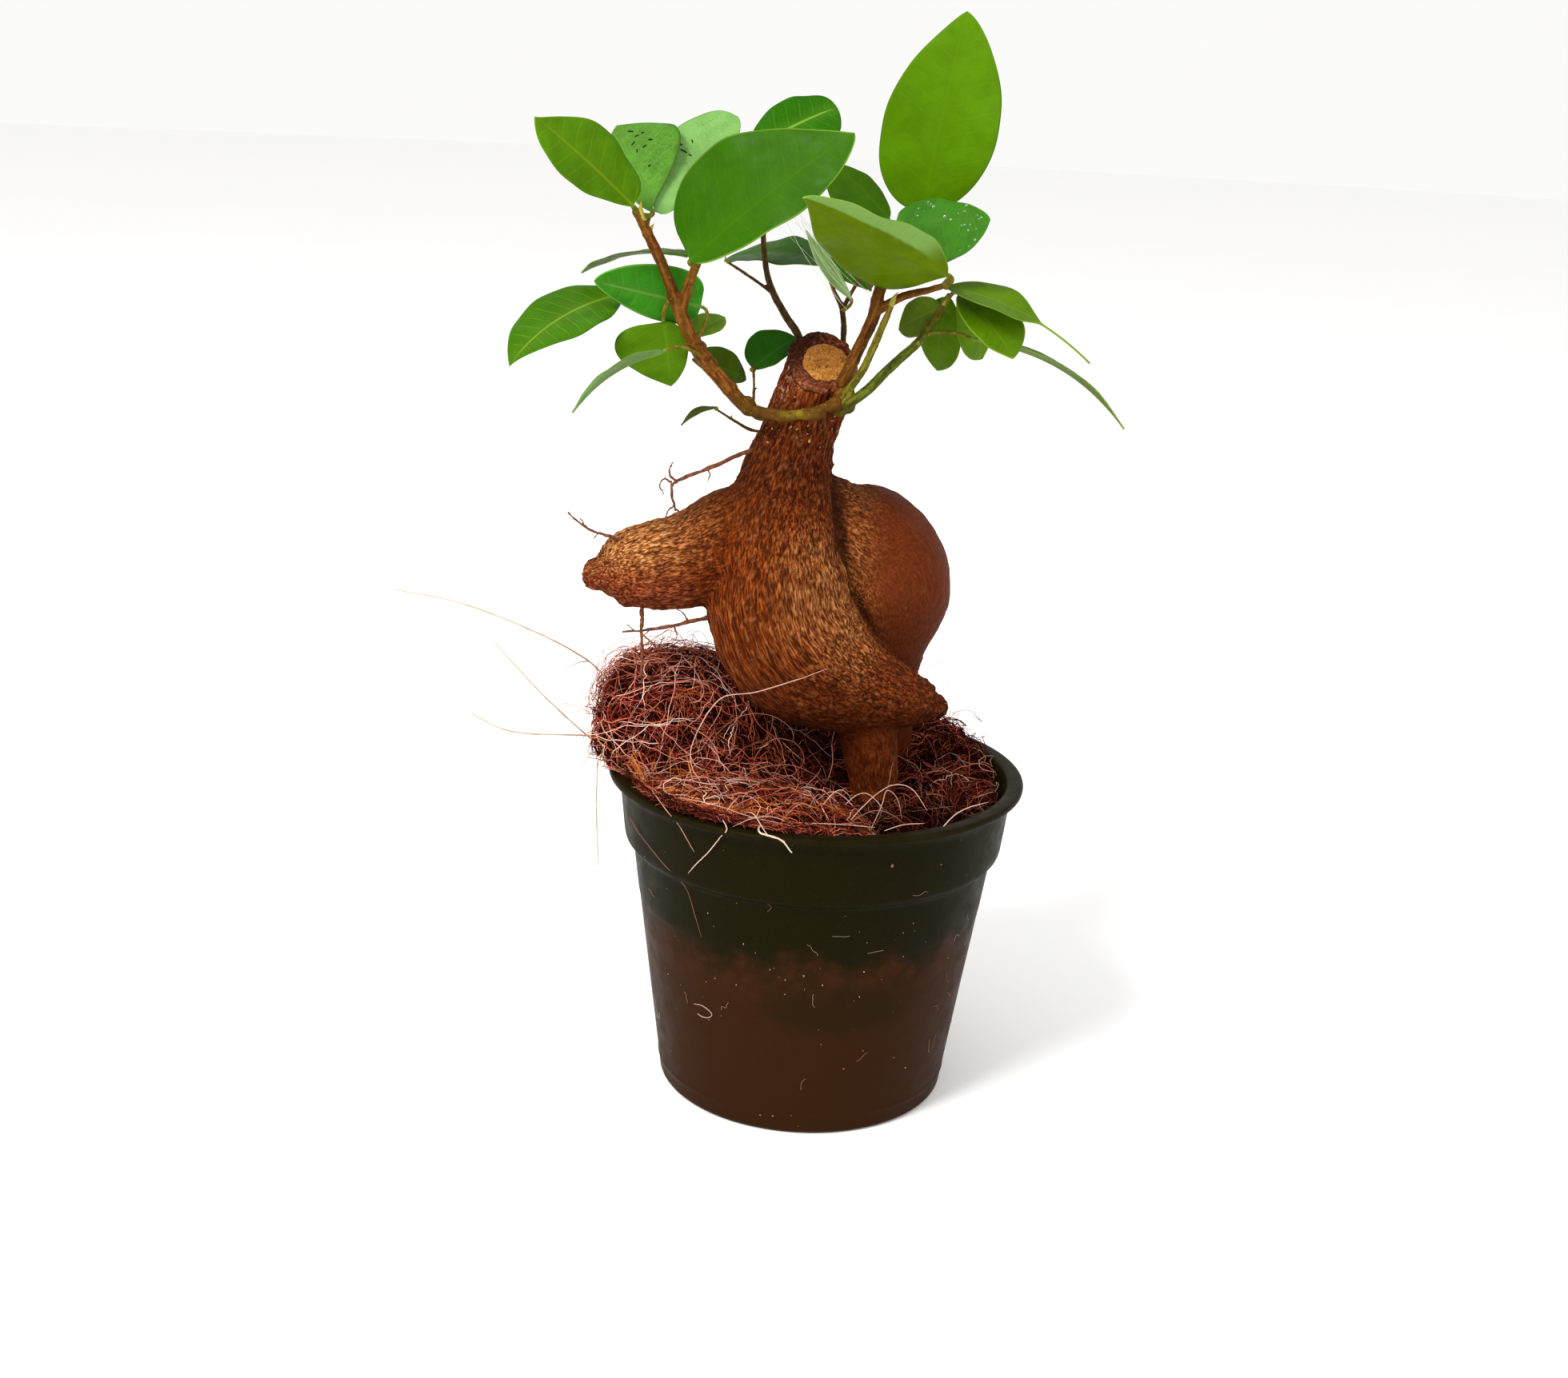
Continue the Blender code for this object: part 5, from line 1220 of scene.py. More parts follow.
def lay_fibres(bvh, rng, starts, steps, step, curl, wobble, low, high, arch, bias=None):
    """Walk fibres over the coir. Returns their centre lines (n, steps, 3) and the surface normals."""
    lines = np.zeros((len(starts), steps, 3))
    norms = np.zeros((len(starts), steps, 3))
    for i, s in enumerate(starts):
        loc, nor, _, _ = bvh.find_nearest(Vector(s))
        head = Vector(rng.normal(size=3))
        if bias is not None:
            head = head + Vector(bias)
        head = (head - nor * head.dot(nor)).normalized()
        off = rng.uniform(low, high)
        rise = rng.uniform(0, arch) * (1 if rng.random() < .6 else .2)
        turn = rng.normal() * curl
        p = loc
        st = step * rng.uniform(.7, 1.3)
        slope = rng.normal() * .12
        for k in range(steps):
            f = k / (steps - 1)
            h = off + rise * math.sin(math.pi * f) + slope * k * st * .5
            lines[i, k] = p + nor * max(h, -.2)
            norms[i, k] = nor
            turn = turn * .82 + rng.normal() * wobble
            head = (head * math.cos(turn) + nor.cross(head) * math.sin(turn)).normalized()
            want = p + head * st
            loc, nor2, _, dist = bvh.find_nearest(want)
            if dist > st * .75:
                turn = 1.9 if rng.random() < .5 else -1.9
            p = loc
            nor = (nor * .55 + nor2 * .45).normalized()
            head = (head - nor * head.dot(nor))
            head = head.normalized() if head.length > 1e-6 else Vector((1, 0, 0))
    return lines, norms


def keep_in_pot(pts):
    """Below the rim's top, fibres stay inside the wall."""
    flat = pts.reshape(-1, 3)
    r = np.linalg.norm(flat[:, :2], axis=1)
    low = flat[:, 2] < POT_HEIGHT + .25
    limit = np.interp(flat[:, 2], [1.0, BODY_TOP_Z + 1.2, BAND_FOOT_Z + .3, POT_HEIGHT],
                      [BASE_RADIUS - WALL, BODY_TOP_RADIUS - WALL, BAND_FOOT_RADIUS - WALL, BAND_TOP_RADIUS - WALL]) - .35
    over = low & (r > limit)
    scale = np.where(over, limit / np.maximum(r, 1e-6), 1.0)
    flat[:, :2] *= scale[:, None]
    return flat.reshape(pts.shape)


def build_coir():
    bvh, cen, area = build_core()
    rng = np.random.default_rng(77)

    def pick(n, weight):
        w = area * weight
        return cen[rng.choice(len(cen), n, p=w / w.sum())] + rng.normal(size=(n, 3)) * .25

    x, y, z = cen.T
    shown = np.where(y < 12, 1.0, .62)
    left = np.exp(-((x + 22) / 15) ** 2) + .25
    front = np.exp(-((y + 18) / 12) ** 2) * np.exp(-((x + 6) / 16) ** 2) + .12
    right = np.exp(-((x - 20) / 10) ** 2)
    clump = np.exp(-((x - 23) / 8) ** 2 - ((y - 6) / 9) ** 2)
    hollow = np.exp(-((x + 2) / 9) ** 2 - ((y + 7) / 7) ** 2)
    open_left = shown * left * (1 - .6 * hollow)
    pale_left = open_left * (np.exp(-((x + 26) / 14) ** 2) + .10)

    def fibre_piece(name, groups, stops, rough=.85, streak=.34, shaded=1.0):
        parts = []
        for lines, rad, sides, tone in groups:
            lines = keep_in_pot(lines)
            k = lines.shape[1]
            taper = np.interp(np.linspace(0, 1, k), [0, .12, .8, 1], [.55, 1, .9, .3])
            r = rad[:, None] * taper[None, :] * rng.uniform(.8, 1.2, (len(rad), k))
            v, q, t, own = tubes(lines, r, sides)
            # painted shade: darker over the hollow in front of the trunk's foot and the hollow at the right front, and
            # darker in random patches
            hollow_shade_and_patches = .80 * np.exp(-((v[:, 0] + 5.5) / 7.0) ** 2 - ((v[:, 1] + 10.5) / 5.6) ** 2)
            hollow_shade_and_patches += .62 * np.exp(-((v[:, 0] - 19.5) / 6.5) ** 2 - ((v[:, 1] + 13.0) / 7.5) ** 2)
            patches = vnoise(v / 2.6, 91)
            hollow_shade_and_patches = np.clip(hollow_shade_and_patches + .62 * np.clip((.47 - patches) / .20, 0, 1), 0, .86)
            parts.append((v, q, t, {"tone": np.clip(tone[own] + rng.normal(size=len(v)) * .03, 0, 1), "hollow_shade_and_patches": hollow_shade_and_patches}))
        v, q, t, a = merge(parts)
        look = Look(name + "_look", rough, .05)
        c = look.ramp(look.math('ADD', look.attr("tone"), look.math('MULTIPLY', look.math(
            'SUBTRACT', look.noise(1.1, 4, .65), .5), streak * 2), clamp=True), *stops)
        # painted shade: fibres darker low down in the pot and low on the right side, times the shade of the hollows and
        # patches
        painted_shade_factor = look.span(look.axis(2), .0440, .0520, .30, 1.0)
        far_side_shade = look.math('MULTIPLY', look.span(look.axis(0), .002, .014), look.span(look.axis(2), .0600, .0530))
        painted_shade_factor = look.math('MULTIPLY', painted_shade_factor, look.math('SUBTRACT', 1.0, look.math('MULTIPLY', far_side_shade, .50)))
        painted_shade_factor = look.math('MULTIPLY', painted_shade_factor, look.math('SUBTRACT', 1.0, look.math('MULTIPLY', look.attr("hollow_shade_and_patches"), shaded)))
        look.base(look.times(c, painted_shade_factor))
        look.bump(look.noise(.12, 2), .35, .03)
        ob = piece(name, v, q, t, [look.mat], a)
        place(ob, "coir_fibre")
        return ob

    def group(n, weight, steps, step, curl, wobble, low, high, arch, rad, sides, bias=None):
        lines, norms = lay_fibres(bvh, rng, pick(n, weight), steps, step, curl, wobble, low, high, arch, bias)
        lines = lines + rng.normal(size=lines.shape) * min(.12, step * .10)
        return lines, rng.uniform(rad[0], rad[1], n), sides, rng.random(n)

    def sprigs(n, weight, steps, step, spread_out, rad, sides, tone=(0, 1)):
        """Short fibres that stand off the coir in all directions."""
        start = pick(n, weight)
        lines = np.zeros((n, steps, 3))
        for i in range(n):
            loc, nor, _, _ = bvh.find_nearest(Vector(start[i]))
            head = (Vector(rng.normal(size=3)) * spread_out + nor).normalized()
            if head.dot(nor) < .1:
                head = (head + nor * .8).normalized()
            p = loc - nor * .3
            bend = Vector(rng.normal(size=3)) * .22
            st = step * rng.uniform(.6, 1.4)
            for k in range(steps):
                lines[i, k] = p
                p = p + head * st
                head = (head + bend + Vector(rng.normal(size=3)) * .16).normalized()
        return lines, rng.uniform(rad[0], rad[1], n), sides, rng.uniform(tone[0], tone[1], n)

    # dark red-brown mat
    fibre_piece("coir_fibres_dark", [
        group(1500, shown, 9, 1.0, .04, .09, -.15, .8, .7, (.070, .13), 3),
        sprigs(420, shown, 5, .55, 1.2, (.06, .11), 3)],
        [(0, (.0045, .0007, .0005)), (.35, (.0190, .0024, .0014)), (.65, (.068, .0088, .0048)), (1, (.190, .030, .017))])
    fibre_piece("coir_fibres_brown", [
        group(1250, open_left + shown * front * .6, 10, 1.0, .03, .07, .1, 1.3, 1.3, (.055, .10), 3),
        group(430, (right * .4 + clump * 2.2) * shown, 8, .85, .08, .15, .2, 1.9, 1.7, (.060, .11), 3),
        sprigs(460, open_left, 6, .50, 1.4, (.05, .09), 3),
        sprigs(300, clump * shown, 7, .56, 1.2, (.05, .09), 3)],
        [(0, (.0200, .0020, .0013)), (.4, (.098, .0090, .0056)), (.72, (.400, .0520, .0320)), (1, (.80, .205, .140))])
    # rust and orange coir threads, thickest in a knot at the front
    knots = np.array([(-16.2, -21.5, 55.6), (-11.4, -24.6, 54.4), (-21.6, -16.0, 57.6), (-26.8, -15.2, 55.6)])
    n_knot = 520
    knot = np.zeros((n_knot, 7, 3))
    for i in range(n_knot):
        way = unit(rng.normal(size=3) * np.array([1, .75, .50]) + np.array([0, -.1, .22]))
        p = knots[min(3, int(rng.random() ** 1.4 * 4))] + rng.normal(size=3) * np.array([1.1, .9, .35])
        bend = rng.normal(size=3) * .18
        for k in range(7):
            knot[i, k] = p
            p = p + way * rng.uniform(.5, .9)
            way = unit(way + bend + rng.normal(size=3) * .12 + np.array([0, 0, -.06]))
        for k in range(7):
            loc, nor, _, _ = bvh.find_nearest(Vector(knot[i, k]))
            gap = (Vector(knot[i, k]) - loc).dot(nor)
            if gap < .15 or gap > 1.3:
                knot[i, k] = np.array(loc + nor * rng.uniform(.15, 1.1))
    n_lip = 420
    lip = np.zeros((n_lip, 8, 3))
    for i in range(n_lip):
        a0 = math.radians(rng.triangular(186, 236, 284))
        out = rng.uniform(-1.4, .5) + 1.0 * math.exp(-((math.degrees(a0) - 228) / 26) ** 2)
        along = rng.choice((-1, 1)) * rng.uniform(.25, 1.0)
        z0 = POT_HEIGHT + rng.uniform(.22, 1.3)
        rad_i = RIM_RADIUS - 2.3 + out
        droop = rng.uniform(-.02, .30)
        for k in range(8):
            r_k = min(rad_i + rng.uniform(.05, .30) * k * (1 - abs(along)) + rng.normal() * .10, RIM_RADIUS + .7)
            z_k = z0 + .5 * math.sin(k / 7 * math.pi) * rng.uniform(.6, 1.0) - droop * max(0, r_k - RIM_RADIUS + .6)
            lip[i, k] = (r_k * math.cos(a0 + along * k * .022), r_k * math.sin(a0 + along * k * .022), max(z_k, POT_HEIGHT + .16))
    fibre_piece("coir_fibres_rim", [
        (lip[:210], rng.uniform(.060, .110, 210), 3, rng.uniform(0, .45, 210)),
        (lip[210:340], rng.uniform(.050, .090, 130), 3, rng.uniform(.35, .8, 130)),
        (lip[340:], rng.uniform(.040, .070, 80), 3, rng.uniform(.7, 1.0, 80))],
        [(0, (.0120, .0018, .0010)), (.4, (.080, .0100, .0058)), (.72, (.290, .0480, .0240)), (1, (.66, .21, .12))])
    fibre_piece("coir_fibres_rust", [
        group(440, shown * front, 10, .95, .04, .09, .3, 1.6, 1.6, (.050, .09), 3),
        group(300, open_left, 10, .95, .04, .09, .4, 1.5, 1.6, (.050, .09), 3),
        group(150, shown * clump, 8, .80, .12, .26, .4, 1.5, 1.2, (.055, .10), 3),
        sprigs(300, shown * front, 6, .50, 1.4, (.05, .085), 3),
        (knot, rng.uniform(.055, .095, n_knot), 3, rng.uniform(.68, 1.0, n_knot))],
        [(0, (.060, .0070, .0022)), (.45, (.200, .0260, .0055)), (.8, (.58, .140, .026)), (1, (.92, .33, .075))], .8, .25, .45)
    # pale living rootlets: thin, fairly straight, crossing every way
    fibre_piece("coir_fibres_pale", [
        group(400, pale_left, 13, 1.10, .02, .05, .7, 2.1, 2.4, (.046, .078), 3),
        group(48, shown * front, 13, 1.15, .02, .05, .8, 2.4, 2.6, (.048, .080), 3),
        group(70, shown * (hollow * .5 + clump), 12, .85, .12, .18, .8, 2.4, 2.6, (.045, .080), 3),
        group(46, right * shown + .02, 10, .95, .08, .16, .5, 1.6, 1.6, (.045, .075), 3),
        sprigs(230, open_left, 10, .78, 1.5, (.032, .055), 3)],
        [(0, (.200, .030, .017)), (.30, (.430, .085, .050)), (.60, (.700, .250, .170)), (.85, (.88, .50, .40)),
         (1, (.98, .78, .68))], .6, .30, .35)
    build_loops()
    build_crumbs(bvh, pick, shown, rng)


def build_loops():
    """The long strands and loops that stand out in front, over the rim and on the trunk."""
    rng = np.random.default_rng(9)

    def pot(deg, z, off):
        return tuple(on_pot(deg, z, off))
    strands = [
        # along the trunk's lower front
        ([(-17.8, -17.0, 62.6), (-16.4, -15.5, 65.2), (-14.2, -13.9, 67.3), (-9.9, -13.0, 67.9), (-4.8, -12.6, 69.6), (.8, -11.9, 71.8)], .15, .85),
        ([(-17.8, -17.0, 62.6), (-18.6, -18.4, 60.0), (-18.2, -19.0, 57.4), (-16.8, -19.4, 55.4)], .14, .8),
        # against the foot of the leg
        ([(2.3, -3.0, 57.1), (2.7, -4.0, 59.5), (4.6, -4.6, 61.2), (7.6, -4.6, 62.2), (10.9, -4.2, 62.4)], .13, .6),
        ([(2.3, -3.0, 57.1), (2.6, -3.6, 54.0), (2.0, -4.4, 51.5)], .12, .6),
        # loops at the right front
        ([(5.5, -24.0, 52.5), (7.2, -22.0, 54.0), (9.7, -18.4, 55.2), (11.9, -17.2, 56.0), (14.5, -17.0, 55.4), (16.9, -19.0, 52.8)], .13, .9),
        ([(8.6, -23.5, 51.0), (10.0, -22.2, 54.4), (10.6, -21.6, 56.6), (12.2, -21.0, 55.2), (13.2, -20.6, 51.8)], .11, .8),
        ([(19.0, -25.4, 52.9), (20.2, -24.2, 53.9), (22.6, -21.6, 54.6), (26.0, -17.6, 54.2)], .13, .95),
        ([(10.4, -27.8, 52.6), (13.0, -27.2, 53.4), (16.2, -26.2, 53.5)], .11, .9),
        # over the rim and down the wall
        ([(-14.5, -25.0, 53.6), pot(-112, 52.6, .2), pot(-115.5, 50.2, .5), pot(-119, 47.6, .3), pot(-124, 44.6, .16), pot(-126.8, 42.7, .12)], .15, .95),
        ([(-24.0, -20.6, 54.2), pot(-131, 52.7, .2), pot(-128.6, 50.2, .5), pot(-126, 48.0, .25), pot(-124.2, 46.6, .12)], .13, .7),
        ([pot(-157, 46.5, .2), pot(-151, 45.2, .15), pot(-144.5, 44.2, .15), pot(-136.7, 42.4, .15), pot(-130.1, 39.6, .3), pot(-126.5, 35.5, .5), pot(-124.5, 32.0, .35)], .09, .45),
        ([(-9.8, -26.5, 53.8), (-8.4, -29.6, 54.6), pot(-101, 53.0, .9), pot(-98, 52.3, .6), pot(-95, 50.7, .25)], .13, .95),
        ([(-20.0, -22.4, 54.0), (-14.0, -26.6, 54.6), (-8.5, -29.0, 54.0), (-3.0, -29.4, 53.2)], .13, .8),
        ([(-2.0, -27.6, 53.0), (3.4, -28.4, 53.4), (9.0, -28.2, 53.2)], .12, .9),
        # big loops in the hollow
        ([(-14.8, -14.5, 57.0), (-15.6, -13.8, 60.2), (-12.0, -13.4, 63.8), (-7.8, -13.6, 64.6), (-4.2, -13.6, 62.8), (-3.4, -13.8, 60.6)], .075, .48),
        ([(-8.4, -15.2, 55.0), (-9.2, -14.6, 58.0), (-6.6, -14.2, 61.0), (-3.2, -14.0, 60.6), (-1.8, -14.2, 58.0), (-3.4, -14.4, 55.6)], .07, .52),
        ([(-12.0, -17.6, 54.6), (-8.6, -17.2, 57.2), (-4.2, -16.6, 58.0), (-.6, -15.8, 56.6), (1.8, -14.8, 54.4)], .08, .50),
        # small curls by the knob
        ([(16.0, -.4, 68.0), (16.6, .0, 69.4), (18.4, 0, 70.4), (19.9, 0, 69.0), (19.8, 0, 67.2), (19.0, 0, 66.2)], .06, .7),
        ([(19.4, .6, 63.6), (20.8, .2, 64.0), (21.6, 0, 65.2), (21.4, 0, 66.6)], .055, .7),
        ([(19.0, .6, 62.4), (21.0, 0, 62.0), (22.4, -.4, 62.8)], .055, .8),
        # thin wisps off the left side of the mound
        ([(-36.0, -3.0, 60.4), (-39.6, -4.6, 60.0), (-42.4, -5.6, 58.4)], .06, .6),
        ([(-35.4, .0, 63.0), (-38.4, -1.6, 64.2), (-41.4, -3.0, 62.8), (-44.6, -4.0, 59.6)], .05, .6),
        ([(-36.0, -4.4, 57.4), (-38.6, -6.0, 55.8), (-39.4, -7.0, 53.0)], .06, .5),
        ([(-34.6, -6.8, 55.0), (-35.8, -8.6, 53.2), (-35.0, -10.6, 51.6)], .07, .6),
        ([(-33.0, 6.0, 65.0), (-34.6, 5.0, 67.0), (-34.0, 4.0, 69.0)], .07, .5),
        ([(-26.6, 2.0, 65.6), (-26.8, 1.2, 68.4), (-25.0, .6, 70.6), (-22.6, 0.0, 71.2)], .08, .35),
        ([(-20.0, 2.6, 64.6), (-18.0, 1.6, 67.4), (-15.6, .8, 69.6)], .08, .35),
    ]
    for _ in range(26):                # long arcs that stand clear of the mat
        a0 = math.radians(rng.uniform(178, 300))
        rad0, span_a = rng.uniform(15, 29), rng.uniform(.10, .34) * rng.choice((-1, 1))
        lift, out = rng.uniform(.8, 2.8), rng.uniform(-3.5, 3.5)
        arc = []
        for f in (0, .25, .5, .75, 1):
            rr, aa = rad0 + out * f, a0 + span_a * f
            cx, cy = rr * math.cos(aa), rr * math.sin(aa)
            arc.append((cx, cy, max(float(soil_height(cx, cy)), POT_HEIGHT + .2) + .3 + lift * math.sin(math.pi * f)))
        strands.append((arc, rng.uniform(.070, .120), rng.uniform(.45, 1.0)))
    parts = []
    for pts, r, tone in strands:
        path = smooth_path(pts, 9)
        jit = np.cumsum(rng.normal(size=path.shape), axis=0) * .012
        jit -= np.linspace(0, 1, len(path))[:, None] * jit[-1]
        path = path + jit
        rad = r * .58 * np.interp(np.linspace(0, 1, len(path)), [0, .06, .85, 1], [.7, 1, .9, .35])
        v, q, t, _ = tubes(path[None], rad[None], 6)
        parts.append((v, q, t, {"tone": tone + rng.normal(size=len(v)) * .02}))
    v, q, t, a = merge(parts)
    look = Look("strand_look", .55, .2)
    look.base(look.ramp(look.math('ADD', look.attr("tone"), look.math('MULTIPLY', look.math(
        'SUBTRACT', look.noise(1.2, 3), .5), .35), clamp=True),
        (0, (.060, .014, .008)), (.35, (.150, .042, .024)), (.65, (.360, .145, .095)), (1, (.64, .42, .34))))
    look.bump(look.noise(.2, 2), .3, .03)
    place(piece("long_strands", v, q, t, [look.mat], a), "coir_fibre")


def build_crumbs(bvh, pick, shown, rng):
    """Crumbs of coir pith among the fibres."""
    ico = bmesh.new()
    bmesh.ops.create_icosphere(ico, subdivisions=1, radius=1.0)
    uv = np.array([v.co for v in ico.verts])
    ut = np.array([[v.index for v in f.verts] for f in ico.faces])
    ico.free()
    n = 900
    at = pick(n, shown)
    parts = []
    for p in at:
        loc, nor, _, _ = bvh.find_nearest(Vector(p))
        r = rng.uniform(.16, .50)
        c = np.array(loc) + np.array(nor) * rng.uniform(-.1, .5)
        v = c + uv * rng.uniform(.6, 1.25, (len(uv), 1)) * r * rng.uniform(.6, 1.2, 3)
        parts.append((keep_in_pot(v), np.zeros((0, 4)), ut, {"tone": rng.random()}))
    v, q, t, a = merge(parts)
    look = Look("coir_crumb", .95, .05)
    look.base(look.ramp(look.attr("tone"), (0, (.006, .0011, .0007)), (.6, (.040, .0075, .0040)), (1, (.16, .038, .016))))
    look.bump(look.noise(.3, 4), .6, .1)
    place(piece("coir_crumbs", v, q, t, [look.mat], a, smooth=False), "coir")


# ================================================================ shoots
def bark_tones(kind):
    if kind == "green":
        return ((.026, .030, .0016), (.058, .070, .0040), (.115, .130, .0100))
    if kind == "olive":
        return ((.052, .040, .0022), (.110, .092, .0060), (.190, .165, .0180))
    if kind == "dark":
        return ((.016, .0090, .0020), (.044, .0210, .0045), (.095, .0480, .0120))
    return ((.055, .0150, .0016), (.118, .0370, .0036), (.205, .0760, .0100))


def build_shoots():
    kinds = {"shoot_left": "brown", "shoot_back_left": "dark", "shoot_back_middle": "dark", "shoot_right_main": "brown",
             "shoot_right_olive": "olive", "shoot_right_green": "green", "twig_low_left": "dark", "sprout_low_left": "dark"}
    # where the thin shoots come out of the bark
    rooted = {"shoot_back_left": (-4.6, 4.2, 108.2, 1.0), "shoot_back_middle": (-1.0, 3.8, 108.8, .85),
              "sprout_low_left": (-9.6, -2.0, 104.6, .34), "twig_low_left": (-9.2, -.9, 107.4, .30)}
    for name, runs in SHOOTS.items():
        rng = random.Random(name)
        limbs = []
        lumps = []
        for ri, run in enumerate(runs):
            if ri == 0 and name in rooted:
                run = [rooted[name]] + list(run)
            path = smooth_path(run, 6)
            pts = []
            dist = 0.0
            next_node = rng.uniform(3.0, 4.5)
            for i, p in enumerate(path):
                if i:
                    dist += np.linalg.norm(p[:3] - path[i - 1][:3])
                r = p[3]
                pts.append((*p[:3], r))
                if dist > next_node and i < len(path) - 2:
                    next_node += rng.uniform(3.2, 5.2)
                    lumps.append((*p[:3], r * 1.09, r * 1.09, r * .9))
            tip = path[-1][:3] + unit(path[-1][:3] - path[-3][:3]) * 1.0
            pts.append((*tip, path[-1][3] * .55))
            limbs.append(pts)
        if name == "shoot_left":       # the swollen band across the neck
            limbs[0] = [(*p[:3], p[3] * (.86 if p[0] > -12.0 and p[2] < 112.0 else 1.0)) for p in limbs[0]]
            lumps += [(-.6, -7.0, 110.2, 1.6, .8, .8), (-3.8, -6.8, 108.9, 2.2, .9, .95), (-7.6, -6.4, 108.4, 2.0, 1.0, 1.0),
                      (-10.8, -5.6, 108.4, 1.5, 1.0, 1.0), (-12.9, -6.1, 109.6, 1.25, 1.15, 1.5)]
        if name == "shoot_right_main":
            lumps += [(1.5, -4.2, 113.4, 1.2, 1.1, 1.7), (1.0, -4.5, 111.4, 1.5, 1.1, 1.5), (.2, -4.8, 110.2, 1.5, 1.0, 1.2)]
        if name == "shoot_right_olive":
            lumps += [(1.8, -5.8, 112.0, .95, .9, 1.5), (.9, -5.9, 110.6, 1.0, .9, 1.1)]
        if name == "shoot_right_green":
            lumps += [(1.8, -6.2, 110.2, 1.1, 1.0, 1.0), (.6, -6.2, 109.6, 1.2, .9, .9)]
        for leaf in LEAVES.values():   # leaf scars and stalk cushions
            p = leaf[0]
            near, girth = min((float(np.linalg.norm(q[:3] - np.array(p))), float(q[3])) for run in runs
                              for q in smooth_path(run, 4))
            if near < 1.5:
                lumps.append((*p, girth * 1.16, girth * 1.16, girth * 1.10))
        voxel = .17 if name not in ("twig_low_left", "sprout_low_left") else .13
        me = remeshed(name + "_bark", [[tuple(p) for p in l] for l in limbs], 14, voxel, 5, per_span=2, lumps=lumps)
        co, nor = coords(me), normals(me)
        grain, _ = flow(co, runs, 5)
        grain = unit(grain - nor * (grain * nor).sum(1, keepdims=True))
        fine = spread(streaks(co, grain, .30, 1.2, 4, 71), .25)
        ringed = vnoise(np.stack([(co * grain).sum(1) / .55, co[:, 0] / 6, co[:, 2] / 6], 1), 72)
        co = co + nor * ((fine - .5) * .07 + (fbm(co / .9, 2, 73) - .5) * .11 + (ringed - .5) * .04)[:, None]
        tip_d = np.full(len(co), 99.0)
        for run in runs:
            tip_d = np.minimum(tip_d, np.linalg.norm(co - np.array(run[-1][:3]), axis=1))
        young = np.exp(-(tip_d / 4.0) ** 2)
        band = np.zeros(len(co))
        # band: a narrow strip along the swollen band across the neck, painted as a yellow-green highlight
        if name == "shoot_left":
            band = np.exp(-((co[:, 0] + 6.0) / 2.0) ** 2 - ((co[:, 2] - 109.2) / .9) ** 2)
        foot = np.clip((112.5 - co[:, 2]) / 3.0, 0, 1)
        me.vertices.foreach_set("co", (co * MM).astype(np.float32).ravel())
        for key, val in {"fine": fine, "young": young, "band": band, "foot": foot}.items():
            me.attributes.new(key, 'FLOAT', 'POINT').data.foreach_set("value", val.astype(np.float32))
        me.polygons.foreach_set("use_smooth", np.ones(len(me.polygons), bool))
        dark, mid, light = bark_tones(kinds[name])
        look = Look(name + "_look", .55, .06)
        tone = look.math('ADD', look.math('MULTIPLY', look.attr("fine"), .55), look.math('MULTIPLY', look.noise(.9, 3), .45))
        col = look.ramp(tone, (.30, dark), (.52, mid), (.78, light))
        patch = look.span(look.noise(2.6, 3), .45, .62)
        col = look.mix(look.math('MULTIPLY', patch, .30), col, tuple(c * f for c, f in zip(mid, (.80, 1.25, 1.0))))
        col = look.mix(look.math('MULTIPLY', look.attr("young"), .35), col, (.150, .072, .0060))
        col = look.mix(look.math('MULTIPLY', look.attr("foot"), look.span(look.noise(1.8, 4, .65), .25, .75, .35, .95)), col, (.052, .028, .0020))
        # painted highlight: yellow-green along the band
        col = look.mix(look.math('MULTIPLY', look.math('MULTIPLY', look.attr("band"), look.span(look.noise(1.2, 3), .35, .60)), .70), col, (.230, .170, .0100))
        dots = look.span(look.cells(.9), .14, .08)
        col = look.mix(look.math('MULTIPLY', dots, .6), col, tuple(min(1, c * 1.9 + .02) for c in light))
        look.base(col)
        look.bump(look.noise(.22, 3), .5, .06)
        me.materials.clear()
        me.materials.append(look.mat)
        ob = bpy.data.objects.new(name + "_bark", me)
        bpy.context.scene.collection.objects.link(ob)
        place(ob, "green_shoot" if kinds[name] in ("green", "olive") else "brown_shoot", name)
    build_buds()


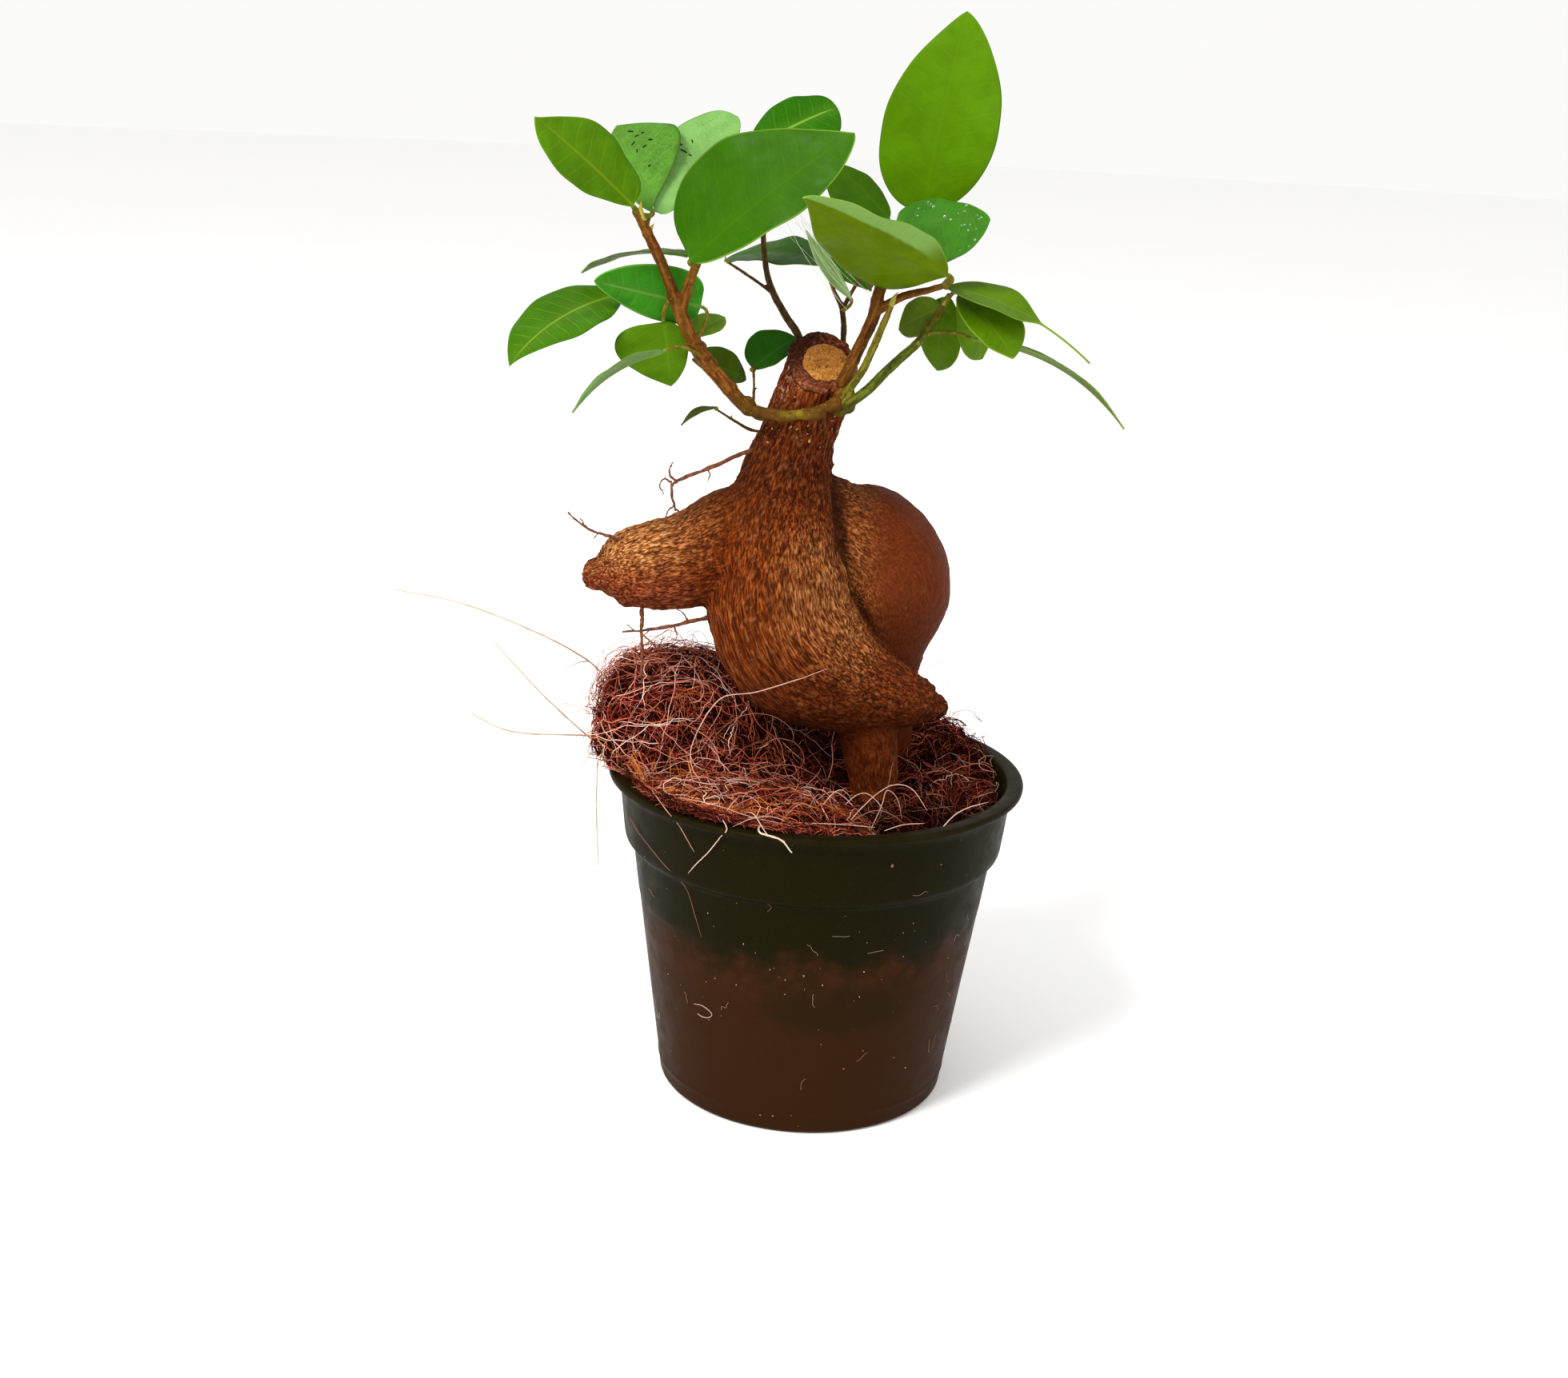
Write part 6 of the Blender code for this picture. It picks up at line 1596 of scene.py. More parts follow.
def build_buds():
    """Pointed buds at the shoot tips and in a few leaf joints."""
    buds = [((-28.2, -13.8, 135.4), (-.05, -.35, .93), 3.4, .60, .9), ((-27.4, -13.3, 134.0), (.42, .10, .9), 1.7, .40, .7),
            ((-20.9, -12.7, 130.0), (.1, -.3, .95), 1.6, .40, .6), ((12.0, 1.0, 136.4), (.3, -.2, .93), 2.0, .46, .7),
            ((14.6, -6.5, 128.3), (.4, -.4, .8), 1.9, .44, .6), ((14.7, -3.6, 125.0), (.5, -.2, .85), 2.2, .44, .7),
            ((7.2, -7.6, 125.2), (.35, -.3, .88), 2.4, .46, .6), ((-14.0, 12.9, 143.6), (-.3, 0, .95), 1.6, .34, .5),
            ((3.2, 9.6, 128.2), (.35, 0, .93), 1.6, .32, .5), ((-24.2, -10.4, 126.0), (-.7, -.3, .6), 1.2, .34, .4),
            ((5.2, -3.6, 124.6), (-.6, -.5, .6), 1.1, .36, .4), ((11.4, -5.2, 119.7), (.2, -.7, .6), 1.0, .32, .3),
            ((-12.4, .2, 111.0), (.8, -.3, .5), .8, .20, .4), ((-2.4, 12.8, 128.0), (-.1, .3, .95), 1.2, .28, .5),
            ((-15.2, -6.2, 107.5), (.2, -.4, .9), .8, .18, .3), ((-17.5, 12.6, 128.3), (-.5, .1, .85), 1.3, .26, .4)]
    parts = []
    for at, way, length, r, tone in buds:
        t = unit(np.array(way, float))
        k = np.linspace(0, 1, 9)
        bend = unit(np.cross(t, [0.3, .8, .2]))
        line = np.array(at) + t * (k * length)[:, None] + bend * (np.sin(k * 3) * .08 * length)[:, None]
        rad = r * np.interp(k, [0, .18, .45, .75, 1], [.75, 1, .82, .42, .05])
        v, q, f, _ = tubes(line[None], rad[None], 10)
        parts.append((v, q, f, {"tone": np.repeat(tone * (1 - .3 * k), 10)}))
    v, q, f, a = merge(parts)
    look = Look("bud_look", .45, .25)
    look.base(look.ramp(look.math('ADD', look.attr("tone"), look.math('MULTIPLY', look.math('SUBTRACT', look.noise(.6, 2), .5), .3)),
                        (0, (.10, .055, .010)), (.5, (.22, .20, .020)), (1, (.42, .38, .05))))
    look.bump(look.noise(.3, 2), .3, .04)
    place(piece("leaf_buds", v, q, f, [look.mat], a), "green_shoot")


# ================================================================ leaves
# name: upper colour, under colour, vein colour, margin colour, vein strength, midrib strength,
#       margin strength, net strength, roughness, blotch strength
GREENS = {
    "leaf_top_right":      ((0.064, 0.165, 0.0002), (0.087, 0.179, 0.0036), (0.092, 0.208, 0.0008), (0.106, 0.228, 0.0023), 0.16, 0.22, 0.30, 0.05, 0.46, 0.24),
    "leaf_centre_front":   ((0.023, 0.092, 0.0001), (0.051, 0.122, 0.0040), (0.048, 0.138, 0.0011), (0.152, 0.284, 0.0247), 0.12, 0.20, 0.85, 0.05, 0.46, 0.26),
    "leaf_upper_left":     ((.056, .152, .0004), (.090, .180, .0080), (.135, .220, .0040), (.110, .220, .0060), .22, .62, .35, .05, .46, .32),
    "leaf_pale_left":      ((0.058, 0.172, 0.0136), (0.097, 0.205, 0.0320), (0.117, 0.260, 0.0429), (0.113, 0.251, 0.0358), 0.30, 0.15, 0.40, 0.80, 0.50, 0.50),
    "leaf_pale_middle":    ((0.142, 0.309, 0.0750), (0.156, 0.295, 0.0750), (0.208, 0.391, 0.1174), (0.208, 0.391, 0.1006), 0.30, 0.15, 0.40, 0.80, 0.50, 0.42),
    "leaf_dark_top":       ((0.018, 0.107, 0.0002), (0.049, 0.140, 0.0040), (0.151, 0.318, 0.0283), (0.033, 0.135, 0.0021), 0.12, 0.95, 0.30, 0.05, 0.44, 0.30),
    "leaf_dark_behind":    ((.026, .082, .0004), (.060, .120, .0060), (.045, .110, .0030), (.050, .115, .0040), .14, .40, .30, .05, .48, .30),
    "leaf_olive_front":    ((.120, .235, .0180), (.084, .143, .0005), (.105, .165, .0020), (.150, .275, .0300), .14, .30, .60, .06, .48, .30),
    "leaf_blue_green":     ((0.032, 0.135, 0.0081), (0.071, 0.152, 0.0108), (0.060, 0.185, 0.0228), (0.083, 0.224, 0.0285), 0.28, 0.25, 0.50, 0.30, 0.34, 0.40),
    "leaf_side_back_left": ((.062, .140, .0060), (.070, .125, .0060), (.120, .210, .0160), (.130, .215, .0180), .25, .50, .50, .10, .46, .30),
    "leaf_dark_left":      ((0.025, 0.167, 0.0054), (0.057, 0.161, 0.0108), (0.117, 0.257, 0.0398), (0.166, 0.343, 0.0664), 0.16, 0.60, 0.85, 0.08, 0.38, 0.40),
    "leaf_far_left":       ((0.035, 0.124, 0.0003), (0.054, 0.136, 0.0040), (0.132, 0.250, 0.0127), (0.072, 0.179, 0.0042), 0.30, 0.90, 0.35, 0.06, 0.44, 0.30),
    "leaf_olive_left":     ((0.055, 0.137, 0.0007), (0.055, 0.108, 0.0048), (0.089, 0.186, 0.0046), (0.084, 0.182, 0.0046), 0.20, 0.40, 0.40, 0.08, 0.48, 0.30),
    "leaf_small_left":     ((.095, .185, .0080), (.080, .150, .0120), (.130, .235, .0200), (.140, .245, .0220), .22, .50, .50, .10, .46, .30),
    "leaf_thin_left":      ((.100, .205, .0350), (.110, .210, .0500), (.160, .280, .0650), (.150, .270, .0600), .20, .50, .50, .10, .46, .30),
    "leaf_low_olive":      ((.042, .082, .0008), (.060, .100, .0060), (.070, .120, .0040), (.065, .115, .0040), .20, .40, .40, .08, .50, .30),
    "leaf_round_dark":     ((0.011, 0.067, 0.0006), (0.041, 0.122, 0.0060), (0.026, 0.102, 0.0040), (0.026, 0.102, 0.0040), 0.18, 0.45, 0.35, 0.06, 0.42, 0.35),
    "leaf_long_back":      ((.020, .070, .0030), (.045, .090, .0060), (.050, .120, .0100), (.055, .115, .0110), .18, .50, .45, .08, .44, .35),
    "leaf_young_pale":     ((.180, .310, .0900), (.190, .300, .1000), (.330, .450, .1900), (.300, .420, .1700), .30, .80, .60, .20, .50, .40),
    "leaf_dark_middle":    ((.022, .078, .0020), (.045, .100, .0080), (.045, .115, .0080), (.050, .120, .0090), .18, .50, .45, .08, .44, .35),
    "leaf_drip_tip":       ((0.066, 0.142, 0.0006), (0.090, 0.168, 0.0072), (0.110, 0.194, 0.0062), (0.165, 0.272, 0.0217), 0.14, 0.55, 0.75, 0.06, 0.46, 0.30),
    "leaf_thin_right":     ((.070, .130, .0100), (.100, .165, .0280), (.150, .230, .0350), (.180, .275, .0500), .12, .50, .80, .08, .48, .30),
    "leaf_hanging_back":   ((0.064, 0.146, 0.0008), (0.081, 0.134, 0.0080), (0.102, 0.185, 0.0060), (0.108, 0.190, 0.0070), 0.20, 0.45, 0.45, 0.06, 0.48, 0.30),
    "leaf_hanging_middle": ((0.072, 0.162, 0.0008), (0.093, 0.157, 0.0080), (0.113, 0.201, 0.0060), (0.129, 0.217, 0.0100), 0.20, 0.45, 0.60, 0.06, 0.48, 0.30),
    "leaf_hanging_front":  ((0.065, 0.143, 0.0006), (0.093, 0.157, 0.0080), (0.113, 0.201, 0.0080), (0.183, 0.286, 0.0250), 0.18, 0.40, 0.75, 0.06, 0.48, 0.30),
    "leaf_pale_right":     ((.082, .140, .0060), (.090, .150, .0120), (.130, .205, .0160), (.130, .210, .0180), .20, .45, .50, .08, .48, .30),
    "leaf_sprout":         ((.026, .040, .0050), (.030, .044, .0060), (.050, .070, .0120), (.050, .070, .0120), .10, .40, .40, .05, .55, .30),
}
SLOT = {"leaf_bright": ("leaf_top_right", "leaf_centre_front", "leaf_upper_left", "leaf_far_left", "leaf_drip_tip"),
        "leaf_dark": ("leaf_dark_top", "leaf_dark_behind", "leaf_dark_left", "leaf_round_dark", "leaf_long_back",
                      "leaf_dark_middle", "leaf_sprout"),
        "leaf_pale": ("leaf_pale_left", "leaf_pale_middle", "leaf_blue_green", "leaf_young_pale", "leaf_thin_left",
                      "leaf_thin_right", "leaf_pale_right", "leaf_side_back_left")}
leaf_grids = {}


def build_leaf(name, spec):
    stalk, stem_r, base, tip, width, facing, camber, sweep, fold, drip, share, left, right = spec
    rng = random.Random(name)
    stalk, base, tip = (np.array(p, float) for p in (stalk, base, tip))
    chord = tip - base
    length = np.linalg.norm(chord)
    along = chord / length
    face = unit(np.array(facing, float))
    face = unit(face - along * (face @ along))
    across = np.cross(along, face)
    big = width > 9
    lanes = 22 if width > 14 else (16 if big else 12)
    rows = 52 if length > 22 else 40
    ph1, ph2, ph3 = rng.uniform(0, 6.28), rng.uniform(0, 6.28), rng.uniform(0, 6.28)
    wave = (.020 if big else .014) * width

    def spine(u):
        arch = 4 * u * (1 - u)
        return base + chord * u + face * camber * arch + across * sweep * arch

    def half_width(u, side):
        full_base, full_tip, widest = left if side < 0 else right
        u = min(max(u / (1 - drip), 0), 1)
        s = max(math.sin(math.pi * u ** (math.log(.5) / math.log(widest))), 0)
        return width * (share if side < 0 else 1 - share) * s ** (full_base + (full_tip - full_base) * u)

    count = 2 * lanes
    lane_v = np.array([-math.cos(math.pi * i / lanes) for i in range(lanes + 1)])
    lane_v = .55 * lane_v + .45 * np.linspace(-1, 1, lanes + 1)
    verts, lu, lv, ld, le, side_a = [], [], [], [], [], []
    # leaf stalk: a curve from inside the stem to the blade, grooved above
    reach = np.linalg.norm(base - stalk)
    ctrl = base - along * reach * .45 * (1 if (along @ unit(base - stalk)) > -.2 else .2)
    n_st = 12
    st_r0, st_r1 = (.50, .36) if width > 12 else ((.42, .31) if big else (.30, .24))
    if name == "leaf_sprout":
        st_r0, st_r1 = .2, .16
    for i in range(n_st):
        f = i / n_st
        c = stalk * (1 - f) ** 2 + ctrl * 2 * f * (1 - f) + base * f * f
        t = unit((ctrl - stalk) * (1 - f) + (base - ctrl) * f + along * 1e-6)
        up = unit(face - t * (face @ t))
        sd = np.cross(t, up)
        r = st_r0 + (st_r1 - st_r0) * f + (.22 * math.exp(-((f * reach) / .7) ** 2)) * (min(stem_r, .8) + .3)
        for k in range(count):
            a = math.pi - 2 * math.pi * k / count
            groove = .16 * math.exp(-((a - math.pi / 2) / .5) ** 2)
            verts.append(c + sd * math.cos(a) * r + up * math.sin(a) * r * (1 - groove))
            lu.append(-1 + f); lv.append(0); ld.append(0); le.append(1); side_a.append(1 if k <= lanes else -1)
    us = [i / rows for i in range(rows + 1)]
    us = [.35 * u + .65 * (.5 - .5 * math.cos(math.pi * u)) for u in us]
    us = us[:-1] + [.9965, .9992]
    n_veins = max(5, int(length / 2.1))
    for u in us:
        c = spine(u)
        t = unit(spine(min(u + .01, 1)) - spine(max(u - .01, 0)))
        up = unit(face - t * (face @ t))
        sd = np.cross(t, up)
        sides = {}
        for side in (-1, 1):
            raw = half_width(u, side)
            sides[side] = (max(raw, st_r1 * max(0, 1 - u * 14) if u < .1 else .0, .05 if drip == 0 else .11),
                           min(1, raw / (width * .3)))
        for k in range(count):
            i = k if k <= lanes else count - k
            v = lane_v[i]
            hw, env = sides[-1 if v < 0 else 1]
            dist = v * hw
            lift = fold * abs(v) * hw
            ripple = wave * env * abs(v) ** 2.2 * math.sin(2 * math.pi * (1.7 * u) + (ph1 if v > 0 else ph2))
            ripple += wave * .5 * env * abs(v) ** 1.5 * math.sin(2 * math.pi * (3.6 * u) + (ph3 if v > 0 else ph1))
            quilt = .040 * env * math.sin(2 * math.pi * (u * n_veins - abs(dist) * .42)) * min(1, abs(dist) / 1.2) \
                * max(0, 1 - abs(v) ** 4)
            rib = math.exp(-(dist / .42) ** 2) * (1 - u) ** .7
            edge = (1 - abs(v)) ** .45 if abs(v) < 1 else 0
            half = .5 * (.10 + .22 * edge) if abs(v) < 1 else .03
            curl = -.10 * hw * max(0, abs(v) - .72) ** 1.5
            if hw < st_r1 * 1.6:
                curl = 0
            if k <= lanes:
                z = lift + ripple + quilt + curl + half - .13 * rib * min(1, hw)
            else:
                z = lift + ripple + quilt + curl - half - .30 * rib * min(1, hw)
            if hw < st_r1 * 1.6:      # blend the round stalk into the blade
                b = max(0, 1 - (u * 16))
                a = math.pi - 2 * math.pi * k / count
                z = z * (1 - b) + math.sin(a) * st_r1 * b
            verts.append(c + sd * dist + up * z)
            lu.append(u); lv.append(v); ld.append(dist); le.append(max(0, (1 - abs(v)) * hw))
            side_a.append((1 if k < lanes else -1) if 0 < i < lanes else 0)
    verts = np.array(verts)
    total = n_st + len(us)
    quads = []
    for rI in range(total - 1):
        o = rI * count
        for k in range(count):
            j = (k + 1) % count
            quads.append((o + k, o + j, o + count + j, o + count + k))
    tris = []
    o = 0
    verts = np.concatenate([verts, [stalk], [spine(1.0) + along * .06]])
    for extra in (lu, lv, ld, le, side_a):
        extra.append(extra[0]); extra.append(extra[-2])
    hub0, hub1 = len(verts) - 2, len(verts) - 1
    last = (total - 1) * count
    for k in range(count):
        j = (k + 1) % count
        tris.append((hub0, j, k))
        tris.append((hub1, last + k, last + j))
    # orient outwards
    q = np.array(quads)
    cen = verts[q[:, 0]]
    upper, under, vein, margin, s_vein, s_mid, s_edge, s_net, rough, s_blotch = GREENS[name]
    look = Look(name + "_look", rough, .045)
    u_a, d_a, e_a, s_a = look.attr("lu"), look.attr("ld"), look.attr("le"), look.attr("side")
    dist = look.math('ABSOLUTE', d_a)
    top = look.span(s_a, -.2, .2)
    blade = look.mix(top, under, upper)
    blotch = look.span(look.noise(4.2, 4, .6, .5, offset=rng.uniform(0, 9)), .30, .72, 1 - s_blotch * .45, 1 + s_blotch * .42)
    blade = look.times(blade, blotch)
    mottle = look.span(look.noise(1.3, 3, .6, offset=rng.uniform(0, 9)), .3, .7, 1 - s_blotch * .12, 1 + s_blotch * .14)
    blade = look.times(blade, mottle)
    if name == "leaf_olive_front":      # the paler upper face turns over along one margin
        rolled = look.span(look.attr("lv"), -.30, -.44)
        rolled = look.math('MULTIPLY', rolled, look.span(u_a, .10, .30))
        blade = look.mix(rolled, blade, (.165, .310, .0700))
    # yellower towards the midrib and the base
    warm = look.math('MULTIPLY', look.span(dist, width * .20, 0.0), .16)
    blade = look.mix(warm, blade, tuple(c * f for c, f in zip(vein, (.85, .85, .85))))
    # side veins: slanted towards the tip
    along_mm = look.math('MULTIPLY', u_a, length)
    wobble = look.math('MULTIPLY', look.math('SUBTRACT', look.noise(2.2, 2, .5, offset=rng.uniform(0, 9)), .5), .9)
    slant = look.math('SUBTRACT', along_mm, look.math('MULTIPLY', dist, .42))
    slant = look.math('ADD', slant, wobble)
    period = length / n_veins
    saw = look.math('PINGPONG', slant, period / 2)
    line = look.span(saw, .17, .03)
    fade = look.math('MULTIPLY', look.span(e_a, .25, 1.3), look.span(dist, .1, .7))
    line = look.math('MULTIPLY', line, fade)
    blade = look.mix(look.math('MULTIPLY', line, s_vein), blade, vein)
    between = look.span(look.math('PINGPONG', slant, period / 6), .10, .02)
    between = look.math('MULTIPLY', look.math('MULTIPLY', between, fade), s_vein * .30)
    blade = look.mix(between, blade, vein)
    net = look.span(look.cells(.62, 'DISTANCE_TO_EDGE'), .09, .015)
    blade = look.mix(look.math('MULTIPLY', look.math('MULTIPLY', net, fade), s_net * .55), blade, vein)
    mid = look.span(look.math('ADD', dist, look.math('MULTIPLY', u_a, .16)), .36, .16)
    mid = look.math('MULTIPLY', mid, look.span(u_a, 1.0, .80))
    blade = look.mix(look.math('MULTIPLY', mid, s_mid), blade, vein)
    edge = look.math('MULTIPLY', look.span(e_a, .34, .06), look.span(u_a, .0, .05))
    blade = look.mix(look.math('MULTIPLY', edge, s_edge), blade, margin)
    if s_net > .5 or name in ("leaf_blue_green", "leaf_centre_front", "leaf_top_right"):
        amount = .8 if s_net > .5 else .30
        spots = look.math('MULTIPLY', look.span(look.cells(2.6), .060, .035), look.span(look.noise(5, 2), .50, .62))
        blade = look.mix(look.math('MULTIPLY', spots, amount), blade, (.014, .030, .004))
    stalk_col = look.ramp(look.noise(.9, 3), (.35, (.085, .060, .006)), (.65, (.165, .150, .014)))
    stem_mask = look.span(u_a, .0, -.10)
    blade = look.mix(stem_mask, blade, stalk_col)
    look.base(blade)
    look.rough(look.span(look.noise(1.6, 3, offset=2.0), .3, .7, rough - .07, rough + .10))
    height = look.math('ADD', look.math('MULTIPLY', line, -.5), look.math('MULTIPLY', look.noise(.35, 3), .45))
    height = look.math('ADD', height, look.math('MULTIPLY', net, -.25 * s_net))
    look.bump(height, .30, .06)
    ob = piece(name + "_blade", verts, quads, tris, [look.mat], {"lu": lu, "lv": lv, "ld": ld, "le": le, "side": side_a})
    me = ob.data
    bm = bmesh.new()
    bm.from_mesh(me)
    bmesh.ops.recalc_face_normals(bm, faces=bm.faces)
    bm.to_mesh(me)
    bm.free()
    slot = next((s for s, names in SLOT.items() if name in names), "leaf_olive")
    place(ob, slot, name)
    leaf_grids[name] = (verts[n_st * count:total * count].reshape(len(us), count, 3), lanes)


def build_specks():
    """Dark dashes where the two pale leaves meet."""
    rng = np.random.default_rng(8)
    marks = {"leaf_pale_left": [(-31.9, 147.4), (-31.1, 146.0), (-30.3, 144.8), (-29.9, 147.0), (-29.2, 145.4), (-30.6, 146.7),
                                (-28.0, 143.0), (-28.6, 146.4)],
             "leaf_pale_middle": [(-25.9, 146.4), (-25.4, 145.3), (-24.5, 146.1), (-23.7, 145.1), (-22.9, 144.9), (-22.3, 146.4),
                                  (-24.9, 144.7), (-24.1, 145.7)]}
    parts = []
    for name, spots in marks.items():
        grid, lanes = leaf_grids[name]
        top = grid[:, 1:lanes].reshape(-1, 3)
        for x, z in spots:
            i = np.argmin((top[:, 0] - x) ** 2 + (top[:, 2] - z) ** 2)
            row = i // (lanes - 1)
            p = top[i]
            nxt = grid[min(row + 1, len(grid) - 1), 1 + i % (lanes - 1)]
            side = grid[row, min(2 + i % (lanes - 1), lanes)]
            n = unit(np.cross(side - p, nxt - p))
            if n[1] > 0:
                n = -n
            way = unit(np.cross(n, rng.normal(size=3)) + np.array([.6, 0, .5]) * .8)
            way = unit(way - n * (way @ n))
            half = rng.uniform(.22, .62)
            k = np.linspace(-1, 1, 7)
            line = p + n * .05 + way * (k * half)[:, None] + np.cross(n, way) * (np.sin(k * 2.2) * .08)[:, None]
            rad = .11 * np.sqrt(np.maximum(1 - k ** 2, .03)) * rng.uniform(.7, 1.2)
            v, q, t, _ = tubes(line[None], rad[None], 6)
            parts.append((v, q, t, {"tone": rng.random()}))
    v, q, t, a = merge(parts)
    look = Look("leaf_speck", .7, .06)
    look.base(look.mix(look.noise(.3, 2), look.ramp(look.attr("tone"), (0, (.006, .010, .003)), (1, (.020, .032, .008))), (.012, .014, .006)))
    place(piece("leaf_specks", v, q, t, [look.mat], a), "leaf_pale")


def build_drops():
    """Water droplets standing on the blue-green leaf."""
    grid, lanes = leaf_grids["leaf_blue_green"]
    rng = np.random.default_rng(12)
    parts = []
    for _ in range(30):
        i = int(rng.uniform(.25, .90) * (grid.shape[0] - 2))
        k = int(rng.uniform(.06, .94) * lanes)
        p, a, b = grid[i, k], grid[i + 1, k], grid[i, k + 1]
        n = unit(np.cross(b - p, a - p))
        if n[2] < 0:
            n = -n
        r = rng.choice([.10, .13, .17, .23, .32], p=[.36, .30, .2, .10, .04])
        x = unit(a - p)
        y = np.cross(n, x)
        rings, segs = 6, 14
        pts = []
        for j in range(rings + 1):
            ph = math.pi * j / rings
            for s in range(segs):
                th = 2 * math.pi * s / segs
                pts.append(p + (x * math.cos(th) + y * math.sin(th)) * r * math.sin(ph) * (1 if j else .01)
                           + n * (math.cos(ph) * r * (.55 if ph < math.pi / 2 else .18)))
        pts = np.array(pts)
        q = [(j * segs + s, j * segs + (s + 1) % segs, (j + 1) * segs + (s + 1) % segs, (j + 1) * segs + s)
             for j in range(rings) for s in range(segs)]
        parts.append((pts, q, np.zeros((0, 3)), {}))
    v, q, t, a = merge(parts)
    look = Look("water_drop", .03, .5)
    look.bsdf.inputs["IOR"].default_value = 1.33
    look.bsdf.inputs["Transmission Weight"].default_value = .85
    look.base(look.ramp(look.noise(2, 1), (.3, (.82, .95, .86)), (.7, (.95, 1, .97))))
    ob = piece("water_drops", v, q, t, [look.mat])
    place(ob, "leaf_pale")


def build_silk():
    """A few cobweb threads between the pale young leaf and its neighbours."""
    rng = np.random.default_rng(3)
    high = np.array([-6.0, -7.6, 136.8])
    ends = np.array([(1.0, -4.0, 127.0), (2.4, -3.2, 124.8), (.2, -2.6, 129.2), (-1.4, -3.4, 131.2), (3.4, -3.0, 127.6),
                     (-14.0, -8.6, 133.4), (-11.6, -7.4, 132.2), (-9.6, -6.8, 130.8), (-2.4, -9.0, 132.4), (.6, .2, 125.0)])
    parts = []
    for n in range(15):
        end = ends[rng.integers(0, 5) if n < 9 else rng.integers(0, len(ends))]
        a, b = high + rng.normal(size=3) * np.array([1.6, .6, .9]), end + rng.normal(size=3) * 1.3
        k = np.linspace(0, 1, 14)[:, None]
        line = a + (b - a) * k + np.array([-.5, 0, -.8]) * (np.sin(k * np.pi) * rng.uniform(.0, 1.0))
        line += np.cumsum(rng.normal(size=line.shape), axis=0) * .025
        v, q, t, _ = tubes(line[None], np.full((1, 14), rng.uniform(.012, .026)), 3)
        parts.append((v, q, t, {}))
    v, q, t, a = merge(parts)
    look = Look("silk", .5, .3)
    look.base(look.ramp(look.noise(2, 2), (.3, (.45, .55, .36)), (.7, (.80, .86, .72))))
    place(piece("cobweb_threads", v, q, t, [look.mat]), "leaf_pale")


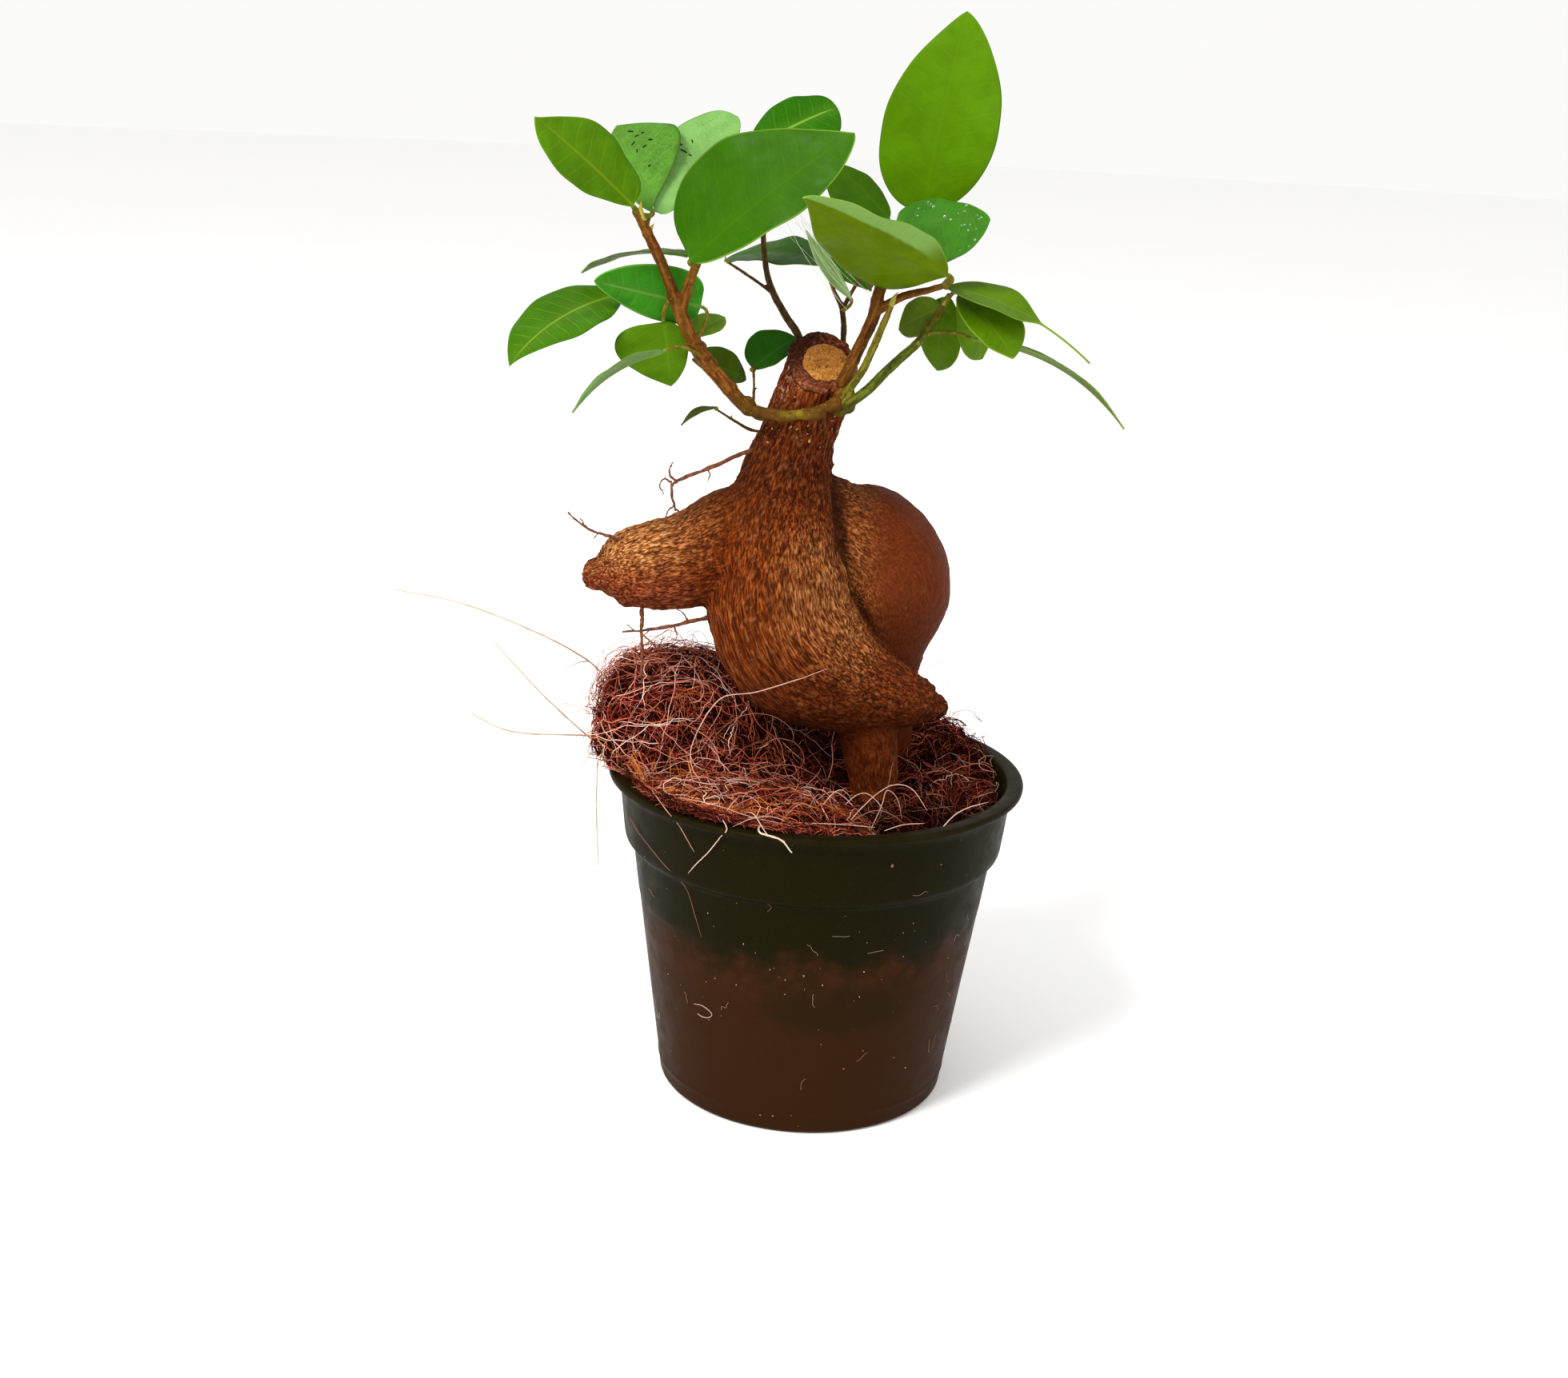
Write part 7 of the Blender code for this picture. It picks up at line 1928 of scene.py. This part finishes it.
# ================================================================ fine roots
def build_threads():
    rng = np.random.default_rng(21)
    side = {
        "aerial_root_upper": [
            [(-22.9, -6.0, 97.8, .2), (-23.9, -6.2, 99.0, .16), (-23.6, -6.0, 100.6, .09)],
            [(-23.7, -6.0, 97.6, .18), (-24.8, -6.2, 98.2, .13), (-25.4, -6.4, 97.0, .1), (-24.8, -6.2, 95.8, .07)],
            [(-23.3, -5.0, 94.0, .16), (-24.2, -5.4, 93.2, .11), (-24.6, -5.6, 92.0, .07)],
            [(-23.2, -4.8, 93.4, .16), (-22.0, -4.6, 92.6, .12), (-21.4, -4.2, 91.4, .1), (-20.6, -3.6, 90.8, .08)],
            [(-22.0, -4.6, 92.6, .1), (-21.2, -4.8, 93.4, .06)],
            [(-22.6, -4.4, 91.8, .1), (-23.2, -4.2, 90.6, .07)],
            [(-18.6, -4.7, 99.7, .14), (-18.2, -5.0, 98.6, .09), (-18.4, -5.2, 97.8, .05)]],
        "aerial_root_lobe": [[(-36.6, -7.0, 90.5, .12), (-37.0, -7.6, 91.8, .07)], [(-34.4, -6.2, 89.4, .12), (-35.0, -6.8, 88.6, .06)]],
        "aerial_root_drop": [[(-27.7, -3.4, 73.2, .14), (-26.2, -3.8, 72.0, .1), (-25.6, -4.2, 70.6, .06)],
                             [(-27.7, -3.2, 70.6, .13), (-28.6, -3.6, 69.6, .08), (-28.4, -4.0, 68.4, .06)]],
        "aerial_root_side": [[(-20.6, -5.2, 76.2, .16), (-21.4, -5.8, 77.6, .1), (-22.6, -6.2, 78.4, .06)],
                             [(-22.8, -6.1, 75.8, .15), (-22.0, -6.6, 74.6, .1), (-22.4, -7.0, 73.4, .06)],
                             [(-26.0, -7.0, 75.3, .13), (-27.2, -7.6, 74.2, .07)],
                             [(-28.6, -7.6, 74.9, .1), (-29.6, -8.0, 75.9, .06)]],
        "loose_fibre_long": [[(-36.6, 3.6, 66.4, .1), (-38.6, 2.4, 66.2, .08), (-41.0, 1.0, 64.6, .05)]],
    }
    groups = {"aerial_rootlets": [n for n in THREADS if n.startswith("aerial")],
              "loose_fibres": [n for n in THREADS if n.startswith("loose")]}
    for gname, names in groups.items():
        parts = []
        for name in names:
            for i, run in enumerate([THREADS[name]] + side.get(name, [])):
                path = smooth_path(run, 10)
                amp = .05 if gname == "aerial_rootlets" else .012
                jit = np.cumsum(rng.normal(size=(len(path), 3)), axis=0) * amp
                jit -= np.linspace(0, 1, len(path))[:, None] * jit[-1]
                line = path[:, :3] + jit
                rad = np.maximum(path[:, 3], .03) * (1 + .18 * rng.normal(size=len(path)) * (gname == "aerial_rootlets"))
                v, q, t, _ = tubes(line[None], np.maximum(rad, .02)[None], 8)
                along = np.repeat(np.linspace(0, 1, len(path)), 8)
                parts.append((v, q, t, {"tone": along}))
        v, q, t, a = merge(parts)
        look = Look(gname + "_look", .7, .15)
        if gname == "aerial_rootlets":
            look.base(look.mix(look.span(look.noise(.7, 4), .35, .65), look.ramp(
                look.attr("tone"), (0, (.120, .030, .009)), (.6, (.075, .028, .014)), (1, (.040, .026, .018))),
                (.19, .060, .026)))
        else:
            look.base(look.mix(look.span(look.noise(2.0, 3), .35, .65), look.ramp(
                look.attr("tone"), (0, (.32, .13, .075)), (.3, (.36, .24, .15)), (1, (.50, .42, .30))), (.62, .47, .36)))
        look.bump(look.noise(.25, 3), .5, .05)
        place(piece(gname, v, q, t, [look.mat], a), "root_bark" if gname == "aerial_rootlets" else "coir_fibre", *names)


# ================================================================ assemble
studio()
build_pot()
build_trunk()
build_coir()
build_shoots()
for leaf_name, leaf_spec in LEAVES.items():
    build_leaf(leaf_name, leaf_spec)
build_specks()
build_drops()
build_silk()
build_threads()

bpy.context.view_layer.update()
